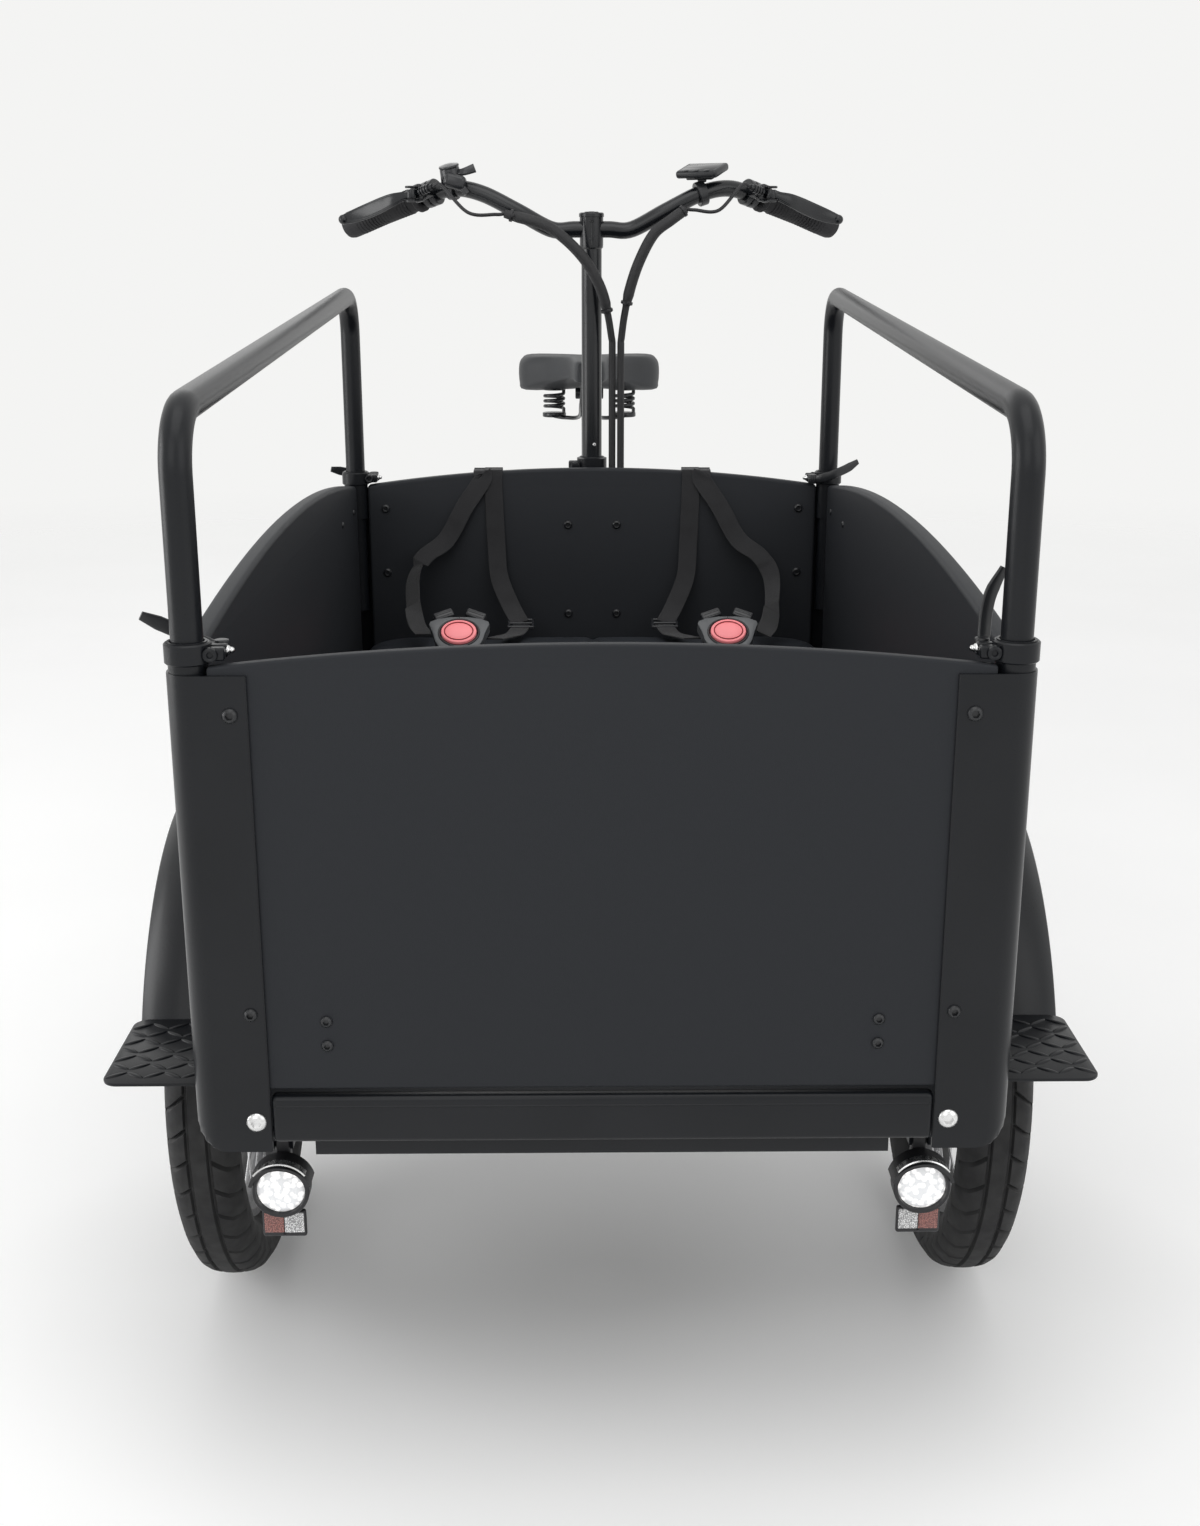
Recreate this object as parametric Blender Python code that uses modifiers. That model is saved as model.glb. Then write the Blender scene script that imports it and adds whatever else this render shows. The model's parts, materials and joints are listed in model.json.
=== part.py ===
"""A front-loading electric cargo tricycle: a box between two front wheels, steered against the rear frame.

Metres, +Z up. The trike faces -Y and the rider's right is -X.
"""

import math
import bpy
import bmesh
import numpy as np
from mathutils import Matrix, Vector

# Driving dimensions of the whole
GAP = 0.0003
CLEAR = 0.0015
SIDES = ((-1, "right"), (1, "left"))

# Box
BOX_HALF_WIDTH = 0.3475
BOX_LENGTH = 1.130
BOX_BOTTOM = 0.350
BOX_TOP = 0.766
PROFILE_WALL = 0.003
PROFILE_WING = 0.0665
PROFILE_RADIUS = 0.022
PROFILE_FOOT_RADIUS = 0.030
PANEL = 0.012
SIDE_PANEL = 0.018
PANEL_TOP = 0.772
FRONT_ARCH = 0.018
SIDE_ARCH = 0.038
BACK_ARCH = 0.023
CROSSBAR_BOTTOM = 0.358
CROSSBAR_HEIGHT = 0.043
SEAM = 0.006
FLOOR_BOTTOM = 0.352

# Rails and their sockets
RAIL_RADIUS = 0.013
SOCKET_WALL = 0.0025
RAIL_SLIDE_GAP = 0.0006
RAIL_FRONT_TOP = 0.967
RAIL_REAR_TOP = 1.028
RAIL_BEND = 0.050
RAIL_LEG_INSERT = 0.170
COLLAR_HEIGHT = 0.017
COLLAR_WALL = 0.0026
COLLAR_GAP = 0.004
LEVER_LENGTH = 0.058
LEVER_WIDTH = 0.012
LEVER_THICKNESS = 0.0035

# Front wheels, fenders and steps
FRONT_WHEEL_RADIUS = 0.262
FRONT_TYRE_WIDTH = 0.070
FRONT_WHEEL_GAP = 0.0065
FRONT_AXLE_SETBACK = 0.441
FRONT_RIM_RADIUS = 0.203
RIM_WIDTH = 0.032
FENDER_RADIUS = 0.292
FENDER_SHEET = 0.003
FENDER_REACH = 0.0895
FENDER_FRONT_ANGLE = 61.0
FENDER_REAR_ANGLE = -78.0
STEP_SHEET = 0.003
STEP_TOP = 0.393
STEP_FRONT_SETBACK = 0.043
STEP_DEPTH = 0.133
STEP_REACH = 0.0885
LAMP_INSET = 0.0575
LAMP_SETBACK = 0.085
LAMP_HEIGHT = 0.272
LAMP_RADIUS = 0.026

# Steering column and handlebar
STEM_SETBACK = 0.044
STEM_RADIUS = 0.014
STEM_WALL = 0.0025
BAR_CLAMP_HEIGHT = 1.113
BAR_RADIUS = 0.011
GRIP_RADIUS = 0.0165
SLEEVE_RADIUS = 0.0075

# Rear frame, drive and saddle
REAR_WHEEL_RADIUS = 0.335
REAR_TYRE_WIDTH = 0.056
REAR_RIM_RADIUS = 0.281
PIVOT_SETBACK = 0.800
MAIN_TUBE_RADIUS = 0.022
BRACKET_HEIGHT = 0.285
BRACKET_SETBACK = 1.490
SEAT_TUBE_RADIUS = 0.0165
SEAT_POST_RADIUS = 0.0135
SADDLE_TOP = 0.915
SADDLE_WIDTH = 0.245
SADDLE_THICKNESS = 0.062
SADDLE_LENGTH = 0.262
SEAT_TOP_SETBACK = 1.640
SEAT_TOP_HEIGHT = 0.640
TYRE_CLEARANCE = 0.0357
FENDER_CLEARANCE = 0.014
CRANK_LENGTH = 0.165
CHAIN_PITCH = 0.0127
CHAINRING_TEETH = 36
SPROCKET_TEETH = 18
CHAIN_LINE = 0.052

# Bench, cushion and battery
BENCH_SETBACK = 0.765
BENCH_HEIGHT = 0.470
BENCH_TILT = 1.5
BENCH_STEP = 0.045
RIB_X = 0.200
BOARD = 0.012
CUSHION_THICKNESS = 0.058
CUSHION_CROWN = 0.008
BATTERY_SIZE = (0.340, 0.110, 0.085)

# Details of the box
COLLAR_LIFT = 0.007
POST_STEPS = 10
LUG_SIZE = (0.014, 0.022, 0.011)
BOLT_PROUD = 0.0035

# Details of the wheels
TYRE_SIDES = 20
TYRE_SEAT = 0.0015
GROOVE = 0.010
STUB_RADIUS = 0.008
FLANGE_X = 0.021

# Details of the chassis
AXLE_TUBE_RADIUS = 0.019
SIDE_RAIL = (0.030, 0.022)
SIDE_RAIL_INSET = 0.1125
AXLE_END = 0.0295
PANEL_BOLT_INSET = 0.1165
BACK_BOLT_INSET = 0.0595
MIDDLE_BOLT_X = 0.034
HEAD_RADIUS = 0.030
HEAD_BOTTOM = 0.312

# Details of the steering
BAR_POINTS = ((0, 0, 0), (0.055, 0, 0), (0.102, -0.004, 0.024), (0.150, 0.002, 0.047),
              (0.190, 0.016, 0.054),
              (0.232, 0.040, 0.044), (0.345, 0.104, 0.006))
CLAMP_BOLT_HEIGHT = 0.790
COLUMN_WALL = 0.0035
GRIP_SIDES = 10
SLEEVE_TO_RIGHT = ((-0.118, -0.026, 0.020), (-0.066, -0.032, 0.006), (-0.036, -0.034, -0.013),
                   (-0.008, -0.034, -0.042),
                   (0.012, -0.031, -0.077), (0.022, -0.024, -0.112), (0.0285, -0.016, -0.150))
SLEEVE_TO_LEFT = ((0.128, -0.022, 0.026), (0.108, -0.026, 0.012), (0.085, -0.027, -0.006),
                  (0.066, -0.027, -0.040),
                  (0.053, -0.025, -0.077), (0.045, -0.020, -0.115), (0.0405, -0.015, -0.150))
CABLE_FOOT = 0.372

# Details of the rear
REAR_AXLE_RADIUS = 0.006
DROPOUT_X = 0.066
DROPOUT_SHEET = 0.006
STAY_RADIUS = 0.0078
SHELL_RADIUS = 0.021
SHELL_HALF = 0.034
CRANK_AXLE_RADIUS = 0.009
CRANK_X = 0.072
SPRING_X = 0.061
SPRING_HEIGHT = 0.038
SPRING_CURLS = 3
SPRING_RADIUS = 0.0165
SPRING_WIRE = 0.0030
CURL_POINTS = 8
STRAP_WIDTH = 0.025
STRAP_SHEET = 0.0018
BUCKLE_SIZE = (0.084, 0.050, 0.020)
BUCKLE_AHEAD = 0.205
BUCKLE_LIFT = 0.0275
BUCKLE_LEAN = 45.0
BUTTON_SIZE = (0.046, 0.035)
BUTTON_TRAVEL = 0.003
BUCKLE_X = 0.175
TONGUE_SIZE = (0.027, 0.013, 0.012)
TONGUE_TURN = 22.0
ADJUSTER_SIZE = (0.034, 0.026, 0.007)

# Places that follow from the sizes above
SEAT_RUN = SEAT_TOP_SETBACK - BRACKET_SETBACK
SEAT_RISE = SEAT_TOP_HEIGHT - BRACKET_HEIGHT
SEAT_TUBE_LENGTH = math.hypot(SEAT_RUN, SEAT_RISE)
TYRE_REACH = REAR_WHEEL_RADIUS + SEAT_TUBE_RADIUS + TYRE_CLEARANCE
AXLE_RISE = REAR_WHEEL_RADIUS - BRACKET_HEIGHT
STAY_LENGTH = (TYRE_REACH * SEAT_TUBE_LENGTH + AXLE_RISE * SEAT_RUN) / SEAT_RISE
REAR_OVERHANG = REAR_WHEEL_RADIUS + FENDER_CLEARANCE + FENDER_SHEET
TOTAL_LENGTH = BOLT_PROUD + BRACKET_SETBACK + STAY_LENGTH + REAR_OVERHANG
FRONT_Y = BOLT_PROUD - TOTAL_LENGTH / 2
BACK_Y = FRONT_Y + BOX_LENGTH
SOCKET_INNER = RAIL_RADIUS + RAIL_SLIDE_GAP
SOCKET_OUTER = SOCKET_INNER + SOCKET_WALL
SOCKET_IN = PROFILE_WALL + SOCKET_OUTER - 0.0005
RAIL_X = BOX_HALF_WIDTH - SOCKET_IN
FRONT_WHEEL_X = BOX_HALF_WIDTH + FRONT_WHEEL_GAP + FRONT_TYRE_WIDTH / 2
FENDER_OUTER = BOX_HALF_WIDTH + FENDER_REACH
STEP_OUTER = BOX_HALF_WIDTH + STEP_REACH
LAMP_X = BOX_HALF_WIDTH - LAMP_INSET
SIDE_RAIL_X = BOX_HALF_WIDTH - SIDE_RAIL_INSET
RAIL_FRONT_Y = FRONT_Y + SOCKET_IN
RAIL_REAR_Y = BACK_Y - SOCKET_IN
STEM_Y = BACK_Y + STEM_SETBACK
FRONT_AXLE_Y = FRONT_Y + FRONT_AXLE_SETBACK
PIVOT_Y = FRONT_Y + PIVOT_SETBACK
BRACKET_Y = FRONT_Y + BRACKET_SETBACK
SEAT_TOP_Y = FRONT_Y + SEAT_TOP_SETBACK
REAR_AXLE_Y = BRACKET_Y + STAY_LENGTH
COLLAR_OUTER = SOCKET_OUTER + COLLAR_WALL
LUG_REACH = COLLAR_OUTER + 0.005
CHASSIS_TOP = FLOOR_BOTTOM - GAP
LAMP_Y = FRONT_Y + LAMP_SETBACK
LAMP_PIN_HEIGHT = LAMP_HEIGHT + LAMP_RADIUS + 0.014
BENCH_Y = FRONT_Y + BENCH_SETBACK
BENCH_BACK_Y = BACK_Y - SOCKET_IN - SIDE_PANEL / 2 - 0.004
FLOOR_TOP = FLOOR_BOTTOM + PANEL
BENCH_HALF = BOX_HALF_WIDTH - PROFILE_WALL - SIDE_PANEL - 3 * GAP
SEAT_DEPTH = (BENCH_BACK_Y - BENCH_Y - 0.012) / math.cos(math.radians(BENCH_TILT))
BATTERY_Z = FLOOR_TOP + 0.008 + BATTERY_SIZE[2] / 2 + GAP
GRIP_START = Vector(BAR_POINTS[5])
GRIP_END = Vector(BAR_POINTS[6])
COLUMN_RADIUS = STEM_RADIUS + RAIL_SLIDE_GAP
PLATE_REAR_Y = BACK_Y - SOCKET_IN + SIDE_PANEL / 2 + GAP
FRAME_HEAD_TOP = HEAD_BOTTOM - CLEAR
AXLE_SPOT = Vector((0, REAR_AXLE_Y, REAR_WHEEL_RADIUS))
BRACKET_SPOT = Vector((0, BRACKET_Y, BRACKET_HEIGHT))
SEAT_TOP_SPOT = Vector((0, SEAT_TOP_Y, SEAT_TOP_HEIGHT))
SEAT_LINE = (SEAT_TOP_SPOT - BRACKET_SPOT).normalized()
SADDLE_REAR = SEAT_TOP_SPOT + SEAT_LINE * ((SADDLE_TOP - 0.075 - SEAT_TOP_HEIGHT) / SEAT_LINE.z)
SADDLE_FRONT_Y = SADDLE_REAR.y - 0.150
SHELL_UNDER = SADDLE_TOP - SADDLE_THICKNESS - 0.002
SPRING_Y = SADDLE_FRONT_Y + SADDLE_LENGTH - 0.062
SPRING_LOW = SHELL_UNDER - SPRING_HEIGHT
PANEL_FRONT_Y = BACK_Y - SOCKET_IN - SIDE_PANEL / 2
STRAP_OFF = STRAP_SHEET / 2 + 0.0008


# Helpers

def empty_scene():
    for obj in list(bpy.data.objects):
        bpy.data.objects.remove(obj)


def collection(name):
    made = bpy.data.collections.new(name)
    bpy.context.scene.collection.children.link(made)
    return made


empty_scene()
TRIKE = collection("electric_cargo_trike")
CUTTERS = collection("cutters")
MATERIALS = {}


def material(name, colour, roughness, metallic=0.0):
    if name not in MATERIALS:
        made = bpy.data.materials.new(name)
        made.use_nodes = True
        shader = made.node_tree.nodes["Principled BSDF"]
        shader.inputs["Base Color"].default_value = (*colour, 1)
        shader.inputs["Roughness"].default_value = roughness
        shader.inputs["Metallic"].default_value = metallic
        MATERIALS[name] = made
    return MATERIALS[name]


def powder_coat():
    return material("powder_coat", (0.026, 0.029, 0.034), 0.42, 0.3)


def panel_coat():
    return material("panel_coat", (0.035, 0.038, 0.043), 0.5)


def plastic():
    return material("black_plastic", (0.02, 0.02, 0.022), 0.45)


def rubber():
    return material("black_rubber", (0.015, 0.015, 0.016), 0.8)


def webbing():
    return material("webbing", (0.018, 0.018, 0.02), 0.9)


def red_plastic():
    return material("red_plastic", (0.72, 0.09, 0.1), 0.35)


def steel():
    return material("steel", (0.6, 0.6, 0.6), 0.3, 1.0)


def fabric():
    return material("cushion_cover", (0.03, 0.032, 0.036), 0.85)


def add_object(name, data):
    obj = bpy.data.objects.new(name, data)
    TRIKE.objects.link(obj)
    return obj


def mesh_object(name, shape):
    """An object of a bmesh, which it frees."""
    mesh = bpy.data.meshes.new(name)
    shape.to_mesh(mesh)
    shape.free()
    return add_object(name, mesh)


def aligned(start, end):
    """The matrix that carries the Z axis, centred, onto the line between two points."""
    start, end = Vector(start), Vector(end)
    turn = (end - start).to_track_quat("Z", "Y").to_matrix().to_4x4()
    return Matrix.Translation((start + end) / 2) @ turn


def rounded(obj, width, segments=2, angle=30.0):
    bevel = obj.modifiers.new("rounded_edges", "BEVEL")
    bevel.width = width
    bevel.segments = segments
    bevel.limit_method = "ANGLE"
    bevel.angle_limit = math.radians(angle)
    return obj


def block(name, size, centre, bevel=0.0, segments=2, turn=None):
    shape = bmesh.new()
    bmesh.ops.create_cube(shape, size=1.0)
    bmesh.ops.scale(shape, vec=size, verts=shape.verts)
    if turn:
        bmesh.ops.rotate(shape, matrix=turn.to_3x3(), verts=shape.verts)
    bmesh.ops.translate(shape, vec=centre, verts=shape.verts)
    obj = mesh_object(name, shape)
    return rounded(obj, bevel, segments) if bevel else obj


def rod(name, start, end, radius, sides=16, end_radius=None):
    shape = bmesh.new()
    length = (Vector(end) - Vector(start)).length
    bmesh.ops.create_cone(
        shape,
        cap_ends=True,
        segments=sides,
        radius1=radius,
        radius2=radius if end_radius is None else end_radius,
        depth=length,
        matrix=aligned(start, end),
    )
    return mesh_object(name, shape)


def turned(name, profile, origin, axis="Z", steps=24, phase=0.0):
    """A profile of (radius, height) points, from the top down the outer side, turned about an axis."""
    mesh = bpy.data.meshes.new(name)
    count = len(profile)
    points = [(radius, 0, height) for radius, height in profile]
    closed = all(radius > 0 for radius, _ in profile)
    edges = [(i, i + 1) for i in range(count - 1)]
    if closed:
        edges.append((count - 1, 0))
    mesh.from_pydata(points, edges, [])
    obj = add_object(name, mesh)
    screw = obj.modifiers.new("turned", "SCREW")
    screw.axis = "Z"
    screw.steps = screw.render_steps = steps
    screw.use_merge_vertices = True
    screw.merge_threshold = 0.00002
    as_mesh(obj)
    obj.data.transform(Matrix.Rotation(math.radians(phase), 4, "Z"))
    if axis == "X":
        obj.data.transform(Matrix.Rotation(math.radians(90), 4, "Y"))
    elif axis == "Y":
        obj.data.transform(Matrix.Rotation(math.radians(-90), 4, "X"))
    elif axis != "Z":
        obj.data.transform(Vector(axis).to_track_quat("Z", "Y").to_matrix().to_4x4())
    obj.data.transform(Matrix.Translation(origin))
    return obj


def as_mesh(obj, weld=0.00002):
    """Turns a curve, or a mesh with modifiers, into a plain closed mesh under the same name."""
    graph = bpy.context.evaluated_depsgraph_get()
    mesh = bpy.data.meshes.new_from_object(obj.evaluated_get(graph))
    shape = bmesh.new()
    shape.from_mesh(mesh)
    bmesh.ops.remove_doubles(shape, verts=shape.verts, dist=weld)
    bmesh.ops.recalc_face_normals(shape, faces=shape.faces)
    shape.to_mesh(mesh)
    shape.free()
    if obj.type == "MESH":
        obj.modifiers.clear()
        obj.data = mesh
        return obj
    name = obj.name
    made = bpy.data.objects.new(name + "_mesh", mesh)
    made.matrix_world = obj.matrix_world.copy()
    TRIKE.objects.link(made)
    bpy.data.objects.remove(obj)
    made.name = name
    return made


def wire(name, points, radius, resolution=3, radii=None):
    """A round bar along a list of points, as a curve with a bevel and filled caps."""
    curve = bpy.data.curves.new(name, "CURVE")
    curve.dimensions = "3D"
    curve.bevel_depth = radius
    curve.bevel_resolution = resolution
    curve.use_fill_caps = True
    line = curve.splines.new("POLY")
    line.points.add(len(points) - 1)
    for index, point in enumerate(points):
        line.points[index].co = (*point, 1)
        line.points[index].radius = radii[index] if radii else 1.0
    return add_object(name, curve)


def flat(name, outline, thickness, place=None, bevel=0.0, holes=()):
    """A flat outline in XY, extruded evenly about Z, then put in its place."""
    curve = bpy.data.curves.new(name, "CURVE")
    curve.dimensions = "2D"
    curve.fill_mode = "BOTH"
    curve.extrude = thickness / 2
    for ring in (outline, *holes):
        line = curve.splines.new("POLY")
        line.points.add(len(ring) - 1)
        line.use_cyclic_u = True
        for index, (x, y) in enumerate(ring):
            line.points[index].co = (x, y, 0, 1)
    obj = as_mesh(add_object(name, curve))
    if place:
        obj.data.transform(place)
    return rounded(obj, bevel, 1) if bevel else obj


def joined(base, others, operation="UNION", solver="EXACT"):
    for other in others:
        step = base.modifiers.new(operation.lower(), "BOOLEAN")
        step.operation = operation
        step.solver = solver
        step.object = other
        for old in list(other.users_collection):
            old.objects.unlink(other)
        CUTTERS.objects.link(other)
        other.hide_render = True
        other.display_type = "WIRE"
    return base


def cut(base, *others, solver="EXACT"):
    return joined(base, others, "DIFFERENCE", solver)


def fuse(base, *others, solver="EXACT"):
    return joined(base, others, "UNION", solver)


def use_manifold(obj):
    """Switches an object's Booleans to the solver that keeps many small unions closed."""
    for step in obj.modifiers:
        if step.type == "BOOLEAN":
            step.solver = "MANIFOLD"
    return obj


def part(obj, name, look, origin=None, parent=None, smooth=35.0):
    """Names a finished piece, gives it its material, its origin and its parent."""
    if obj.type == "CURVE":
        obj = as_mesh(obj)
    obj.name = name
    obj.data.name = name
    obj.data.materials.clear()
    obj.data.materials.append(look)
    if obj.type == "MESH":
        obj.data.shade_smooth()
        obj.data.set_sharp_from_angle(angle=math.radians(smooth))
    if origin:
        obj.data.transform(Matrix.Translation(-Vector(origin)))
        obj.location = origin
    if parent:
        obj.parent = parent
        obj.matrix_parent_inverse = Matrix.Translation(-parent.location)
    return obj


def joint_empty(name, place, parent=None):
    obj = bpy.data.objects.new(name, None)
    TRIKE.objects.link(obj)
    obj.empty_display_size = 0.05
    obj.location = place
    if parent:
        obj.parent = parent
        obj.matrix_parent_inverse = Matrix.Translation(-parent.location)
    return obj


def arc(centre, radius, start, end, count):
    """Points on an arc in a plane, angles in degrees, both ends included."""
    angles = [math.radians(start + (end - start) * i / (count - 1)) for i in range(count)]
    return [(centre[0] + radius * math.cos(a), centre[1] + radius * math.sin(a)) for a in angles]


def rounded_corners(points, radius, count=5):
    """A route in space whose inner corners are replaced by arcs of one radius."""
    points = [Vector(point) for point in points]
    route = [points[0]]
    for before, corner, after in zip(points, points[1:], points[2:]):
        back, ahead = (before - corner).normalized(), (after - corner).normalized()
        half = back.angle(ahead) / 2
        reach = radius / math.tan(half)
        centre = corner + (back + ahead).normalized() * radius / math.sin(half)
        first = corner + back * reach - centre
        last = corner + ahead * reach - centre
        for i in range(count):
            share = i / (count - 1)
            route.append(centre + first.normalized().slerp(last.normalized(), share) * radius)
    route.append(points[-1])
    return route


def smooth_route(points, count):
    """Even points on a Catmull-Rom curve through hand-chosen points."""
    points = [Vector(point) for point in points]
    ends = [2 * points[0] - points[1], *points, 2 * points[-1] - points[-2]]
    route = []
    for i in range(count):
        place = i / (count - 1) * (len(points) - 1)
        step = min(int(place), len(points) - 2)
        t = place - step
        a, b, c, d = ends[step : step + 4]
        bend = (2 * a - 5 * b + 4 * c - d) * t * t + (3 * b - a - 3 * c + d) * t**3
        route.append((2 * b + (c - a) * t + bend) / 2)
    return route


def arched_outline(half, bottom, top, rise, count=9):
    """A panel's outline, straight below and with a shallow arch of the given rise on top."""
    radius = (half * half + rise * rise) / (2 * rise)
    spread = math.degrees(math.asin(half / radius))
    centre = (0, top + rise - radius)
    return [(-half, bottom), (half, bottom), *arc(centre, radius, 90 - spread, 90 + spread, count)]


def upright_x(x):
    """Carries an outline (along, up) into the plane of a side panel at this x."""
    return Matrix.Translation((x, 0, 0)) @ Matrix(((0, 0, 1, 0), (1, 0, 0, 0), (0, 1, 0, 0),
                                                   (0, 0, 0, 1)))


def upright_y(y):
    """Carries an outline (across, up) into the plane of a front panel at this y."""
    return Matrix.Translation((0, y, 0)) @ Matrix.Rotation(math.pi / 2, 4, "X")


def bolt_head(place, axis, radius=0.007, height=BOLT_PROUD, sides=7):
    """A domed bolt head whose shank is sunk a little into what it holds."""
    place, axis = Vector(place), Vector(axis)
    return rod("bolt_head", place - axis * 0.0025, place + axis * height, radius, sides, radius * 0.72)


def loft(name, rings, capped=True):
    """Skins a row of rings that have the same number of points; without caps the last ring meets the first."""
    shape = bmesh.new()
    rows = [[shape.verts.new(point) for point in ring] for ring in rings]
    pairs = list(zip(rows, rows[1:]))
    if capped:
        shape.faces.new(rows[0][::-1])
        shape.faces.new(rows[-1])
    else:
        pairs.append((rows[-1], rows[0]))
    for low, high in pairs:
        for i in range(len(low)):
            j = (i + 1) % len(low)
            shape.faces.new((low[i], low[j], high[j], high[i]))
    bmesh.ops.recalc_face_normals(shape, faces=shape.faces)
    return mesh_object(name, shape)


def ribbon(name, route, widths, thickness, sides, corners=4):
    """A flat bar or strap lofted along a route; sides gives the direction of its width at each point."""
    rings = []
    route = [Vector(point) for point in route]
    for index, point in enumerate(route):
        before, after = route[max(index - 1, 0)], route[min(index + 1, len(route) - 1)]
        along = (after - before).normalized()
        side = Vector(sides[index] if isinstance(sides, list) else sides)
        side = (side - along * side.dot(along)).normalized()
        face = along.cross(side)
        width = widths[index] if isinstance(widths, list) else widths
        deep = thickness[index] if isinstance(thickness, list) else thickness
        if corners == 4:
            spots = [(-0.5, -0.5), (0.5, -0.5), (0.5, 0.5), (-0.5, 0.5)]
        else:
            turn = 2 * math.pi / corners
            spots = [(math.cos(turn * i) / 2, math.sin(turn * i) / 2) for i in range(corners)]
        rings.append([point + side * width * a + face * deep * b for a, b in spots])
    return loft(name, rings)


# Box

def corner_point(sx, front, across, along):
    """A place measured inwards from one outer corner of the box, seen from above."""
    y = FRONT_Y + along if front else BACK_Y - along
    return sx * (BOX_HALF_WIDTH - across), y


def lug_place(sx, front):
    x, y = corner_point(sx, front, SOCKET_IN, SOCKET_IN)
    return Vector((x - sx * LUG_REACH, y, BOX_TOP + COLLAR_LIFT + COLLAR_HEIGHT / 2))


def corner_post(sx, front):
    r, t, wing = PROFILE_RADIUS, PROFILE_WALL, PROFILE_WING
    outline = [(wing, 0), *arc((r, r), r, 270, 180, 4), (0, wing)]
    outline += [(t, wing), *arc((r, r), r - t, 180, 270, 3), (wing, t)]
    outline = [corner_point(sx, front, u, v) for u, v in outline]
    height = BOX_TOP - BOX_BOTTOM
    middle = Matrix.Translation((0, 0, (BOX_TOP + BOX_BOTTOM) / 2))
    post = flat("post", outline, height, middle)
    half, foot = BOX_HALF_WIDTH, PROFILE_FOOT_RADIUS
    silhouette = [(-half, BOX_TOP + 0.1), *arc((-half + foot, BOX_BOTTOM + foot), foot, 180, 270, 4)]
    silhouette += [*arc((half - foot, BOX_BOTTOM + foot), foot, 270, 360, 4), (half, BOX_TOP + 0.1)]
    silhouette = [(x * 1.0001, z) for x, z in silhouette]
    joined(post, [flat("silhouette", silhouette, 2 * TOTAL_LENGTH, upright_y(0))], "INTERSECT")
    x, y = corner_point(sx, front, SOCKET_IN, SOCKET_IN)
    collar_low = BOX_TOP + COLLAR_LIFT
    collar_top = collar_low + COLLAR_HEIGHT
    foot_z = BOX_BOTTOM + PROFILE_FOOT_RADIUS
    socket = turned(
        "socket",
        [(SOCKET_INNER, collar_top + 0.001), (SOCKET_OUTER, collar_top + 0.001),
         (SOCKET_OUTER, foot_z), (SOCKET_INNER, foot_z)],
        (x, y, 0),
        steps=POST_STEPS,
    )
    collar = turned(
        "collar",
        [(SOCKET_INNER + 0.001, collar_top), (COLLAR_OUTER, collar_top), (COLLAR_OUTER, collar_low),
         (SOCKET_INNER + 0.001, collar_low)],
        (x, y, 0),
        steps=POST_STEPS,
    )
    lug = block("lug", LUG_SIZE, lug_place(sx, front) - Vector((sx * 0.0005, 0, 0)))
    fuse(post, socket, collar, lug)
    slit_size = (0.034, 0.003, 0.030)
    cut(post, block("slit", slit_size, (x - sx * 0.026, y, collar_top - slit_size[2] / 2 + 0.003)))
    face = FRONT_Y if front else BACK_Y
    out = (0, -1, 0) if front else (0, 1, 0)
    for inset, z, radius in ((0.0525, 0.734, 0.0068), (0.0545, 0.477, 0.0062), (0.054, 0.378, 0.009)):
        fuse(post, bolt_head((sx * (BOX_HALF_WIDTH - inset), face, z), out, radius))
    return use_manifold(post)


def arched_panel(name, half, y, bottom, rise, thickness):
    outline = arched_outline(half, bottom, PANEL_TOP, rise)
    return flat(name, outline, thickness, upright_y(y), 0.0015)


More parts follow.
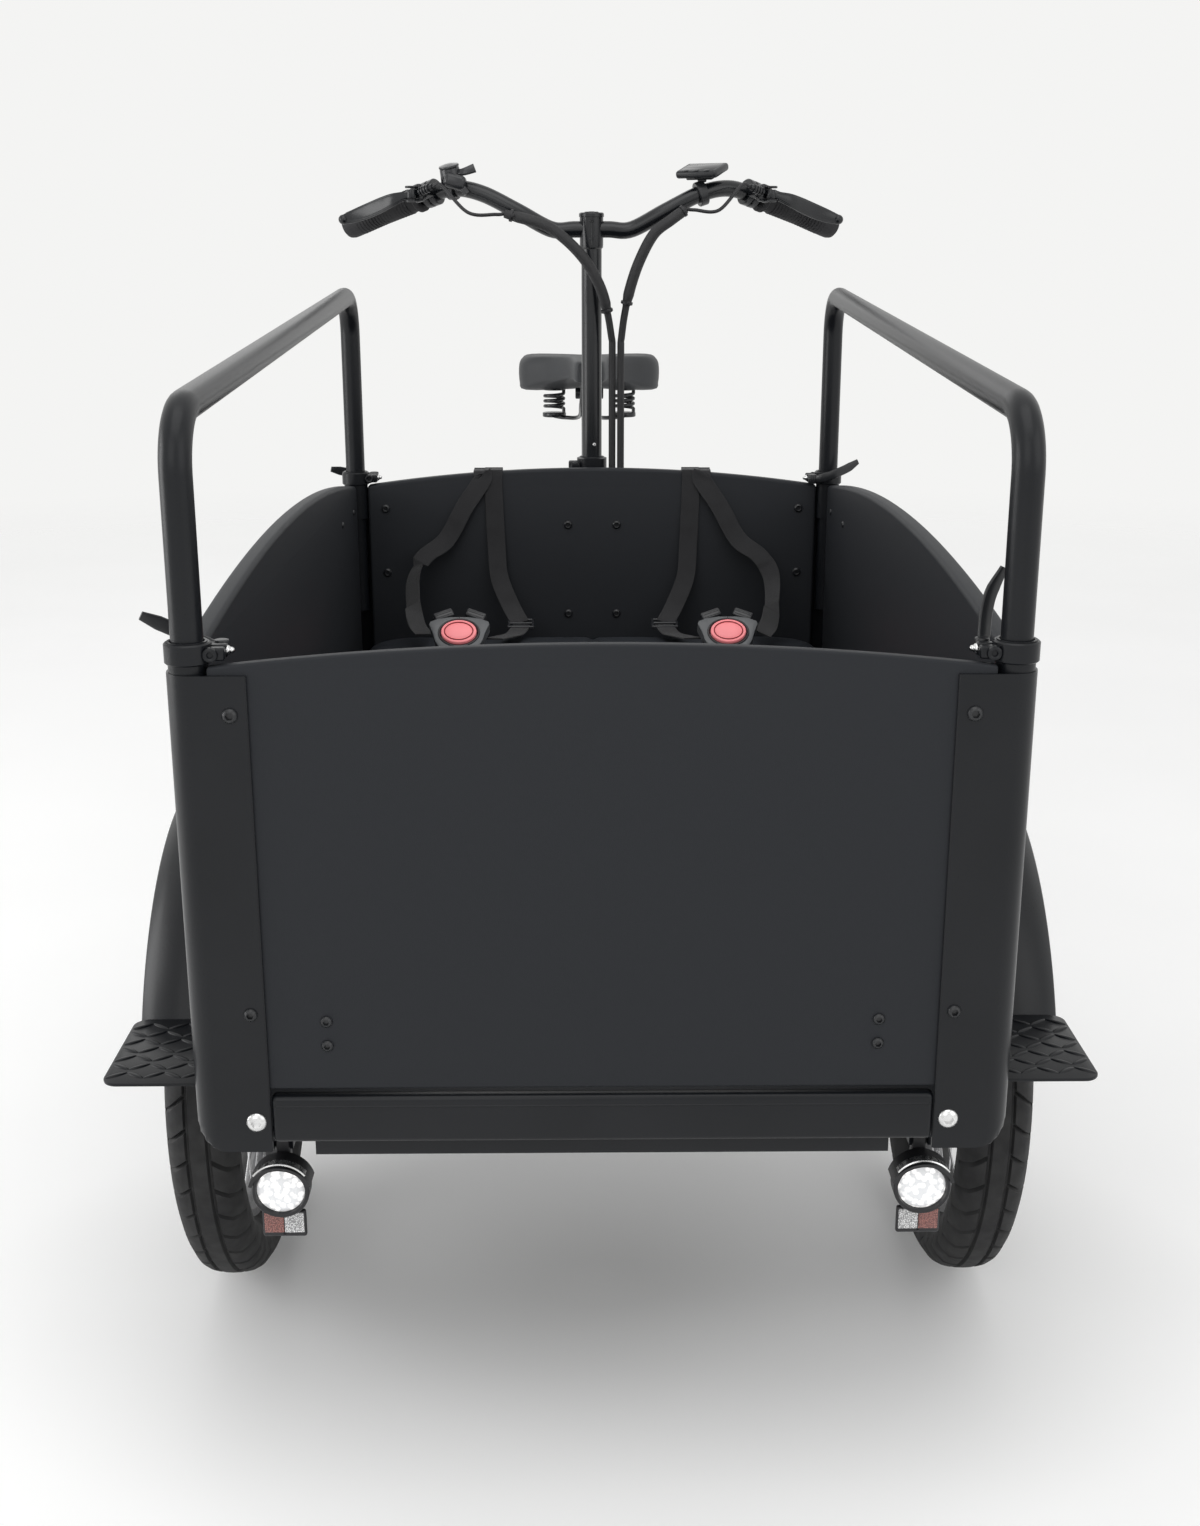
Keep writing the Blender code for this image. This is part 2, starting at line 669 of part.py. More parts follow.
def build_box():
    for front in (True, False):
        for sx, side in SIDES:
            name = f"corner_post_{'front' if front else 'rear'}_{side}"
            part(corner_post(sx, front), name, powder_coat())
    half = RAIL_X - SOCKET_OUTER - GAP * 2
    face = FRONT_Y + PROFILE_WALL + GAP
    lowest = CROSSBAR_BOTTOM + CROSSBAR_HEIGHT + SEAM
    panel = arched_panel("front_panel", half, face + PANEL / 2, lowest, FRONT_ARCH, PANEL)
    for sx, _ in SIDES:
        for z in (0.469, 0.447):
            fuse(panel, bolt_head((sx * (BOX_HALF_WIDTH - PANEL_BOLT_INSET), face, z), (0, -1, 0),
                                  0.0055, 0.003, 6))
    part(panel, "front_panel", panel_coat())
    inner = BOX_HALF_WIDTH - PROFILE_WING - GAP
    bar_depth = PROFILE_WALL + PANEL - 2 * GAP
    bar_y = FRONT_Y + bar_depth / 2
    bar_size = (2 * inner, bar_depth, CROSSBAR_HEIGHT)
    bar = block("front_crossbar", bar_size, (0, bar_y, CROSSBAR_BOTTOM + CROSSBAR_HEIGHT / 2), 0.003)
    part(bar, "front_crossbar", powder_coat())
    back_y = BACK_Y - SOCKET_IN
    back = arched_panel("back_panel", half, back_y, FLOOR_BOTTOM + PANEL + GAP, BACK_ARCH, SIDE_PANEL)
    back_face = back_y - SIDE_PANEL / 2
    outer = BOX_HALF_WIDTH - BACK_BOLT_INSET
    bolts = ((outer, 0.740), (outer, 0.650), (MIDDLE_BOLT_X, 0.717), (MIDDLE_BOLT_X, 0.591))
    spots = [(sx * x, z) for sx, _ in SIDES for x, z in bolts]
    for x, z in spots:
        fuse(back, bolt_head((x, back_face, z), (0, -1, 0), 0.0065, 0.003, 6))
    part(back, "back_panel", panel_coat())
    start = RAIL_FRONT_Y + SOCKET_OUTER + 2 * GAP
    end = RAIL_REAR_Y - SOCKET_OUTER - 2 * GAP
    middle = (start + end) / 2
    x = BOX_HALF_WIDTH - PROFILE_WALL - GAP - SIDE_PANEL / 2
    for sx, side in SIDES:
        outline = arched_outline((end - start) / 2, FLOOR_BOTTOM, PANEL_TOP, SIDE_ARCH, 11)
        outline = [(middle + along, z) for along, z in outline]
        side_panel = flat("side_panel", outline, SIDE_PANEL, upright_x(sx * x), 0.0035)
        inside = sx * (x - SIDE_PANEL / 2)
        for along in (0.045, 0.16):
            bolt = bolt_head((inside, end - along, PANEL_TOP - 0.03), (-sx, 0, 0), 0.0045, 0.002, 6)
            fuse(side_panel, bolt)
        part(side_panel, f"side_panel_{side}", panel_coat())
    floor_half = x - SIDE_PANEL / 2 - GAP
    floor_start = face + PANEL + GAP
    floor_end = BACK_Y - SOCKET_IN + SIDE_PANEL / 2
    size = (2 * floor_half, floor_end - floor_start, PANEL)
    floor = block("floor_panel", size, (0, (floor_start + floor_end) / 2, FLOOR_BOTTOM + PANEL / 2))
    for front in (True, False):
        for sx, _ in SIDES:
            px, py = corner_point(sx, front, SOCKET_IN, SOCKET_IN)
            notch = SOCKET_OUTER + 4 * GAP
            cut(floor, block("notch", (2 * notch, 2 * notch, 0.1), (px, py, FLOOR_BOTTOM)))
    part(floor, "floor_panel", panel_coat())


def rail_route(sx):
    x = sx * RAIL_X
    low = BOX_TOP - RAIL_LEG_INSERT
    corners = [(x, RAIL_FRONT_Y, low), (x, RAIL_FRONT_Y, RAIL_FRONT_TOP),
               (x, RAIL_REAR_Y, RAIL_REAR_TOP), (x, RAIL_REAR_Y, low)]
    return rounded_corners(corners, RAIL_BEND, 5)


def lever_route(sx, front):
    """The cam lever's line from its pin, round behind its tube, or upwards on the front left one."""
    pin = lever_pin(sx, front)
    if front and sx > 0:
        steps = ((0, 0, 0), (0.05, 0.12, 0.12), (0.08, 0.2, 0.4), (0.14, 0.22, 0.7), (0.3, 0.22, 1.05))
    elif front:
        steps = ((0, 0, 0), (0.22, 0.17, 0.0), (0.55, 0.26, 0.12), (0.85, 0.22, 0.27),
                 (1.12, 0.12, 0.42))
    elif sx > 0:
        steps = ((0, 0, 0), (0.22, 0.17, 0.04), (0.5, 0.24, 0.15), (0.8, 0.2, 0.28), (1.05, 0.1, 0.42))
    else:
        steps = ((0, 0, 0), (0.22, 0.17, 0.0), (0.5, 0.25, 0.04), (0.8, 0.2, 0.1), (1.05, 0.1, 0.16))
    turn = 1 if front or sx < 0 else -1
    reach = LEVER_LENGTH
    places = [pin + Vector((sx * a, turn * b, c)) * reach for a, b, c in steps]
    return smooth_route(places, 7)


def lever_pin(sx, front):
    turn = 1 if front or sx < 0 else -1
    return lug_place(sx, front) + Vector((0, turn * (LUG_SIZE[1] / 2 + 0.007), 0))


def build_rails():
    for sx, side in SIDES:
        rail = wire("rail", rail_route(sx), RAIL_RADIUS, 3)
        middle = (sx * RAIL_X, (RAIL_FRONT_Y + RAIL_REAR_Y) / 2, BOX_TOP)
        part(rail, f"hand_rail_{side}", powder_coat(), middle)
        for front in (True, False):
            pin = lever_pin(sx, front)
            route = lever_route(sx, front)
            width = [LEVER_WIDTH * share for share in (0.7, 0.9, 1, 1, 1, 0.95, 0.6)]
            across = (0.5, 1, 0) if front and sx > 0 else (0, 0, 1)
            lever = ribbon("lever", route, width, LEVER_THICKNESS, across, 6)
            cam = rod("cam", pin - Vector((0, 0, 0.0065)), pin + Vector((0, 0, 0.0065)), 0.0062, 10)
            fuse(cam, lever)
            name = f"clamp_lever_{'front' if front else 'rear'}_{side}"
            part(cam, name, plastic(), pin)


# Wheels

def tyre(name, centre, radius, bead, width, groove):
    """A tyre with lengthwise grooves, its lowest facet flat on the ground."""
    half = width / 2
    height = radius - bead
    section = [(bead, half * 0.50), (bead + height * 0.42, half), (bead + height * 0.84, half * 0.82)]
    section += [(radius - 0.0012, groove + 0.002), (radius - 0.0035, groove), (radius, groove - 0.002)]
    mirrored = [(r, -x) for r, x in reversed(section)]
    section = section + mirrored
    scale = 1 / math.cos(math.pi / TYRE_SIDES)
    profile = [(r * scale, x) for r, x in section]
    return turned(name, profile, centre, "X", TYRE_SIDES, 180 / TYRE_SIDES)


def wheel(name, centre, rim_radius, hub, spokes, steps=20):
    """A rim laced to a bored hub; hub is its turned profile, spokes their number, flange radius and cross."""
    count, flange, cross = spokes
    deep, half = 0.013, RIM_WIDTH / 2
    section = [(rim_radius + 0.001, half), (rim_radius - deep, half * 0.6),
               (rim_radius - deep, -half * 0.6)]
    section += [(rim_radius + 0.001, -half), (rim_radius + 0.001, -half + 0.003),
                (rim_radius - 0.005, 0)]
    section += [(rim_radius + 0.001, half - 0.003)]
    rim = turned(name, section, centre, "X", steps)
    hub = turned("hub", hub, centre, "X", 10)
    shape = bmesh.new()
    for index in range(count):
        side = 1 if index % 2 else -1
        lead = 1 if index % 4 < 2 else -1
        place = 2 * math.pi * index / count
        start_angle = place + lead * cross
        x = side * (FLANGE_X + lead * 0.0018)
        start = Vector((x, math.sin(start_angle) * flange, math.cos(start_angle) * flange))
        far = rim_radius - deep + 0.003
        end = Vector((side * 0.004, math.sin(place) * far, math.cos(place) * far))
        length = (end - start).length
        spot = Matrix.Translation(centre) @ aligned(start, end)
        bmesh.ops.create_cone(shape, cap_ends=True, segments=3, radius1=0.0017, radius2=0.0017,
                              depth=length, matrix=spot)
    return use_manifold(fuse(rim, hub, mesh_object("spokes", shape)))


def front_hub():
    """A drum-brake hub: the drum on one side, two spoke flanges, bored for its stub axle."""
    bore = STUB_RADIUS + CLEAR
    outer = [(bore, 0.029), (0.014, 0.029), (0.014, 0.024), (0.036, 0.023), (0.036, 0.019),
             (0.018, 0.017)]
    outer += [(0.018, -0.012), (0.046, -0.016), (0.048, -0.0285), (bore, -0.029)]
    return outer


def build_front_wheels():
    for sx, side in SIDES:
        centre = Vector((sx * FRONT_WHEEL_X, FRONT_AXLE_Y, FRONT_WHEEL_RADIUS))
        hub = [(r, sx * x) for r, x in front_hub()]
        if sx < 0:
            hub = hub[::-1]
        made = wheel("rim", centre, FRONT_RIM_RADIUS, hub, (12, 0.031, 0.42))
        part(made, f"front_wheel_{side}", steel(), centre)
        bead = FRONT_RIM_RADIUS + TYRE_SEAT
        rubber_ring = tyre("tyre", centre, FRONT_WHEEL_RADIUS, bead, FRONT_TYRE_WIDTH, GROOVE)
        part(rubber_ring, f"front_tyre_{side}", rubber(), centre)


def fender_ring(centre, angle, section):
    a = math.radians(angle)
    return [centre + Vector((x, -r * math.sin(a), r * math.cos(a))) for x, r in section]


def sheet_section(line, thickness):
    """A closed strip along an open line in (x, radius), its thickness towards the wheel."""
    points = [Vector(point) for point in line]
    inner = []
    for index, point in enumerate(points):
        before, after = points[max(index - 1, 0)], points[min(index + 1, len(points) - 1)]
        along = (after - before).normalized()
        normal = Vector((along.y, -along.x))
        if normal.y > 0 or (abs(normal.y) < 0.01 and normal.x < 0):
            normal = -normal
        inner.append(point + normal * thickness)
    return [tuple(point) for point in points + inner[::-1]]


def build_fenders():
    inner = BOX_HALF_WIDTH + GAP
    top = FENDER_RADIUS
    line = [(inner, top), (inner + 0.050, top), (inner + 0.058, top - 0.002),
            (FENDER_OUTER, top - 0.020)]
    for sx, side in SIDES:
        centre = Vector((0, FRONT_AXLE_Y, FRONT_WHEEL_RADIUS))
        section = [(sx * x, r) for x, r in sheet_section(line, FENDER_SHEET)]
        steps = 13
        spread = FENDER_FRONT_ANGLE - FENDER_REAR_ANGLE
        angles = [FENDER_REAR_ANGLE + spread * i / steps for i in range(steps + 1)]
        fender = loft("fender", [fender_ring(centre, angle, section) for angle in angles])
        wall = FENDER_SHEET
        x = sx * (inner + wall / 2)
        ring = [(x - sx * wall / 2, top - 0.001), (x + sx * wall / 2, top - 0.001)]
        ring += [(x + sx * wall / 2, top - 0.022), (x - sx * wall / 2, top - 0.022)]
        flange = loft("flange", [fender_ring(centre, angle, ring) for angle in angles[3:-1]])
        part(use_manifold(fuse(fender, flange)), f"front_fender_{side}", powder_coat())
        step_front = FRONT_Y + STEP_FRONT_SETBACK
        step_back = step_front + STEP_DEPTH
        r = 0.014
        outline = [(inner, step_back), (inner, step_front),
                   *arc((STEP_OUTER - r, step_front + r), r, 270, 360, 5)]
        outline += arc((STEP_OUTER - r, step_back - r), r, 0, 90, 5)
        outline = [(sx * x, y) for x, y in outline]
        middle = STEP_TOP - STEP_SHEET / 2
        step = flat("step", outline, STEP_SHEET, Matrix.Translation((0, 0, middle)))
        lip = block("lip", (0.003, STEP_DEPTH * 0.8, 0.026),
                    (sx * (inner + 0.0015), (step_front + step_back) / 2, middle - 0.012))
        bolts = [bolt_head((sx * (inner + 0.003), y, middle - 0.015), (sx, 0, 0),
                           0.005) for y in (step_front + 0.03, step_back - 0.03)]
        treads = [tread(sx, sx * (inner + 0.026 + 0.030 * column), step_front + 0.036 + 0.030 * row,
                        (row + column) % 2)
                  for column in range(2) for row in range(3)]
        part(use_manifold(fuse(step, lip, *bolts, *treads)), f"step_{side}", powder_coat())


def tread(sx, x, y, flip):
    """One raised bar of the step's tread plate."""
    turn = Matrix.Rotation(math.radians(35 if flip else -35) * sx, 4, "Z")
    bar = block("tread", (0.019, 0.0045, 0.002), (0, 0, 0))
    bar.data.transform(Matrix.Translation((x, y, STEP_TOP)) @ turn)
    return bar


# Chassis under the box, with the lamps


def chassis():
    rail_y = (FRONT_Y + 0.032, BACK_Y - 0.040)
    rail_z = CHASSIS_TOP - SIDE_RAIL[1] / 2
    frame = block("front_chassis", (2 * SIDE_RAIL_X + 0.03, 0.030, SIDE_RAIL[1]),
                  (0, rail_y[0] + 0.015, rail_z))
    pieces = []
    for sx, _ in SIDES:
        size = (SIDE_RAIL[0], rail_y[1] - rail_y[0], SIDE_RAIL[1] - 0.001)
        pieces.append(block("side_rail", size, (sx * SIDE_RAIL_X, sum(rail_y) / 2, rail_z - 0.0003)))
        top = (sx * SIDE_RAIL_X, FRONT_AXLE_Y, rail_z)
        low = (sx * SIDE_RAIL_X, FRONT_AXLE_Y, FRONT_WHEEL_RADIUS)
        pieces.append(block("drop", (0.026, 0.050, top[2] - low[2]),
                            (top[0], top[1], (top[2] + low[2]) / 2)))
        stub_end = FRONT_WHEEL_X + 0.034
        pieces.append(rod("stub", (sx * (BOX_HALF_WIDTH - AXLE_END - 0.018), FRONT_AXLE_Y, low[2]),
                          (sx * stub_end, FRONT_AXLE_Y, low[2]), STUB_RADIUS, 12))
        nut_start = FRONT_WHEEL_X + 0.0295
        nut = rod("nut", (sx * nut_start, FRONT_AXLE_Y, low[2]),
                  (sx * (nut_start + 0.008), FRONT_AXLE_Y, low[2]), 0.0135, 6)
        pieces.append(nut)
        arm_x = sx * LAMP_X
        arm_y = LAMP_Y + 0.012
        bridge = LAMP_X - SIDE_RAIL_X + 0.020
        pieces.append(block("lamp_bridge", (bridge, 0.022, 0.006),
                            (sx * (LAMP_X + 0.015 - bridge / 2), arm_y, CHASSIS_TOP - 0.012)))
        pin = Vector((arm_x, arm_y, LAMP_PIN_HEIGHT))
        drop_top = CHASSIS_TOP - 0.010
        for ear in (-1, 1):
            size = (0.003, 0.016, drop_top - pin.z + 0.008)
            pieces.append(block("ear", size, (arm_x + ear * 0.0085, arm_y,
                                              (drop_top + pin.z - 0.008) / 2)))
    end = BOX_HALF_WIDTH - AXLE_END
    axle = rod("axle", (-end, FRONT_AXLE_Y, FRONT_WHEEL_RADIUS),
               (end, FRONT_AXLE_Y, FRONT_WHEEL_RADIUS), AXLE_TUBE_RADIUS, 12)
    pieces.append(axle)
    for y in (FRONT_AXLE_Y - 0.13, PIVOT_Y - 0.06, PIVOT_Y + 0.06, BACK_Y - 0.060):
        pieces.append(block("cross", (2 * SIDE_RAIL_X, 0.025, SIDE_RAIL[1] - 0.004),
                            (0, y, rail_z - 0.001)))
    pieces.append(block("head_plate", (0.090, 0.14, 0.008), (0, PIVOT_Y, CHASSIS_TOP - 0.006)))
    pieces.append(rod("head", (0, PIVOT_Y, HEAD_BOTTOM), (0, PIVOT_Y, CHASSIS_TOP - 0.004),
                      HEAD_RADIUS, 14))
    return use_manifold(fuse(frame, *pieces))


def lamp(sx):
    """A round hooded lamp on a tilting clip, with its reflector plate below."""
    centre = Vector((sx * LAMP_X, LAMP_Y, LAMP_HEIGHT))
    r = LAMP_RADIUS
    profile = [(0, 0.018), (r * 0.60, 0.016), (r, 0.000), (r, -0.016), (r - 0.002, -0.018)]
    profile += [(r - 0.004, -0.018), (r - 0.0045, -0.013), (0, -0.0160)]
    body = turned("lamp", profile, centre, "Y", 12)
    hood_line = [(math.cos(math.radians(a)), math.sin(math.radians(a))) for a in range(20, 161, 35)]
    rings = []
    for depth in (-0.0255, -0.010, 0.004):
        outer = [centre + Vector((c * (r + 0.003), depth + (0.006 * (1 - s) if depth < -0.02 else 0),
                                  s * (r + 0.003))) for c, s in hood_line]
        inner = [centre + Vector((c * (r - 0.0005), depth + (0.006 * (1 - s) if depth < -0.02 else 0),
                                  s * (r - 0.0005))) for c, s in reversed(hood_line)]
        rings.append(outer + inner)
    hood = loft("hood", rings)
    clip_top = LAMP_PIN_HEIGHT - LAMP_HEIGHT
    clip = block("clip", (0.0135, 0.012, clip_top), centre + Vector((0, 0.012, clip_top / 2)), 0.002, 1)
    plate_z = -r - 0.013
    plate = block("reflector", (0.040, 0.006, 0.027), centre + Vector((0, -0.004, plate_z)), 0.005, 1)
    stay = block("stay", (0.012, 0.004, 0.032), centre + Vector((0, 0.001, plate_z + 0.010)))
    return use_manifold(fuse(body, hood, clip, plate, stay))


# Bench, cushion and battery


def tilted(y, z):
    """A place on the bench, measured along its seat from the front edge and square to it."""
    a = math.radians(BENCH_TILT)
    height = BENCH_HEIGHT + BENCH_STEP - y * math.sin(a) + z * math.cos(a)
    return BENCH_Y + y * math.cos(a) + z * math.sin(a), height


def bench():
    """The seat board and the front board below it, with the battery's opening."""
    outline = [tilted(0, 0), tilted(SEAT_DEPTH, 0), tilted(SEAT_DEPTH, -BOARD), tilted(0.02, -BOARD)]
    seat = flat("bench", outline, 2 * BENCH_HALF, upright_x(0))
    for sx, _ in SIDES:
        notch = 2 * (SOCKET_OUTER + 3 * GAP)
        cut(seat, block("notch", (notch, notch, 1), (sx * RAIL_X, RAIL_REAR_Y, BENCH_HEIGHT)))
    top = tilted(0, 0)[1] - 0.002
    low = FLOOR_TOP + GAP
    board = block("front_board", (2 * BENCH_HALF, BOARD, top - low),
                  (0, BENCH_Y + BOARD / 2 + 0.0005, (top + low) / 2))
    width, _, height = BATTERY_SIZE
    hatch = block("hatch", (width + 0.012, 0.1, height + 0.022), (0, BENCH_Y, BATTERY_Z - 0.005))
    fuse(seat, board)
    rib_y = BENCH_Y + SEAT_DEPTH * 0.45 + 0.008
    rib_z = tilted(SEAT_DEPTH, 0)[1] - BOARD - 0.005
    ribs = [block("rib", (BOARD, SEAT_DEPTH * 0.9, 0.03), (sx * RIB_X, rib_y, rib_z)) for sx, _ in SIDES]
    return use_manifold(cut(fuse(seat, *ribs), hatch))


def battery():
    width, depth, height = BATTERY_SIZE
    y = BENCH_Y + 0.004 + depth / 2
    case = block("battery", (width, depth, height), (0, y, BATTERY_Z), 0.006, 1)
    grip = block("grip", (0.11, 0.022, 0.030), (0, y - depth / 2, BATTERY_Z + 0.012), 0.004, 1)
    feet = [block("foot", (0.016, depth * 0.8, 0.012), (sx * width * 0.38, y,
                                                        FLOOR_TOP + GAP + 0.006)) for sx, _ in SIDES]
    keyhole = rod("key", (width * 0.36, y - depth / 2 - 0.002, BATTERY_Z),
                  (width * 0.36, y, BATTERY_Z), 0.008, 10)
    return use_manifold(cut(fuse(case, *feet, keyhole), grip))


def cushion():
    """The bench cushion: a crowned pad with drawn-in sides and rounded back corners."""
    columns = 18
    half = BENCH_HALF - 0.004
    depth = SEAT_DEPTH - 0.014
    thick = CUSHION_THICKNESS
    rings = []
    levels = [(0.0, 0.018), (0.10, 0.006), (0.28, 0.0025), (0.5, 0.0), (0.72, 0.0025), (0.90, 0.007),
              (1.0, 0.020)]

    def edge(inset):
        """The cushion's outline seen from above, drawn in by inset."""
        w, d = half - inset, depth / 2 - inset
        r_back, r_front = 0.060 - inset * 0.5, 0.022
        ring = arc((w - r_front, -d + r_front), r_front, -90, 0, 4) + arc((w - r_back, d - r_back),
                r_back, 0, 90, 6)
        back = [(w - r_back - (w - r_back) * 2 * i / columns, d) for i in range(1, columns)]
        ring += back + arc((-w + r_back, d - r_back), r_back, 90, 180,
                           6) + arc((-w + r_front, -d + r_front), r_front, 180, 270, 4)
        return ring + [(-w + r_front + (w - r_front) * 2 * i / columns, -d) for i in range(1, columns)]

    for height, inset in levels:
        rings.append([(x, y, height * thick) for x, y in edge(inset)])
    for step in (1, 2, 3):
        share = 1 - step * 0.24
        rise = thick + CUSHION_CROWN * (1 - share * share)
        rings.append([(x * share, y * share, rise) for x, y in edge(0.020)])
    a = math.radians(BENCH_TILT)
    start_y, start_z = tilted(depth / 2 + 0.004, GAP * 2)
    place = Matrix.Translation((0, start_y, start_z)) @ Matrix.Rotation(-a, 4, "X")
    return loft("cushion", [[place @ Vector(point) for point in ring] for ring in rings])


def build_carriage():
    part(chassis(), "front_chassis", powder_coat())
    for sx, side in SIDES:
        pin = (sx * LAMP_X, LAMP_Y + 0.012, LAMP_PIN_HEIGHT)
        part(lamp(sx), f"lamp_{side}", plastic(), pin)
    part(bench(), "bench_board", panel_coat())
    part(cushion(), "bench_cushion", fabric())
    part(battery(), "battery", plastic(), (0, BENCH_Y, BATTERY_Z))


# Steering column and handlebar


def on_bar(sx, offset):
    return Vector((sx * offset[0], STEM_Y + offset[1], BAR_CLAMP_HEIGHT + offset[2]))


def steering_bracket():
    outer = COLUMN_RADIUS + COLUMN_WALL
    low, top = 0.560, CLAMP_BOLT_HEIGHT + 0.014
    profile = [(COLUMN_RADIUS, top), (outer, top), (outer, low), (COLUMN_RADIUS, low)]
    column = turned("column", profile, (0, STEM_Y, 0), steps=14)
    plate = block("plate", (0.104, 0.005, 0.170), (0, PLATE_REAR_Y + 0.0025, 0.655))
    depth = STEM_Y - outer - PLATE_REAR_Y - 0.002
    web_y = PLATE_REAR_Y + 0.003 + depth / 2
    webs = [block("web", (0.030, depth + 0.002, 0.012), (0, web_y, z)) for z in (0.586, 0.655, 0.724)]
    band = [(outer - 0.001, top - 0.002), (outer + 0.003, top - 0.002)]
    band += [(outer + 0.003, top - 0.022), (outer - 0.001, top - 0.022)]
    collar = turned("collar", band, (0, STEM_Y, 0), steps=14)
    z = CLAMP_BOLT_HEIGHT + 0.001
    ears = block("ears", (0.018, 0.016, 0.014), (-outer - 0.006, STEM_Y - 0.004, z))
    knob = rod("knob", (-outer - 0.006, STEM_Y - 0.018, z), (-outer - 0.006, STEM_Y - 0.010, z),
               0.0065, 12)
    spots = [(sx * 0.040, bolt_z) for sx, _ in SIDES for bolt_z in (0.591, 0.717)]
    bolts = [bolt_head((x, PLATE_REAR_Y + 0.005, bolt_z), (0, 1, 0), 0.006) for x, bolt_z in spots]
    column = fuse(column, plate, *webs, collar, ears, knob, *bolts)
    bore = turned("bore", [(0, top + 0.1), (COLUMN_RADIUS, top + 0.1), (COLUMN_RADIUS, low - 0.1),
                           (0, low - 0.1)], (0, STEM_Y, 0), steps=14)
    return use_manifold(cut(column, bore))


def stem():
    top = BAR_CLAMP_HEIGHT
    inner = STEM_RADIUS - STEM_WALL
    low = 0.600
    profile = [(0, top - 0.004), (STEM_RADIUS, top - 0.004), (STEM_RADIUS, low), (inner, low),
               (inner, low + 0.1), (0, low + 0.1)]
    tube = turned("stem", profile, (0, STEM_Y, 0), steps=14)
    head = block("head", (0.036, 0.036, 0.036), (0, STEM_Y, top), 0.007, 1)
    cap = rod("cap", (0, STEM_Y, top + 0.016), (0, STEM_Y, top + 0.022), 0.013, 12, 0.011)
    bore = rod("bore", (-0.05, STEM_Y, top), (0.05, STEM_Y, top), BAR_RADIUS + GAP * 2, 12)
    return use_manifold(cut(fuse(tube, head, cap), bore))


def grip_frame(sx):
    """The start of a grip, its direction outwards, and the level direction in front of it."""
    start, end = on_bar(sx, GRIP_START), on_bar(sx, GRIP_END)
    along = (end - start).normalized()
    ahead = Vector((along.y, -along.x, 0)).normalized() * (1 if sx > 0 else -1)
    return start, along, ahead


def handlebar():
    half = [Vector(point) for point in smooth_route(BAR_POINTS[1:6], 7)]
    right = [on_bar(1, point) for point in (*half, GRIP_END)]
    left = [on_bar(-1, point) for point in (*half, GRIP_END)]
    bar = as_mesh(wire("bar", left[::-1] + right, BAR_RADIUS, 2))
    pieces = []
    for sx, _ in SIDES:
        start, along, ahead = grip_frame(sx)
        ring = start - along * 0.022
        pieces.append(rod("perch", ring, ring + along * 0.016, 0.0165, 10))
        pin = lever_pivot(sx)
        arm = rod("arm", ring + along * 0.008, pin - ahead * 0.0125 - along * 0.004, 0.0085, 8, 0.0075)
        fork = []
        for up in (0.0075, -0.0075):
            fork.append(rod("fork", pin + Vector((0, 0, up)), pin + Vector((0, 0, up * 1.4)), 0.0085, 8))
        turn = Matrix((along, ahead, along.cross(ahead))).transposed()
        bridge = block("bridge", (0.012, 0.010, 0.0196), pin - ahead * 0.0129 - along * 0.004,
                       turn=turn)
        pieces += [arm, bridge, *fork]
    pod_ring = on_bar(-1, BAR_POINTS[4])
    pod = rod("pod", pod_ring + Vector((0, 0, 0.008)), pod_ring + Vector((-0.004, -0.006, 0.034)),
              0.013, 10, 0.0105)
    return use_manifold(fuse(bar, *pieces, rounded(pod, 0.003, 1)))


def lever_pivot(sx):
    start, along, ahead = grip_frame(sx)
    return start - along * 0.008 + ahead * 0.042


def brake_lever(sx):
    start, along, ahead = grip_frame(sx)
    pin = lever_pivot(sx)
    steps = ((0, 0), (0.012, 0.004), (0.030, 0.007), (0.052, 0.004), (0.076, 0.0015), (0.100, 0.003),
             (0.116, 0.007))
    route = smooth_route([pin + along * a + ahead * b for a, b in steps], 7)
    width = [0.009, 0.0105, 0.014, 0.015, 0.0145, 0.013, 0.010]
    blade = ribbon("blade", route, width, 0.0066, (0, 0, 1), 6)
    boss = rod("boss", pin - Vector((0, 0, 0.0058)), pin + Vector((0, 0, 0.0058)), 0.0068, 8)
    tip = bpy_sphere("tip", route[-1], 0.0068)
    return use_manifold(fuse(boss, blade, tip))


def bpy_sphere(name, centre, radius):
    shape = bmesh.new()
    bmesh.ops.create_uvsphere(shape, u_segments=8, v_segments=5, radius=radius,
                              matrix=Matrix.Translation(centre))
    return mesh_object(name, shape)


def grip(sx):
    start, along, _ = grip_frame(sx)
    length = (GRIP_END - GRIP_START).length - 0.004
    inner, r = (BAR_RADIUS + GAP) / math.cos(math.pi / GRIP_SIDES), GRIP_RADIUS
    profile = [(0, length + 0.004), (r * 0.9, length + 0.003), (r * 1.12, length - 0.004),
               (r * 1.1, length * 0.82), (r * 0.98, length * 0.6)]
    profile += [(r * 1.02, length * 0.35), (r * 0.95, 0.010), (r * 1.15, 0.008), (r * 1.15, 0),
                (inner, 0), (inner, length + GAP * 3 + 0.0005)]
    profile += [(0, length + GAP * 3 + 0.0005)]
    return turned("grip", profile, start + along * 0.003, along, GRIP_SIDES)


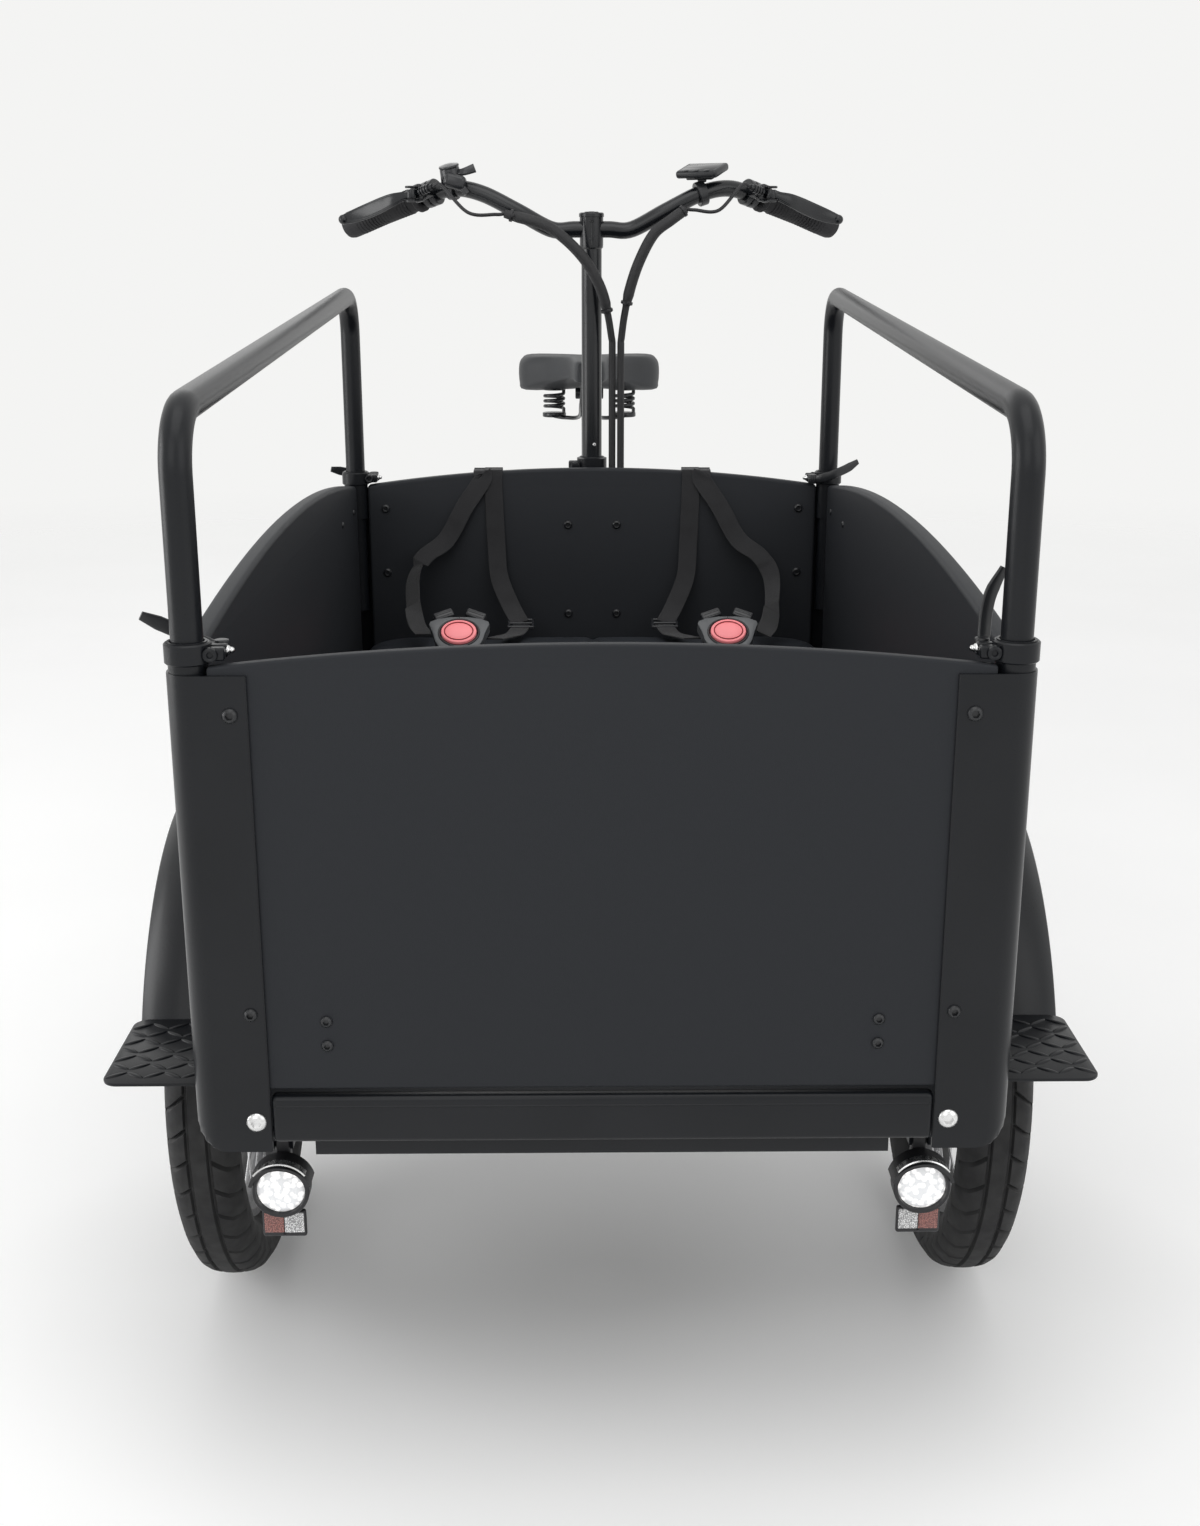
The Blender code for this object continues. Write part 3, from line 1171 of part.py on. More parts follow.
def display():
    centre = on_bar(1, BAR_POINTS[3])
    along = (on_bar(1, BAR_POINTS[4]) - on_bar(1, BAR_POINTS[2])).normalized()
    inner = BAR_RADIUS + 0.0015
    ring = turned("display", [(inner, 0.006), (inner + 0.004, 0.006), (inner + 0.004, -0.006),
                              (inner, -0.006)], centre, along, 12)
    neck = block("neck", (0.012, 0.010, 0.012), centre + Vector((0.001, -0.001, inner + 0.008)))
    turn = Matrix.Rotation(math.radians(-24), 4, "Z") @ Matrix.Rotation(math.radians(14), 4, "X")
    slab = block("slab", (0.060, 0.042, 0.010), (0, 0, 0), 0.003, 1)
    slab.data.transform(Matrix.Translation(centre + Vector((0.001, -0.002, inner + 0.017))) @ turn)
    return use_manifold(fuse(ring, neck, slab))


def cable(points, x):
    """A sleeve from the bar, thinner where it runs as one strand down beside the stem."""
    head = smooth_route([on_bar(1, point) for point in points], 16)
    y = STEM_Y - 0.014
    drop = head[-1].z - CABLE_FOOT
    tail = [Vector((x, y, head[-1].z - drop * share)) for share in (0.08, 0.25, 0.5, 0.75, 1.0)]
    radii = [1.0] * 10 + [0.95, 0.9, 0.85, 0.8, 0.75, 0.72] + [0.62] * 5
    return wire("cable", head + tail, SLEEVE_RADIUS, 1, radii)


def build_steering():
    part(steering_bracket(), "steering_bracket", powder_coat())
    column = (0, STEM_Y, BAR_CLAMP_HEIGHT)
    part(stem(), "stem", powder_coat(), column)
    part(handlebar(), "handlebar", powder_coat(), column)
    part(display(), "display", plastic(), column)
    part(cable(SLEEVE_TO_RIGHT, 0.0285), "cable_sleeve_right", rubber(), column)
    part(cable(SLEEVE_TO_LEFT, 0.0405), "cable_sleeve_left", rubber(), column)
    for sx, side in SIDES:
        part(grip(sx), f"grip_{side}", rubber(), column)
        part(brake_lever(sx), f"brake_lever_{side}", powder_coat(), lever_pivot(sx))


# Rear frame


def stay(start, bend, end):
    return as_mesh(wire("stay", smooth_route([start, bend, end], 5), STAY_RADIUS, 1))


def rear_frame():
    pivot = Vector((0, PIVOT_Y, BRACKET_HEIGHT))
    frame = rod("frame", pivot, BRACKET_SPOT, MAIN_TUBE_RADIUS, 10)
    head = rod("head", (0, PIVOT_Y, pivot.z - 0.023), (0, PIVOT_Y, FRAME_HEAD_TOP), HEAD_RADIUS, 14)
    shell = rod("shell", BRACKET_SPOT - Vector((SHELL_HALF, 0, 0)),
                BRACKET_SPOT + Vector((SHELL_HALF, 0, 0)), SHELL_RADIUS, 12)
    seat_tube = rod("seat_tube", BRACKET_SPOT, SEAT_TOP_SPOT, SEAT_TUBE_RADIUS, 10)
    clamp = rod("clamp", SEAT_TOP_SPOT - SEAT_LINE * 0.020, SEAT_TOP_SPOT - SEAT_LINE * 0.003,
                SEAT_TUBE_RADIUS + 0.0035, 12)
    behind = Vector((0, SEAT_TUBE_RADIUS + 0.010, 0.004))
    ears = block("ears", (0.014, 0.020, 0.014), SEAT_TOP_SPOT - SEAT_LINE * 0.012 + behind)
    brace_low = pivot.lerp(BRACKET_SPOT, 0.62) + Vector((0, 0, 0.008))
    brace = rod("brace", brace_low, BRACKET_SPOT + SEAT_LINE * 0.150, 0.0125, 8)
    axle = rod("axle", AXLE_SPOT - Vector((0.080, 0, 0)), AXLE_SPOT + Vector((0.080, 0, 0)),
               REAR_AXLE_RADIUS, 10)
    pieces = [head, shell, seat_tube, clamp, ears, brace, axle]
    for sx, _ in SIDES:
        clearance = REAR_TYRE_WIDTH / 2 + STAY_RADIUS + 0.006
        low_bend = AXLE_SPOT + Vector((0, -REAR_WHEEL_RADIUS * 0.98, -0.035))
        low_bend.x = sx * clearance
        end = AXLE_SPOT + Vector((sx * DROPOUT_X, -0.022, -0.004))
        pieces.append(stay(BRACKET_SPOT + Vector((sx * 0.022, 0.006, 0)), low_bend, end))
        high_start = SEAT_TOP_SPOT - SEAT_LINE * 0.040 + Vector((sx * 0.013, 0.006, 0))
        high_end = AXLE_SPOT + Vector((sx * DROPOUT_X, -0.014, 0.020))
        high_bend = high_start.lerp(high_end, 0.16)
        high_bend.x = sx * clearance
        pieces.append(stay(high_start, high_bend, high_end))
        x = sx * DROPOUT_X
        outline = [(-0.036, -0.012), (-0.010, -0.018), (0.012, -0.018), (0.018, 0), (0.008, 0.022),
                   (-0.010, 0.040), (-0.024, 0.036)]
        outline = [(AXLE_SPOT.y + y, AXLE_SPOT.z + z) for y, z in outline]
        pieces.append(flat("dropout", outline, DROPOUT_SHEET, upright_x(x)))
        nut = x + sx * (DROPOUT_SHEET / 2 - 0.0005)
        pieces.append(rod("nut", AXLE_SPOT + Vector((nut, 0, 0)),
                          AXLE_SPOT + Vector((nut + sx * 0.009, 0, 0)), 0.0115, 6))
    fuse(frame, *pieces)
    axle_bore = CRANK_AXLE_RADIUS + CLEAR
    cut(frame, rod("bore", BRACKET_SPOT - Vector((0.1, 0, 0)), BRACKET_SPOT + Vector((0.1, 0, 0)),
                   axle_bore, 14))
    post_bore = SEAT_POST_RADIUS + RAIL_SLIDE_GAP
    cut(frame, rod("bore", BRACKET_SPOT + SEAT_LINE * 0.060, SEAT_TOP_SPOT + SEAT_LINE * 0.05,
                   post_bore, 14))
    return use_manifold(frame)


def rear_fender():
    low, top = REAR_WHEEL_RADIUS + FENDER_CLEARANCE, REAR_WHEEL_RADIUS + FENDER_CLEARANCE + FENDER_SHEET
    half = REAR_TYRE_WIDTH / 2 + 0.0045
    line = [(-half, low - 0.008), (-half * 0.6, top - 0.001), (half * 0.6, top - 0.001),
            (half, low - 0.008)]
    section = sheet_section(line, 0.002)
    angles = [60 - 12.5 * i for i in range(14)]
    fender = loft("fender", [fender_ring(AXLE_SPOT, angle, section) for angle in angles])
    for sx, _ in SIDES:
        a = math.radians(-72)
        rim = AXLE_SPOT + Vector((sx * (half - 0.001), -(low - 0.006) * math.sin(a),
                                  (low - 0.006) * math.cos(a)))
        knee = AXLE_SPOT + Vector((sx * (DROPOUT_X + 0.0145), 0.060, 0.012))
        foot = AXLE_SPOT + Vector((sx * (DROPOUT_X + 0.0145), 0.004, 0.016))
        fuse(fender, as_mesh(wire("stay", [rim, knee, foot], 0.0022, 0)))
    return use_manifold(fender)


def motor_hub():
    bore = REAR_AXLE_RADIUS + CLEAR
    return [(bore, 0.050), (0.020, 0.050), (0.024, 0.042), (0.078, 0.036), (0.084, 0.026),
            (0.084, -0.024), (0.076, -0.034), (0.020, -0.038), (bore, -0.040)]


# Chain drive

def tooth_ring(teeth):
    """A sprocket's outline: rounded seats on the roller circle between short flat-topped teeth."""
    pitch = CHAIN_PITCH / (2 * math.sin(math.pi / teeth))
    root, tip = pitch - 0.0037, pitch + 0.0015
    outline = []
    for tooth in range(teeth):
        for share, r in ((0, root), (0.34, tip), (0.66, tip)):
            a = 2 * math.pi * (tooth + share) / teeth
            outline.append((r * math.cos(a), r * math.sin(a)))
    return outline, pitch


def sprocket():
    outline, _ = tooth_ring(SPROCKET_TEETH)
    place = Matrix.Translation((-CHAIN_LINE, AXLE_SPOT.y, AXLE_SPOT.z)) @ upright_x(0)
    bore = REAR_AXLE_RADIUS + CLEAR
    disc = flat("sprocket", outline, 0.002, place)
    boss = turned("boss", [(0, 0.0055), (0.018, 0.0055), (0.018, -0.0045), (0, -0.0045)],
                  (-CHAIN_LINE, AXLE_SPOT.y, AXLE_SPOT.z), "X", 14)
    fuse(disc, boss)
    side = Vector((0.03, 0, 0))
    centre = AXLE_SPOT - Vector((CHAIN_LINE, 0, 0))
    return use_manifold(cut(disc, rod("bore", centre - side, centre + side, bore, 12)))


def chain():
    """The chain as one grooved loop of links over both tooth rings, open inwards for the teeth."""
    _, large = tooth_ring(CHAINRING_TEETH)
    _, small = tooth_ring(SPROCKET_TEETH)
    front = Vector((BRACKET_SPOT.y, BRACKET_SPOT.z))
    rear = Vector((AXLE_SPOT.y, AXLE_SPOT.z))
    span = rear - front
    tilt = math.atan2(span.y, span.x)
    lean = math.asin((large - small) / span.length)
    run = math.sqrt(span.length**2 - (large - small) ** 2)
    front_wrap = large * (math.pi + 2 * lean)
    rear_wrap = small * (math.pi - 2 * lean)
    total = 2 * run + front_wrap + rear_wrap
    count = 2 * round(total / CHAIN_PITCH / 2)
    rings = []
    for link in range(count):
        s = link * total / count
        if s < rear_wrap:
            out = tilt - (math.pi / 2 - lean) + s / small
            point = rear + small * Vector((math.cos(out), math.sin(out)))
        elif s < rear_wrap + run:
            out = tilt + math.pi / 2 - lean
            start = rear + small * Vector((math.cos(out), math.sin(out)))
            ahead = Vector((math.cos(out + math.pi / 2), math.sin(out + math.pi / 2)))
            point = start + (s - rear_wrap) * ahead
        elif s < rear_wrap + run + front_wrap:
            out = tilt + math.pi / 2 - lean + (s - rear_wrap - run) / large
            point = front + large * Vector((math.cos(out), math.sin(out)))
        else:
            out = tilt - math.pi / 2 + lean
            start = front + large * Vector((math.cos(out), math.sin(out)))
            ahead = Vector((math.cos(out + math.pi / 2), math.sin(out + math.pi / 2)))
            point = start + (s - rear_wrap - run - front_wrap) * ahead
        outward = Vector((math.cos(out), math.sin(out)))
        high, low = (0.0046, -0.0042) if link % 2 else (0.0040, -0.0032)
        section = ((-0.0035, high), (-0.0035, low), (-0.0021, low), (-0.0021, 0.0028),
                   (0.0021, 0.0028), (0.0021, low), (0.0035, low), (0.0035, high))
        rings.append([Vector((x - CHAIN_LINE, *(point + outward * r))) for x, r in section])
    return loft("chain", rings, capped=False)


def crankset():
    """Two cranks on one axle, with a chainring held by a four-armed spider."""
    outline, pitch = tooth_ring(CHAINRING_TEETH)
    hole = arc((0, 0), pitch - 0.016, 0, 330, 12)
    place = Matrix.Translation((-CHAIN_LINE, BRACKET_SPOT.y, BRACKET_SPOT.z)) @ upright_x(0)
    ring = flat("chainring", outline, 0.002, place, holes=(hole,))
    pieces = []
    reach = pitch - 0.010
    for arm in range(4):
        a = 2 * math.pi * arm / 4 + 0.3
        end = Vector((-CHAIN_LINE - 0.0006, BRACKET_SPOT.y + reach * math.cos(a),
                      BRACKET_SPOT.z + reach * math.sin(a)))
        start = Vector((-CHAIN_LINE - 0.0006, BRACKET_SPOT.y, BRACKET_SPOT.z))
        pieces.append(ribbon("arm", [start, end], [0.024, 0.011], 0.0045,
                             (0, -math.sin(a), math.cos(a))))
    side = Vector((CRANK_X - 0.005, 0, 0))
    axle = rod("axle", BRACKET_SPOT - side, BRACKET_SPOT + side, CRANK_AXLE_RADIUS, 12)
    boss = rod("boss", BRACKET_SPOT - Vector((CHAIN_LINE + 0.004, 0, 0)),
               BRACKET_SPOT - Vector((CHAIN_LINE - 0.004, 0, 0)), 0.019, 10)
    pieces += [axle, boss]
    for sx, _ in SIDES:
        x = sx * CRANK_X
        end = pedal_spot(sx)
        centre = BRACKET_SPOT + Vector((x, 0, 0))
        tip = Vector((x + sx * 0.006, end.y, end.z))
        pieces.append(ribbon("crank", [centre, centre.lerp(tip, 0.5), tip], [0.030, 0.022, 0.022],
                             [0.014, 0.012, 0.011], (0, 0, 1), 6))
        inner_half, outer_half = Vector((0.007, 0, 0)), Vector((0.0055, 0, 0))
        pieces.append(rod("eye", centre - inner_half, centre + inner_half, 0.016, 10))
        pieces.append(rod("eye", tip - outer_half, tip + outer_half, 0.012, 8))
        pieces.append(rod("spindle", tip, tip + Vector((sx * 0.095, 0, 0)), 0.0045, 6))
    fuse(ring, *pieces)
    return use_manifold(ring)


def pedal_spot(sx):
    """The pedals stand level, the right one ahead."""
    return BRACKET_SPOT + Vector((sx * (CRANK_X + 0.058), sx * CRANK_LENGTH, 0))


def pedal(sx):
    spot = pedal_spot(sx) + Vector((sx * 0.004, 0, 0))
    body = block("pedal", (0.088, 0.064, 0.022), spot, 0.006, 1)
    for side in (-1, 1):
        cut(body, block("window", (0.060, 0.014, 0.1), spot + Vector((0, side * 0.019, 0))))
    bore = rod("bore", spot - Vector((0.06, 0, 0)), spot + Vector((0.06, 0, 0)), 0.006, 10)
    return use_manifold(cut(body, bore))


# Saddle


def saddle():
    """A wide sprung saddle, lofted from nose to tail and drawn in below."""
    wide, thick = SADDLE_WIDTH / 2, SADDLE_THICKNESS
    stations = ((0.0, 0.10, 0.010, 0.45), (0.03, 0.21, 0.003, 0.53), (0.35, 0.30, 0.0, 0.60),
                (0.55, 0.56, 0.002, 0.72), (0.70, 0.92, 0.004, 0.92), (0.86, 1.0, 0.003, 1.0),
                (0.96, 0.93, 0.006, 0.94), (1.0, 0.75, 0.016, 0.72))
    spread = ((0, 0.003), (0.45, 0.001), (0.84, 0.0012), (0.955, 0.008), (1.0, 0.021), (0.995, 0.78),
              (0.93, 1), (0.45, 1), (0, 0.95))
    rings = []
    for share, half, sag, deep in stations:
        y = SADDLE_FRONT_Y + SADDLE_LENGTH * share
        ring = []
        for across, drop in spread:
            z = SADDLE_TOP - sag - (drop if drop < 0.5 else deep * thick * drop)
            ring.append((half * wide * across, y, z))
        mirrored = [(-x, y, z) for x, y, z in ring[-2:0:-1]]
        rings.append(ring + mirrored)
    body = loft("saddle", rings)
    for sx, _ in SIDES:
        rail = [(sx * 0.010, SADDLE_FRONT_Y + 0.03, SADDLE_TOP - thick * 0.45),
                (sx * 0.014, SADDLE_FRONT_Y + 0.06, SHELL_UNDER - 0.012),
                (sx * 0.018, SADDLE_REAR.y + 0.005, SPRING_LOW - 0.004), (sx * 0.042, SPRING_Y - 0.012,
                        SPRING_LOW - 0.0085),
                (sx * SPRING_X, SPRING_Y, SPRING_LOW - 0.007)]
        fuse(body, as_mesh(wire("rail", smooth_route(rail, 5), 0.0035, 0)))
        seat = (sx * SPRING_X, SPRING_Y)
        fuse(body, rod("seat", (*seat, SPRING_LOW - 0.008), (*seat, SPRING_LOW - GAP),
                       SPRING_RADIUS + 0.004, 12))
        cup = rod("cup", (*seat, SHELL_UNDER + GAP), (*seat, SHELL_UNDER + 0.016),
                  SPRING_RADIUS + 0.004, 12)
        fuse(body, cup)
    return use_manifold(body)


def spring_points(sx):
    """An open coil that runs straight up for one wire width at each end."""
    seat = Vector((sx * SPRING_X, SPRING_Y, 0))
    low, high = SPRING_LOW + GAP, SHELL_UNDER - GAP
    end = 2 * SPRING_WIRE
    count = SPRING_CURLS * CURL_POINTS
    points = [seat + Vector((SPRING_RADIUS, 0, low))]
    for i in range(count + 1):
        a = 2 * math.pi * i / CURL_POINTS
        z = low + end + (high - low - 2 * end) * i / count
        points.append(seat + Vector((SPRING_RADIUS * math.cos(a), SPRING_RADIUS * math.sin(a), z)))
    points.append(seat + Vector((SPRING_RADIUS, 0, high)))
    return points


def least_spring_gap(points):
    """The least distance between curls, less the wire's own thickness."""
    near = min((a - b).length for i, a in enumerate(points) for b in points[i + CURL_POINTS - 2 :])
    return near - 2 * SPRING_WIRE


def seat_post():
    low = SEAT_TOP_SPOT - SEAT_LINE * 0.160
    top = SADDLE_REAR - SEAT_LINE * 0.004
    post = rod("post", low, top, SEAT_POST_RADIUS, 12)
    return post


def build_rear():
    pivot = Vector((0, PIVOT_Y, BRACKET_HEIGHT))
    steer = joint_empty("steering_pivot", pivot)
    part(rear_frame(), "rear_frame", powder_coat(), pivot, steer)
    part(rear_fender(), "rear_fender", plastic(), pivot, steer)
    hub = wheel("rim", AXLE_SPOT, REAR_RIM_RADIUS, motor_hub(), (16, 0.082, 0.2))
    part(hub, "rear_wheel", steel(), AXLE_SPOT, steer)
    bead = REAR_RIM_RADIUS + TYRE_SEAT
    part(tyre("tyre", AXLE_SPOT, REAR_WHEEL_RADIUS, bead, REAR_TYRE_WIDTH, GROOVE), "rear_tyre",
         rubber(), AXLE_SPOT, steer)
    part(sprocket(), "sprocket", steel(), AXLE_SPOT, steer)
    part(chain(), "chain", steel(), pivot, steer)
    part(crankset(), "crankset", powder_coat(), BRACKET_SPOT, steer)
    for sx, side in SIDES:
        part(pedal(sx), f"pedal_{side}", plastic(), pedal_spot(sx), steer)
        points = spring_points(sx)
        print(f"saddle spring {side}: least gap between curls {least_spring_gap(points) * 1000:.2f} mm")
        part(wire("spring", points, SPRING_WIRE, 1), f"saddle_spring_{side}", steel(), SADDLE_REAR,
             steer)
    part(saddle(), "saddle", plastic(), SADDLE_REAR, steer)
    part(seat_post(), "seat_post", powder_coat(), SADDLE_REAR, steer)


# Harnesses


def over_panel(x, drop):
    """A strap's line up behind the back panel, over its edge and down in front."""
    half = RAIL_X - SOCKET_OUTER - GAP * 2
    radius = (half * half + BACK_ARCH * BACK_ARCH) / (2 * BACK_ARCH)
    edge = PANEL_TOP + BACK_ARCH - radius + math.sqrt(radius * radius - x * x) + STRAP_OFF + 0.0006
    behind, ahead = PANEL_FRONT_Y + SIDE_PANEL + STRAP_OFF, PANEL_FRONT_Y - STRAP_OFF
    return [(x, behind, edge - 0.050), (x, behind, edge - 0.003), (x, behind - 0.003, edge),
            (x, ahead + 0.003, edge),
            (x, ahead, edge - 0.003), (x, ahead - 0.0005, edge - drop)]


def buckle_place(sx):
    """The buckle rests on the crowned cushion, a set way ahead of the back panel."""
    y = PANEL_FRONT_Y - BUCKLE_AHEAD
    seat = BENCH_HEIGHT + BENCH_STEP - (y - BENCH_Y) * math.tan(math.radians(BENCH_TILT))
    z = seat + CUSHION_THICKNESS + CUSHION_CROWN + BUCKLE_LIFT
    lean = Matrix.Rotation(math.radians(BUCKLE_LEAN), 4, "X")
    return Matrix.Translation((sx * BUCKLE_X, y, z)) @ lean


def harness(sx):
    """Two shoulder straps joined over the panel, one with an adjuster, and the short strap to the buckle."""
    spot = buckle_place(sx).to_translation()

    def near(inward, share, rise):
        """A point so far inward of the buckle, that share of the way ahead to it, and so far above it."""
        return (spot.x - sx * inward, PANEL_FRONT_Y - share * BUCKLE_AHEAD, spot.z + rise)

    straight = over_panel(spot.x - sx * 0.038, 0.030)
    loose = over_panel(spot.x - sx * 0.023, 0.012)
    loose = [(x, y - 0.0004 if y < PANEL_FRONT_Y else y, z + 0.0002) for x, y, z in loose]
    straight += [near(0.041, 0.040, 0.0845), near(0.045, 0.105, 0.042), near(0.061, 0.225, 0.007),
                 near(0.075, 0.350, -0.0125)]
    loose += [near(-0.002, 0.040, 0.139), near(-0.028, 0.078, 0.094), near(-0.057, 0.140, 0.073),
              near(-0.072, 0.240, 0.049), near(-0.070, 0.440, 0.019), near(-0.061, 0.690, 0.001),
              near(-0.0475, 0.885, -0.005)]
    lower = [near(0.077, 0.372, -0.0150), near(0.069, 0.560, -0.0185), near(0.057, 0.760, -0.0135),
             near(0.0445, 0.944, -0.0085)]
    across = (1, 0, 0)
    main = ribbon("harness", straight, STRAP_WIDTH, STRAP_SHEET, across)
    slack = ribbon("loose", loose, STRAP_WIDTH, STRAP_SHEET,
                   [across] * 8 + [(0.7, 0, 0.7)] * 3 + [(0.6, 0.8, 0)] * 2)
    short = ribbon("short", lower, STRAP_WIDTH, STRAP_SHEET * 1.3, across)
    turn = Matrix.Rotation(math.radians(12), 4, "X")
    adjuster = block("adjuster", ADJUSTER_SIZE, near(0.076, 0.366, -0.0145), 0.002, 1, turn)
    return use_manifold(fuse(main, slack, short, adjuster))


def oval(width, height, count=14):
    return [(width / 2 * math.cos(2 * math.pi * i / count),
             height / 2 * math.sin(2 * math.pi * i / count)) for i in range(count)]


def buckle(sx):
    """The buckle's body with its tongues pushed in and the well of its push button."""
    w, h, deep = BUCKLE_SIZE
    outline = [(-w * 0.30, -h / 2), (w * 0.30, -h / 2), (w * 0.42, -h * 0.20), (w / 2, h * 0.18),
               (w * 0.40, h * 0.42),
               (w * 0.12, h / 2), (-w * 0.12, h / 2), (-w * 0.40, h * 0.42), (-w / 2,
                       h * 0.18), (-w * 0.42, -h * 0.20)]
    body = flat("buckle", outline, deep, bevel=0.003)
    well = flat("well", oval(BUTTON_SIZE[0] + 0.001, BUTTON_SIZE[1] + 0.001), 0.018,
                Matrix.Translation((0, -h * 0.06, deep / 2)))
    body = as_mesh(cut(body, well))
    bpy.data.objects.remove(well)
    for sign in (-1, 1):
        turn = Matrix.Rotation(math.radians(-sign * TONGUE_TURN), 4, "Z")
        place = (sign * w * 0.25, h * 0.52, 0)
        fuse(body, block("tongue", TONGUE_SIZE, place, 0.002, 1, turn))
    body = as_mesh(body)
    body.data.transform(buckle_place(sx))
    return body


def button(sx):
    offset = Matrix.Translation((0, -BUCKLE_SIZE[1] * 0.06, BUCKLE_SIZE[2] / 2 - 0.001))
    made = flat("button", oval(*BUTTON_SIZE), 0.008, offset, 0.0015)
    made = as_mesh(made)
    made.data.transform(buckle_place(sx))
    return made


def build_harnesses():
    for sx, side in SIDES:
        part(harness(sx), f"harness_{side}", webbing())
        part(buckle(sx), f"buckle_{side}", plastic())
        part(button(sx), f"buckle_button_{side}", red_plastic(), buckle_place(sx).to_translation())


build_box()
build_rails()
build_front_wheels()
build_fenders()
build_carriage()
build_steering()
build_rear()
build_harnesses()
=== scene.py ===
"""The electric cargo trike in its studio: finishes, fine pieces, light and camera over the fixed frame.

Metres, +Z up. The trike faces -Y and the rider's right is -X.
"""

import json
from math import asin, atan2, copysign, cos, degrees, exp, pi, radians, sin, sqrt, tan

import bmesh
import bpy
from mathutils import Matrix, Vector
from mathutils.bvhtree import BVHTree


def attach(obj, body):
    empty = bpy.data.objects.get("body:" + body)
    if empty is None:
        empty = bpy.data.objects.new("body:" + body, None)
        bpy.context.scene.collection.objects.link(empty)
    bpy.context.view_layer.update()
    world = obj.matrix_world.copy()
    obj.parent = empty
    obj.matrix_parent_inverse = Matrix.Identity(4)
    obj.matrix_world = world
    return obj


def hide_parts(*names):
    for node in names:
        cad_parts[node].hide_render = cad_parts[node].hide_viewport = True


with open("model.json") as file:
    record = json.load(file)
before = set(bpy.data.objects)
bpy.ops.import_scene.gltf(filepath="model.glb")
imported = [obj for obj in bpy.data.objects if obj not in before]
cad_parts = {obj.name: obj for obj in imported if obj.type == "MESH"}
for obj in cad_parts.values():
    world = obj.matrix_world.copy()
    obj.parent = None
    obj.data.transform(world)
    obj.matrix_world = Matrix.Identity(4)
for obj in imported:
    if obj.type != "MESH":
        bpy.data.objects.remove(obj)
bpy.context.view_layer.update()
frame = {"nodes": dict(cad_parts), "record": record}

SIDES = ((-1, "right"), (1, "left"))
ENDS = ((True, "front"), (False, "rear"))
UP = Vector((0, 0, 1))

# Camera, fitted to the box corners, rails and wheels of the photograph
CAMERA_SPOT = (-0.019, -2.476, 1.088)
CAMERA_PITCH = 16.42
CAMERA_YAW = -0.7
CAMERA_LENS = 41.2
SENSOR = 36.0

# Studio; each lamp has its place, where it points, its size and its power
BACKGROUND = (0.905, 0.905, 0.895)
WORLD_LIGHT = 0.68
FLOOR_CLEAR = 2.6
FLOOR_END = 6.0
# Painted light on the floor, seen by camera, reflected and transmitted rays: weak near the trike and strong
# away from it, which paints a shadow round the trike
FLOOR_PAINTED_LIGHT_NEAR = 0.01
FLOOR_PAINTED_LIGHT_FAR = 0.24
# Centre and half sizes of the painted shadow on the floor
SHADOW_Y = -0.8
SHADOW_HALF = (0.7, 0.45)
LAMPS = (
    ("key", (-1.2, -4.2, 2.6), (0, -1.2, 0.3), 2.4, 16),
    ("left strip", (-3.0, -0.8, 1.1), (-0.2, -0.9, 0.5), 1.6, 26),
    ("fill", (2.6, -2.8, 2.2), (0, -0.9, 0.4), 2.4, 15),
    ("top", (0, -1.6, 3.6), (0, -1.1, 0), 2.4, 22),
    ("rear", (-1.2, 3.2, 2.8), (0, 0.3, 0.5), 2.2, 8),
)

# Sizes of the solids that the pieces cover, and of the fine pieces on them
FIT = 0.0003
FRONT_Y = -1.14
BACK_Y = -0.01
BOX_HALF_WIDTH = 0.3475
BOX_BOTTOM = 0.35
BOX_TOP = 0.766
PANEL_TOP = 0.772
PANEL_LOW = 0.407
PANEL = 0.012
SIDE_PANEL = 0.018
PANEL_HALF = 0.3122
FRONT_ARCH = 0.018
SIDE_ARCH = 0.038
BACK_ARCH = 0.023
FLOOR_BOTTOM = 0.352
FLOOR_TOP = 0.364
CROSSBAR_Z = 0.3795
CROSSBAR_HEIGHT = 0.043
PROFILE_WALL = 0.003
PROFILE_WING = 0.0665
PROFILE_RADIUS = 0.022
PROFILE_FOOT = 0.03
PANEL_FACE = FRONT_Y + PROFILE_WALL + FIT
SOCKET_INNER = 0.0136
SOCKET_OUTER = 0.0161
SOCKET_IN = 0.0186
RAIL_X = BOX_HALF_WIDTH - SOCKET_IN
RAIL_FRONT_Y = FRONT_Y + SOCKET_IN
RAIL_REAR_Y = BACK_Y - SOCKET_IN
RAIL_RADIUS = 0.013
RAIL_FRONT_TOP = 0.967
RAIL_REAR_TOP = 1.028
RAIL_BEND = 0.05
LEVER_LENGTH = 0.058
LEVER_WIDTH = 0.012
LEVER_THICKNESS = 0.0035
COLLAR_OUTER = 0.0187
COLLAR_LOW = 0.773
COLLAR_TOP = 0.79
COLLAR_MIDDLE = (COLLAR_LOW + COLLAR_TOP) / 2
FRONT_AXLE = (0.389, -0.699, 0.262)
BENCH_TILT = 1.5
CUSHION_HALF = 0.3216
CUSHION_DEPTH = 0.3074
CUSHION_THICKNESS = 0.058
CUSHION_CROWN = 0.008
CUSHION_EDGE = 0.022
CUSHION_VOXEL = 0.006
CUSHION_PUFF = 0.005
CLOTH_PRESSURE = 4.0
CLOTH_FRAMES = 20
PIPING_RADIUS = 0.0019
CUSHION_SPOT = (0, -0.2173, 0.5115)
SEAT_BACK_Y = -0.0376
BUCKLE_AHEAD = 0.205
BUCKLE_SPOT = (0.175, -0.2426, 0.605)
BUCKLE_SIZE = (0.084, 0.05, 0.02)
BUCKLE_FACE = 0.0105
BUCKLE_LEAN = 45.0
BUTTON_SIZE = (0.046, 0.035)
BUTTON_PROUD = 0.0034
TONGUE_SIZE = (0.027, 0.013, 0.012)
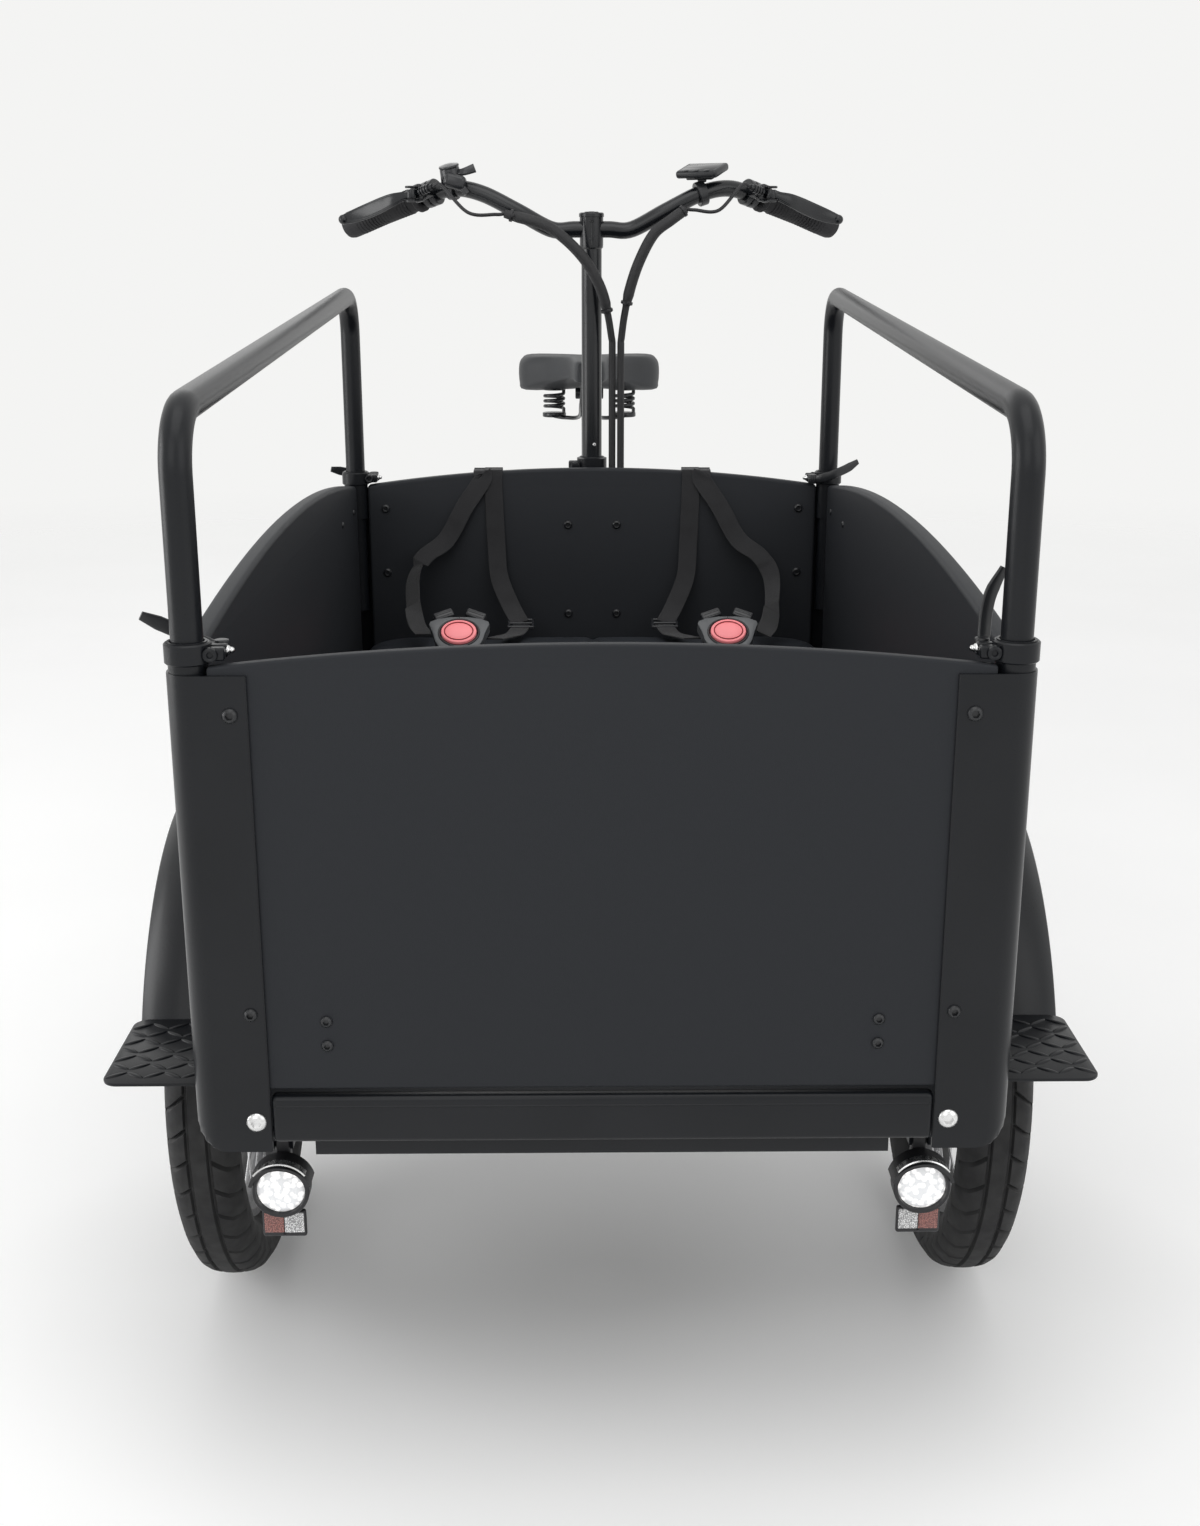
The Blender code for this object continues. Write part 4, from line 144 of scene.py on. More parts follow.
TONGUE_TURN = 22.0
STRAP_OFF = 0.0017
STRAP_WIDTH = 0.025
STRAP_THICKNESS = 0.0018
LAP_THICKNESS = 0.0023
FRONT_RADIUS = 0.262
FRONT_TYRE_WIDTH = 0.07
FRONT_RIM = 0.203
FRONT_BEAD = 0.2045
FRONT_SIPES = 48
REAR_RADIUS = 0.3342
REAR_TYRE_WIDTH = 0.056
REAR_RIM = 0.281
REAR_BEAD = 0.2825
REAR_SIPES = 60
SPOKE_RADIUS = 0.00105
NIPPLE_RADIUS = 0.0019
NIPPLE_LENGTH = 0.012
FENDER_RADIUS = 0.292
FENDER_OUTER = 0.437
FENDER_FRONT = 66.0
FENDER_REAR = -78.0
FENDER_STEPS = 59
STEP_OUTER = 0.436
STEP_TOP = 0.393
STEP_CORNER = 0.014
LAMP_X = 0.29
LAMP_Y = -1.055
LAMP_Z = 0.272
LAMP_RADIUS = 0.026
LAMP_PIN_Z = 0.312
REAR_AXLE = (0, 0.7915, 0.335)
PIVOT_Y = -0.34
BRACKET = (0, 0.35, 0.285)
STEM_Y = 0.034
BAR_HEIGHT = 1.113
BAR_RADIUS = 0.011
BAND_BORE = 0.0112
BAR_POINTS = ((0, 0, 0), (0.055, 0, 0), (0.102, -0.004, 0.024), (0.15, 0.002, 0.047), (0.19, 0.016, 0.054),
              (0.232, 0.04, 0.044), (0.345, 0.104, 0.006))
GRIP_RADIUS = 0.0165
BRAKE_CABLE_RADIUS = 0.0024
SLEEVE_RADIUS = 0.0075
STRAND_SHARE = 0.66
SLEEVE_TO_RIGHT = ((-0.118, -0.026, 0.02), (-0.066, -0.032, 0.006), (-0.036, -0.034, -0.013),
                   (-0.008, -0.034, -0.042), (0.012, -0.031, -0.077), (0.022, -0.024, -0.112),
                   (0.0285, -0.016, -0.15))
SLEEVE_TO_LEFT = ((0.128, -0.022, 0.026), (0.108, -0.026, 0.012), (0.085, -0.027, -0.006),
                  (0.066, -0.027, -0.04), (0.053, -0.025, -0.077), (0.045, -0.02, -0.115),
                  (0.0405, -0.015, -0.15))
CABLE_FOOT = 0.372
ADJUSTER_END = 0.0215
LEVER_FROM_GRIP = (-0.008, 0.042)
ADJUSTER_FROM_GRIP = (-0.018, 0.036)
SEAT_TOP = Vector((0, 0.5, 0.64))
SEAT_LINE = (SEAT_TOP - Vector(BRACKET)).normalized()
SADDLE_TOP = 0.915
SADDLE_WIDTH = 0.245
SADDLE_THICKNESS = 0.062
SADDLE_LENGTH = 0.262
SADDLE_FRONT_Y = 0.4345
SADDLE_REAR_Y = 0.5845
SPRING_X = 0.061
SPRING_HEIGHT = 0.038
SPRING_RADIUS = 0.0165
SPRING_WIRE = 0.003
SPRING_CURLS = 3
MUDGUARD_LOW = 0.3478
MUDGUARD_TOP = 0.3508
MUDGUARD_HALF = 0.0325
MUDGUARD_START = 60.0
MUDGUARD_SWEEP = 162.5
DROPOUT_X = 0.066
STAY_RADIUS = 0.0078
STAY_BEND_X = 0.0418
CHAIN_PITCH = 0.0127
CHAINRING_TEETH = 36
SPROCKET_TEETH = 18
CHAIN_LINE = 0.052


# Materials


class Look:
    """A node material built step by step on Object coordinates or a UV map."""

    def __init__(self, name, colour, roughness, metallic=0.0, coat=0.0):
        self.material = bpy.data.materials.new(name)
        self.material.use_nodes = True
        self.nodes = self.material.node_tree.nodes
        self.links = self.material.node_tree.links
        self.shader = self.nodes["Principled BSDF"]
        self.set(Base_Color=(*colour, 1), Roughness=roughness, Metallic=metallic, Coat_Weight=coat)
        self.colour = colour
        self.place = self.nodes.new("ShaderNodeTexCoord").outputs["Object"]

    def set(self, **sockets):
        for name, number in sockets.items():
            self.shader.inputs[name.replace("_", " ")].default_value = number
        return self

    def add(self, kind, place=None, **numbers):
        """A node with its numbers set, fed by the pattern's coordinates where it reads them."""
        made = self.nodes.new("ShaderNode" + kind)
        for name, number in numbers.items():
            made.inputs[name.replace("_", " ")].default_value = number
        if place:
            self.links.new(place, made.inputs["Vector"])
        return made

    def stretched(self, scale):
        """The coordinates stretched, as for brushed surfaces."""
        return self.add("Mapping", self.place, Scale=scale).outputs["Vector"]

    def on_uv(self):
        self.place = self.nodes.new("ShaderNodeUVMap").outputs["UV"]
        return self

    def noise(self, scale, detail=2.0, place=None):
        return self.add("TexNoise", place or self.place, Scale=scale, Detail=detail).outputs["Fac"]

    def cells(self, scale):
        return self.add("TexVoronoi", self.place, Scale=scale).outputs["Distance"]

    def waves(self, scale, direction, distortion=0.0):
        made = self.add("TexWave", self.place, Scale=scale, Distortion=distortion)
        made.bands_direction = direction
        return made.outputs["Fac"]

    def ramp(self, value, low, high, start, end):
        """A value spread from low..high to start..end, clamped."""
        made = self.add("MapRange", From_Min=low, From_Max=high, To_Min=start, To_Max=end)
        self.links.new(value, made.inputs["Value"])
        return made.outputs["Result"]

    def length(self, vector):
        made = self.add("VectorMath", vector)
        made.operation = "LENGTH"
        return made.outputs["Value"]

    def multiply(self, one, other):
        made = self.add("Math")
        made.operation = "MULTIPLY"
        self.links.new(one, made.inputs[0])
        self.links.new(other, made.inputs[1])
        return made.outputs[0]

    def tint(self, value, other, low=0.35, high=0.65):
        """Mixes the colour so far towards another where the value is high."""
        made = self.nodes.new("ShaderNodeMix")
        made.data_type = "RGBA"
        socket = self.shader.inputs["Base Color"]
        if socket.links:
            self.links.new(socket.links[0].from_socket, made.inputs["A"])
        else:
            made.inputs["A"].default_value = (*self.colour, 1)
        made.inputs["B"].default_value = (*other, 1)
        self.links.new(self.ramp(value, low, high, 0, 1), made.inputs["Factor"])
        self.links.new(made.outputs["Result"], socket)
        return self

    def rough(self, value, start, end):
        self.links.new(self.ramp(value, 0.3, 0.7, start, end), self.shader.inputs["Roughness"])

    def bump(self, value, distance, strength):
        made = self.add("Bump", Distance=distance, Strength=strength)
        self.links.new(value, made.inputs["Height"])
        self.links.new(made.outputs["Normal"], self.shader.inputs["Normal"])
        return self


def powder_coat():
    look = Look("powder_coat", (0.006, 0.007, 0.009), 0.4).set(Specular_IOR_Level=0.29)
    grain = look.noise(1400)
    look.tint(look.noise(9, 3), (0.0085, 0.0095, 0.0118))
    look.rough(grain, 0.27, 0.38)
    return look.bump(grain, 0.00012, 0.35).material


def panel_coat():
    """Darker than the frame's coat, with fine sand in it."""
    look = Look("panel_coat", (0.0038, 0.0047, 0.0064), 0.5).set(Specular_IOR_Level=0.15)
    grain = look.noise(1900, 3)
    look.tint(look.noise(5, 3), (0.0054, 0.0064, 0.0084))
    look.tint(look.cells(1300), (0.026, 0.028, 0.032), 0.0, 0.22)
    look.rough(grain, 0.42, 0.58)
    return look.bump(grain, 0.0002, 0.5).material


# painted_glow is an emission on a part that is no lamp: painted light
def moulded(name, colour, roughness, grain_size=1600, depth=0.00012, painted_glow=0.0):
    look = Look(name, colour, roughness).set(Emission_Color=(*colour, 1), Emission_Strength=painted_glow)
    grain = look.noise(grain_size, 3)
    look.tint(look.noise(14, 3), [part * 1.25 for part in colour])
    look.rough(grain, roughness - 0.05, roughness + 0.07)
    return look.bump(grain, depth, 0.4).material


def lamp_glow_and_painted_glint(name, colour, facets, dimmer, low, high):
    """Lamp glass or a reflector: faceted, and shining a little by itself between its facets; on a reflector,
    which is no lamp, this shine is a painted glint.
    """
    look = Look(name, colour, 0.18, coat=1.0).set(Emission_Color=(*colour, 1))
    cells = look.cells(facets)
    look.tint(cells, dimmer, 0.3, 0.62)
    look.links.new(look.ramp(cells, 0.2, 0.6, high, low), look.shader.inputs["Emission Strength"])
    return look.bump(cells, 0.0004, 0.6).material


def braided(name):
    """A braided sleeve: fine crossing threads over matt black."""
    look = Look(name, (0.012, 0.012, 0.013), 0.62)
    threads = look.multiply(look.waves(260, "DIAGONAL"), look.noise(700))
    look.tint(threads, (0.04, 0.04, 0.043), 0.2, 0.6)
    return look.bump(threads, 0.0003, 0.6).material


def tyre_rubber():
    look = Look("tyre_rubber", (0.01, 0.01, 0.011), 0.72)
    look.tint(look.noise(26, 5), (0.017, 0.017, 0.017))
    look.rough(look.noise(60, 4), 0.66, 0.86)
    return look.bump(look.noise(900, 4), 0.0002, 0.5).material


def metal(name, colour, roughness):
    look = Look(name, colour, roughness, 1.0)
    smears = look.noise(90, 4, look.stretched((1, 1, 9)))
    look.tint(look.noise(40, 4), [part * 0.82 for part in colour])
    look.rough(smears, roughness - 0.06, roughness + 0.12)
    return look.bump(look.noise(700, 3), 0.00005, 0.3).material


def woven(name, colour, lighter, threads):
    """Plain weave on a UV map in metres: threads one way over the other."""
    look = Look(name, colour, 0.82).on_uv().set(Sheen_Weight=0.15, Sheen_Roughness=0.5)
    weave = look.multiply(look.waves(threads, "X", 0.6), look.waves(threads, "Y", 0.6))
    look.tint(weave, lighter, 0.1, 0.9)
    look.tint(look.noise(30, 4), [part * 0.8 for part in colour], 0.45, 0.8)
    return look.bump(weave, 0.0004, 0.7).material


LOOKS = {
    "coat": powder_coat(),
    "panel": panel_coat(),
    "black": moulded("black_plastic", (0.01, 0.01, 0.012), 0.46),
    "satin": moulded("satin_plastic", (0.012, 0.013, 0.015), 0.32, 2600, 0.00005),
    "grip": moulded("grip_rubber", (0.013, 0.013, 0.015), 0.66, 900, 0.00025),
    # The red button glows a little: painted light for the bright sheen on its face
    "red": moulded("red_button", (0.93, 0.27, 0.29), 0.33, 2200, 0.00006, 0.22),
    # The buckle shell's light grey is a painted reflection: the sheen of its glossy plastic laid into its
    # colour
    "buckle": moulded("buckle_painted_reflection_grey", (0.105, 0.11, 0.116), 0.34, 2600, 0.00005),
    "tyre": tyre_rubber(),
    "steel": metal("steel", (0.62, 0.62, 0.63), 0.3),
    "bright": metal("bright_zinc", (0.8, 0.8, 0.8), 0.22),
    "dark_steel": metal("dark_steel", (0.16, 0.16, 0.165), 0.36),
    # Dark red for the line where the button's dome meets its rim: painted shade in that crease
    "deep_red": moulded("button_painted_shade_line", (0.3, 0.012, 0.02), 0.35, 2200, 0.00006),
    "gloss": moulded("gloss_plastic", (0.022, 0.023, 0.026), 0.2, 2600, 0.00004),
    "leatherette": moulded("cushion_leatherette", (0.024, 0.027, 0.033), 0.44, 1000, 0.00035),
    "gloss_coat": moulded("gloss_black", (0.006, 0.007, 0.009), 0.24, 2600, 0.00003),
    "glass": moulded("display_glass", (0.006, 0.007, 0.009), 0.08, 3000, 0.0),
    "sleeve": braided("cable_sleeve"),
    "lens": lamp_glow_and_painted_glint("lamp_glass", (1.0, 0.985, 0.97), 190, (0.7, 0.72, 0.75), 0.3, 0.95),
    # The reflectors' glow is painted light: a glint painted between their facets
    "amber": lamp_glow_and_painted_glint("amber_reflector", (0.34, 0.11, 0.085), 850, (0.13, 0.025, 0.018), 0.0, 0.1),
    "clear": lamp_glow_and_painted_glint("clear_reflector", (0.8, 0.8, 0.8), 850, (0.3, 0.3, 0.305), 0.0, 0.2),
    "webbing": woven("webbing", (0.016, 0.016, 0.018), (0.045, 0.045, 0.048), 420),
    "saddle": moulded("saddle_cover", (0.026, 0.028, 0.031), 0.54, 1100, 0.0003),
}

# The look of a slot on the solids that stay
NODE_LOOKS = {
    "powder_coat": "coat",
    "panel_coat": "panel",
    "cushion_cover": "saddle",
    "webbing": "webbing",
    "black_plastic": "black",
    "red_plastic": "red",
    "black_rubber": "grip",
    "tyre": "tyre",
    "steel": "steel",
}


# Camera, stage and light


def seen_backdrop(nodes, links):
    """1 for rays that see the background: the camera's, reflected ones, and those through glass."""
    path = nodes.new("ShaderNodeLightPath")
    seen = path.outputs["Is Camera Ray"]
    for ray in ("Is Glossy Ray", "Is Transmission Ray"):
        either = nodes.new("ShaderNodeMath")
        either.operation = "MAXIMUM"
        links.new(seen, either.inputs[0])
        links.new(path.outputs[ray], either.inputs[1])
        seen = either.outputs[0]
    return seen


def placed(name, data, spot, turn=(0, 0, 0)):
    thing = bpy.data.objects.new(name, data)
    thing.location = spot
    thing.rotation_euler = turn
    bpy.context.scene.collection.objects.link(thing)
    return thing


def stage():
    """A pale floor that keeps the trike's shadow, with a painted shadow over it: a glow painted on it for
    camera, reflected and transmitted rays is weak near the trike and strong away from it, and far from the
    trike the floor fades into the background.
    """
    floor = Look("pale_floor", (0.81, 0.81, 0.805), 0.9).set(Emission_Color=(1, 1, 1, 1))
    floor.tint(floor.noise(2), (0.83, 0.83, 0.825))
    fade = floor.ramp(floor.length(floor.place), FLOOR_CLEAR, FLOOR_END, 1, 0)
    floor.links.new(fade, floor.shader.inputs["Alpha"])
    wide, deep = SHADOW_HALF
    near = floor.add("Mapping", floor.place, Location=(0, -SHADOW_Y / deep, 0), Scale=(1 / wide, 1 / deep, 1))
    away = floor.length(near.outputs["Vector"])
    # The painted light on the floor: weak inside the painted shadow near the trike, strong outside it
    lift = floor.ramp(away, 0.1, 1.0, FLOOR_PAINTED_LIGHT_NEAR, FLOOR_PAINTED_LIGHT_FAR)
    seen = seen_backdrop(floor.nodes, floor.links)
    floor.links.new(floor.multiply(lift, seen), floor.shader.inputs["Emission Strength"])
    shape = bmesh.new()
    bmesh.ops.create_circle(shape, cap_ends=True, segments=64, radius=FLOOR_END)
    mesh = bpy.data.meshes.new("floor")
    shape.to_mesh(mesh)
    shape.free()
    mesh.materials.append(floor.material)
    placed("floor", mesh, (0, 0, 0))


def studio():
    world = bpy.data.worlds.new("studio")
    bpy.context.scene.world = world
    world.use_nodes = True
    nodes, links = world.node_tree.nodes, world.node_tree.links
    plain, seen = nodes["Background"], nodes.new("ShaderNodeBackground")
    mixed = nodes.new("ShaderNodeMixShader")
    links.new(seen_backdrop(nodes, links), mixed.inputs[0])
    sources = ((plain, (1, 1, 1), WORLD_LIGHT, 1), (seen, BACKGROUND, 1.0, 2))
    for source, colour, strength, place in sources:
        source.inputs["Color"].default_value = (*colour, 1)
        source.inputs["Strength"].default_value = strength
        links.new(source.outputs[0], mixed.inputs[place])
    links.new(mixed.outputs[0], nodes["World Output"].inputs["Surface"])
    for name, spot, aim, size, power in LAMPS:
        light = bpy.data.lights.new(name, "AREA")
        light.size = size
        light.energy = power
        placed(name, light, spot, (Vector(aim) - Vector(spot)).to_track_quat("-Z", "Y").to_euler())
    bpy.context.scene.view_settings.view_transform = "Standard"


def camera():
    data = bpy.data.cameras.new("camera")
    data.lens = CAMERA_LENS
    data.sensor_width = SENSOR
    turn = (radians(90 - CAMERA_PITCH), 0, radians(CAMERA_YAW))
    bpy.context.scene.camera = placed("camera", data, CAMERA_SPOT, turn)


stage()
studio()
camera()


# Shapes


def moved(x=0.0, y=0.0, z=0.0):
    return Matrix.Translation((x, y, z))


def turned(angle, axis):
    return Matrix.Rotation(radians(angle), 4, axis)


def facing(out):
    """The turn that carries +Z onto a direction."""
    return Vector(out).to_track_quat("Z", "Y").to_matrix().to_4x4()


AXES = {"X": turned(90, "Y"), "Y": turned(-90, "X"), "Z": Matrix()}


def ring_of(shape, points):
    """A closed loop of edges through the points."""
    verts = [shape.verts.new(point) for point in points]
    return [shape.edges.new(pair) for pair in zip(verts, verts[1:] + verts[:1])]


def skin(rings, closed=False):
    """A surface bridged from each ring of points to the next, capped at its ends unless it is closed."""
    shape = bmesh.new()
    loops = [ring_of(shape, points) for points in rings]
    for one, other in zip(loops, loops[1:]):
        bmesh.ops.bridge_loops(shape, edges=one + other)
    if closed:
        bmesh.ops.bridge_loops(shape, edges=loops[-1] + loops[0])
    else:
        bmesh.ops.contextual_create(shape, geom=loops[0])
        bmesh.ops.contextual_create(shape, geom=loops[-1])
    return shape


def bevelled(shape, edges, width, segments):
    bmesh.ops.bevel(shape, geom=edges, offset=width, offset_type="OFFSET", segments=segments, profile=0.5,
                    affect="EDGES", clamp_overlap=True, material=-1)
    return shape


def sharp_edges(shape, angle):
    return [edge for edge in shape.edges if edge.is_manifold and edge.calc_face_angle() > radians(angle)]


def soften(shape, width, segments=3, angle=30.0):
    """Rounds every edge sharper than the angle."""
    bmesh.ops.recalc_face_normals(shape, faces=shape.faces[:])
    return bevelled(shape, sharp_edges(shape, angle), width, segments)


def box(size, place, bevel=0.0, segments=3, turn=None):
    shape = bmesh.new()
    bmesh.ops.create_cube(shape, size=1, matrix=Matrix.Diagonal((*size, 1)))
    if bevel:
        soften(shape, bevel, segments)
    shape.transform(Matrix.Translation(place) @ (turn or Matrix()))
    return shape


def rod(start, end, radius, sides=24, end_radius=None, bevel=0.0):
    shape = bmesh.new()
    start, end = Vector(start), Vector(end)
    bmesh.ops.create_cone(shape, cap_ends=True, segments=sides, radius1=radius, radius2=end_radius or radius,
                          depth=(end - start).length)
    if bevel:
        soften(shape, bevel, 2, 60)
    shape.transform(Matrix.Translation((start + end) / 2) @ facing(end - start))
    return shape


def bar_through(middle, reach, radius, sides=24, bevel=0.0):
    """A rod through a place, reaching as far to both ends."""
    middle, reach = Vector(middle), Vector(reach)
    return rod(middle - reach, middle + reach, radius, sides, bevel=bevel)


def ball(place, radius, flat=(1, 1, 1), sides=20):
    shape = bmesh.new()
    size = Matrix.Translation(place) @ Matrix.Diagonal((*flat, 1))
    bmesh.ops.create_uvsphere(shape, u_segments=sides, v_segments=sides // 2, radius=radius, matrix=size)
    return shape


def lathe(profile, place, axis="Z", steps=48):
    """Spins an open profile of (radius, along) about an axis; axis may be a direction."""
    shape = bmesh.new()
    verts = [shape.verts.new((radius, 0, along)) for radius, along in profile]
    edges = [shape.edges.new(pair) for pair in zip(verts, verts[1:])]
    bmesh.ops.spin(shape, geom=verts + edges, cent=(0, 0, 0), axis=(0, 0, 1), angle=2 * pi, steps=steps,
                   use_merge=True, use_normal_flip=False, use_duplicate=False)
    bmesh.ops.remove_doubles(shape, verts=shape.verts[:], dist=0.00001)
    shape.transform(Matrix.Translation(place) @ (AXES[axis] if isinstance(axis, str) else facing(axis)))
    return shape


def band(inner, outer, low, high, cut, run):
    """The profile of a ring with both outer rims chamfered."""
    return [(inner, low), (outer - cut, low), (outer, low + run), (outer, high - run), (outer - cut, high),
            (inner, high)]


def thicken(shape, faces, thickness):
    """Raises faces straight up into a plate."""
    grown = bmesh.ops.extrude_face_region(shape, geom=faces, use_keep_orig=True)["geom"]
    verts = [item for item in grown if isinstance(item, bmesh.types.BMVert)]
    bmesh.ops.translate(shape, verts=verts, vec=(0, 0, thickness))


def slab(outline, thickness, place, bevel=0.0, segments=3, angle=30.0):
    """A plate over an outline in the XY plane, centred on it, its rims rounded."""
    shape = bmesh.new()
    rim_edges = ring_of(shape, [(x, y, -thickness / 2) for x, y in outline])
    thicken(shape, bmesh.ops.contextual_create(shape, geom=rim_edges)["faces"], thickness)
    if bevel:
        soften(shape, bevel, segments, angle)
    shape.transform(place)
    return shape


def pierced_slab(outline, hole, thickness, bevel):
    """A plate with a hole through it, standing on the XY plane."""
    shape = bmesh.new()
    edges = [edge for line in (outline, hole) for edge in ring_of(shape, [(x, y, 0) for x, y in line])]
    filled = bmesh.ops.triangle_fill(shape, edges=edges, use_beauty=True, normal=(0, 0, 1))["geom"]
    thicken(shape, [item for item in filled if isinstance(item, bmesh.types.BMFace)], thickness)
    return soften(shape, bevel, 2, 50)


def upright_x(x):
    """Carries an outline (along, up) into the plane of a side panel at this x."""
    return Matrix(((0, 0, 1, x), (1, 0, 0, 0), (0, 1, 0, 0), (0, 0, 0, 1)))


def upright_y(y):
    """Carries an outline (across, up) into the plane of a front panel at this y."""
    return moved(y=y) @ turned(90, "X")


def arc(centre, radius, start, end, count):
    """Points on an arc in a plane, angles in degrees, both ends included."""
    angles = [radians(start + (end - start) * i / (count - 1)) for i in range(count)]
    return [(centre[0] + radius * cos(a), centre[1] + radius * sin(a)) for a in angles]


def oval(width, height, count=48):
    turns = [2 * pi * i / count for i in range(count)]
    return [(width / 2 * cos(turn), height / 2 * sin(turn)) for turn in turns]


def smooth_route(points, count):
    """Even points on a smooth curve through given points."""
    points = [Vector(point) for point in points]
    ends = [2 * points[0] - points[1], *points, 2 * points[-1] - points[-2]]
    route = []
    for i in range(count):
        place = i / (count - 1) * (len(points) - 1)
        step = min(int(place), len(points) - 2)
        t = place - step
        a, b, c, d = ends[step : step + 4]
        bend = (2 * a - 5 * b + 4 * c - d) * t * t + (3 * b - a - 3 * c + d) * t**3
        route.append((2 * b + (c - a) * t + bend) / 2)
    return route


def smooth_numbers(numbers, count):
    return [point.x for point in smooth_route([(number, 0, 0) for number in numbers], count)]


def route_length(route):
    return sum((b - a).length for a, b in zip(route, route[1:]))


def rounded_corners(points, radius, count):
    """A route in space whose inner corners are replaced by arcs of one radius."""
    points = [Vector(point) for point in points]
    route = [points[0]]
    for before, corner, after in zip(points, points[1:], points[2:]):
        back, ahead = (before - corner).normalized(), (after - corner).normalized()
        half = back.angle(ahead) / 2
        reach = radius / tan(half)
        centre = corner + (back + ahead).normalized() * radius / sin(half)
        first, last = [(corner + way * reach - centre).normalized() for way in (back, ahead)]
        route += [centre + first.slerp(last, i / (count - 1)) * radius for i in range(count)]
    return [*route, points[-1]]


def tube(points, radius, radii=None, sides=6, capped=True):
    """A round tube along a route; radii are shares of its radius."""
    curve = bpy.data.curves.new("tube", "CURVE")
    curve.dimensions = "3D"
    curve.bevel_depth = radius
    curve.bevel_resolution = sides
    curve.use_fill_caps = capped
    line = curve.splines.new("POLY")
    line.points.add(len(points) - 1)
    for index, point in enumerate(points):
        line.points[index].co = (*point, 1)
        line.points[index].radius = radii[index] if radii else 1.0
    guide = bpy.data.objects.new("tube", curve)
    mesh = bpy.data.meshes.new_from_object(guide)
    bpy.data.objects.remove(guide)
    bpy.data.curves.remove(curve)
    shape = bmesh.new()
    shape.from_mesh(mesh)
    bpy.data.meshes.remove(mesh)
    bmesh.ops.remove_doubles(shape, verts=shape.verts[:], dist=0.00002)
    return shape


def strip(route, widths, thickness, across, sides=8):
    """A flat bar along a route, rounded in section; across is its width's direction, one or one each."""
    route = [Vector(point) for point in route]
    rings = []
    for index, point in enumerate(route):
        along = (route[min(index + 1, len(route) - 1)] - route[max(index - 1, 0)]).normalized()
        wanted = Vector(across[index] if isinstance(across, list) else across)
        side = (wanted - along * wanted.dot(along)).normalized()
        face = along.cross(side)
        half = (widths[index] if isinstance(widths, list) else widths) / 2
        deep = thickness / 2
        section = []
        for turn in range(sides * 2):
            a = pi * (turn + 0.5) / sides
            flat_x = copysign(half - deep, cos(a)) + deep * cos(a)
            section.append(point + side * flat_x + face * deep * sin(a))
        rings.append(section)
    return skin(rings)


def together(first, *others):
    """Several shapes in one, the first kept."""
    for other in others:
        carried = bpy.data.meshes.new("carried")
        other.to_mesh(carried)
        other.free()
        first.from_mesh(carried)
        bpy.data.meshes.remove(carried)
    return first


def hex_bolt(place, out, radius=0.0065, proud=0.0034):
    """A button head with its hexagon socket."""
    key = radius * 0.46
    profile = [(0, proud * 0.15), (key * 0.97, proud * 0.15), (key, proud * 0.93), (key * 1.3, proud),
               (radius * 0.8, proud * 0.72), (radius * 0.96, proud * 0.35), (radius, 0), (radius, -0.001)]
    head = lathe(profile, (0, 0, 0), steps=24)
    for vert in head.verts:
        if 1e-5 < vert.co.to_2d().length < key * 1.02:
            turn = atan2(vert.co.y, vert.co.x) % (pi / 3) - pi / 6
            vert.co.xy = vert.co.xy * (cos(pi / 6) / cos(turn)) * 1.1
    head.transform(Matrix.Translation(place) @ facing(out))
    return head


def finish(name, shapes, look, body="carriage", covers=None, angle=32.0):
    """Makes shapes one piece that rides on a body and may stand for the solid that it covers."""
    shape = together(*shapes) if isinstance(shapes, list) else shapes
    bmesh.ops.remove_doubles(shape, verts=shape.verts[:], dist=0.000005)
    bmesh.ops.recalc_face_normals(shape, faces=shape.faces[:])
    mesh = bpy.data.meshes.new(name)
    shape.to_mesh(mesh)
    shape.free()
    mesh.materials.append(LOOKS[look])
    mesh.shade_smooth()
    mesh.set_sharp_from_angle(angle=radians(angle))
    piece = bpy.data.objects.new(name, mesh)
    bpy.context.scene.collection.objects.link(piece)
    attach(piece, body)
    if covers:
        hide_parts(covers)
    return piece


# Box: corner profiles, panels, rails and their clamps


def corner_point(sx, front, across, along):
    """A place measured inwards from one outer corner of the box, seen from above."""
    y = FRONT_Y + along if front else BACK_Y - along
    return sx * (BOX_HALF_WIDTH - across), y


def corner_profile(sx, front):
    """The extruded corner: two thin wings round one radius, drawn in at the foot."""
    r, wall, wing = PROFILE_RADIUS, PROFILE_WALL, PROFILE_WING
    lip = 0.0012
    outline = [(wing, wall), (wing, lip), (wing - lip, 0), *arc((r, r), r, 270, 180, 14)]
    outline += [(0, wing - lip), (lip, wing), (wall, wing), *arc((r, r), r - wall, 180, 270, 10)]
    outline = [corner_point(sx, front, u, v) for u, v in outline]
    rings = []
    levels = [BOX_BOTTOM + PROFILE_FOOT * (1 - cos(radians(a))) for a in range(0, 91, 15)]
    for z in (*levels, BOX_TOP - 0.001, BOX_TOP):
        sag = max(0.0, 1 - (z - BOX_BOTTOM) / PROFILE_FOOT)
        limit = BOX_HALF_WIDTH - PROFILE_FOOT * (1 - sqrt(1 - sag * sag))
        drawn = 0.0006 if z == BOX_TOP else 0.0
        rings.append([(max(-limit, min(limit, x)) * (1 - drawn), y, z) for x, y in outline])
    return skin(rings)


def lever_side(sx, front):
    """The side of a collar, along the bike, that its cam lever stands on."""
    return 1 if front or sx < 0 else -1


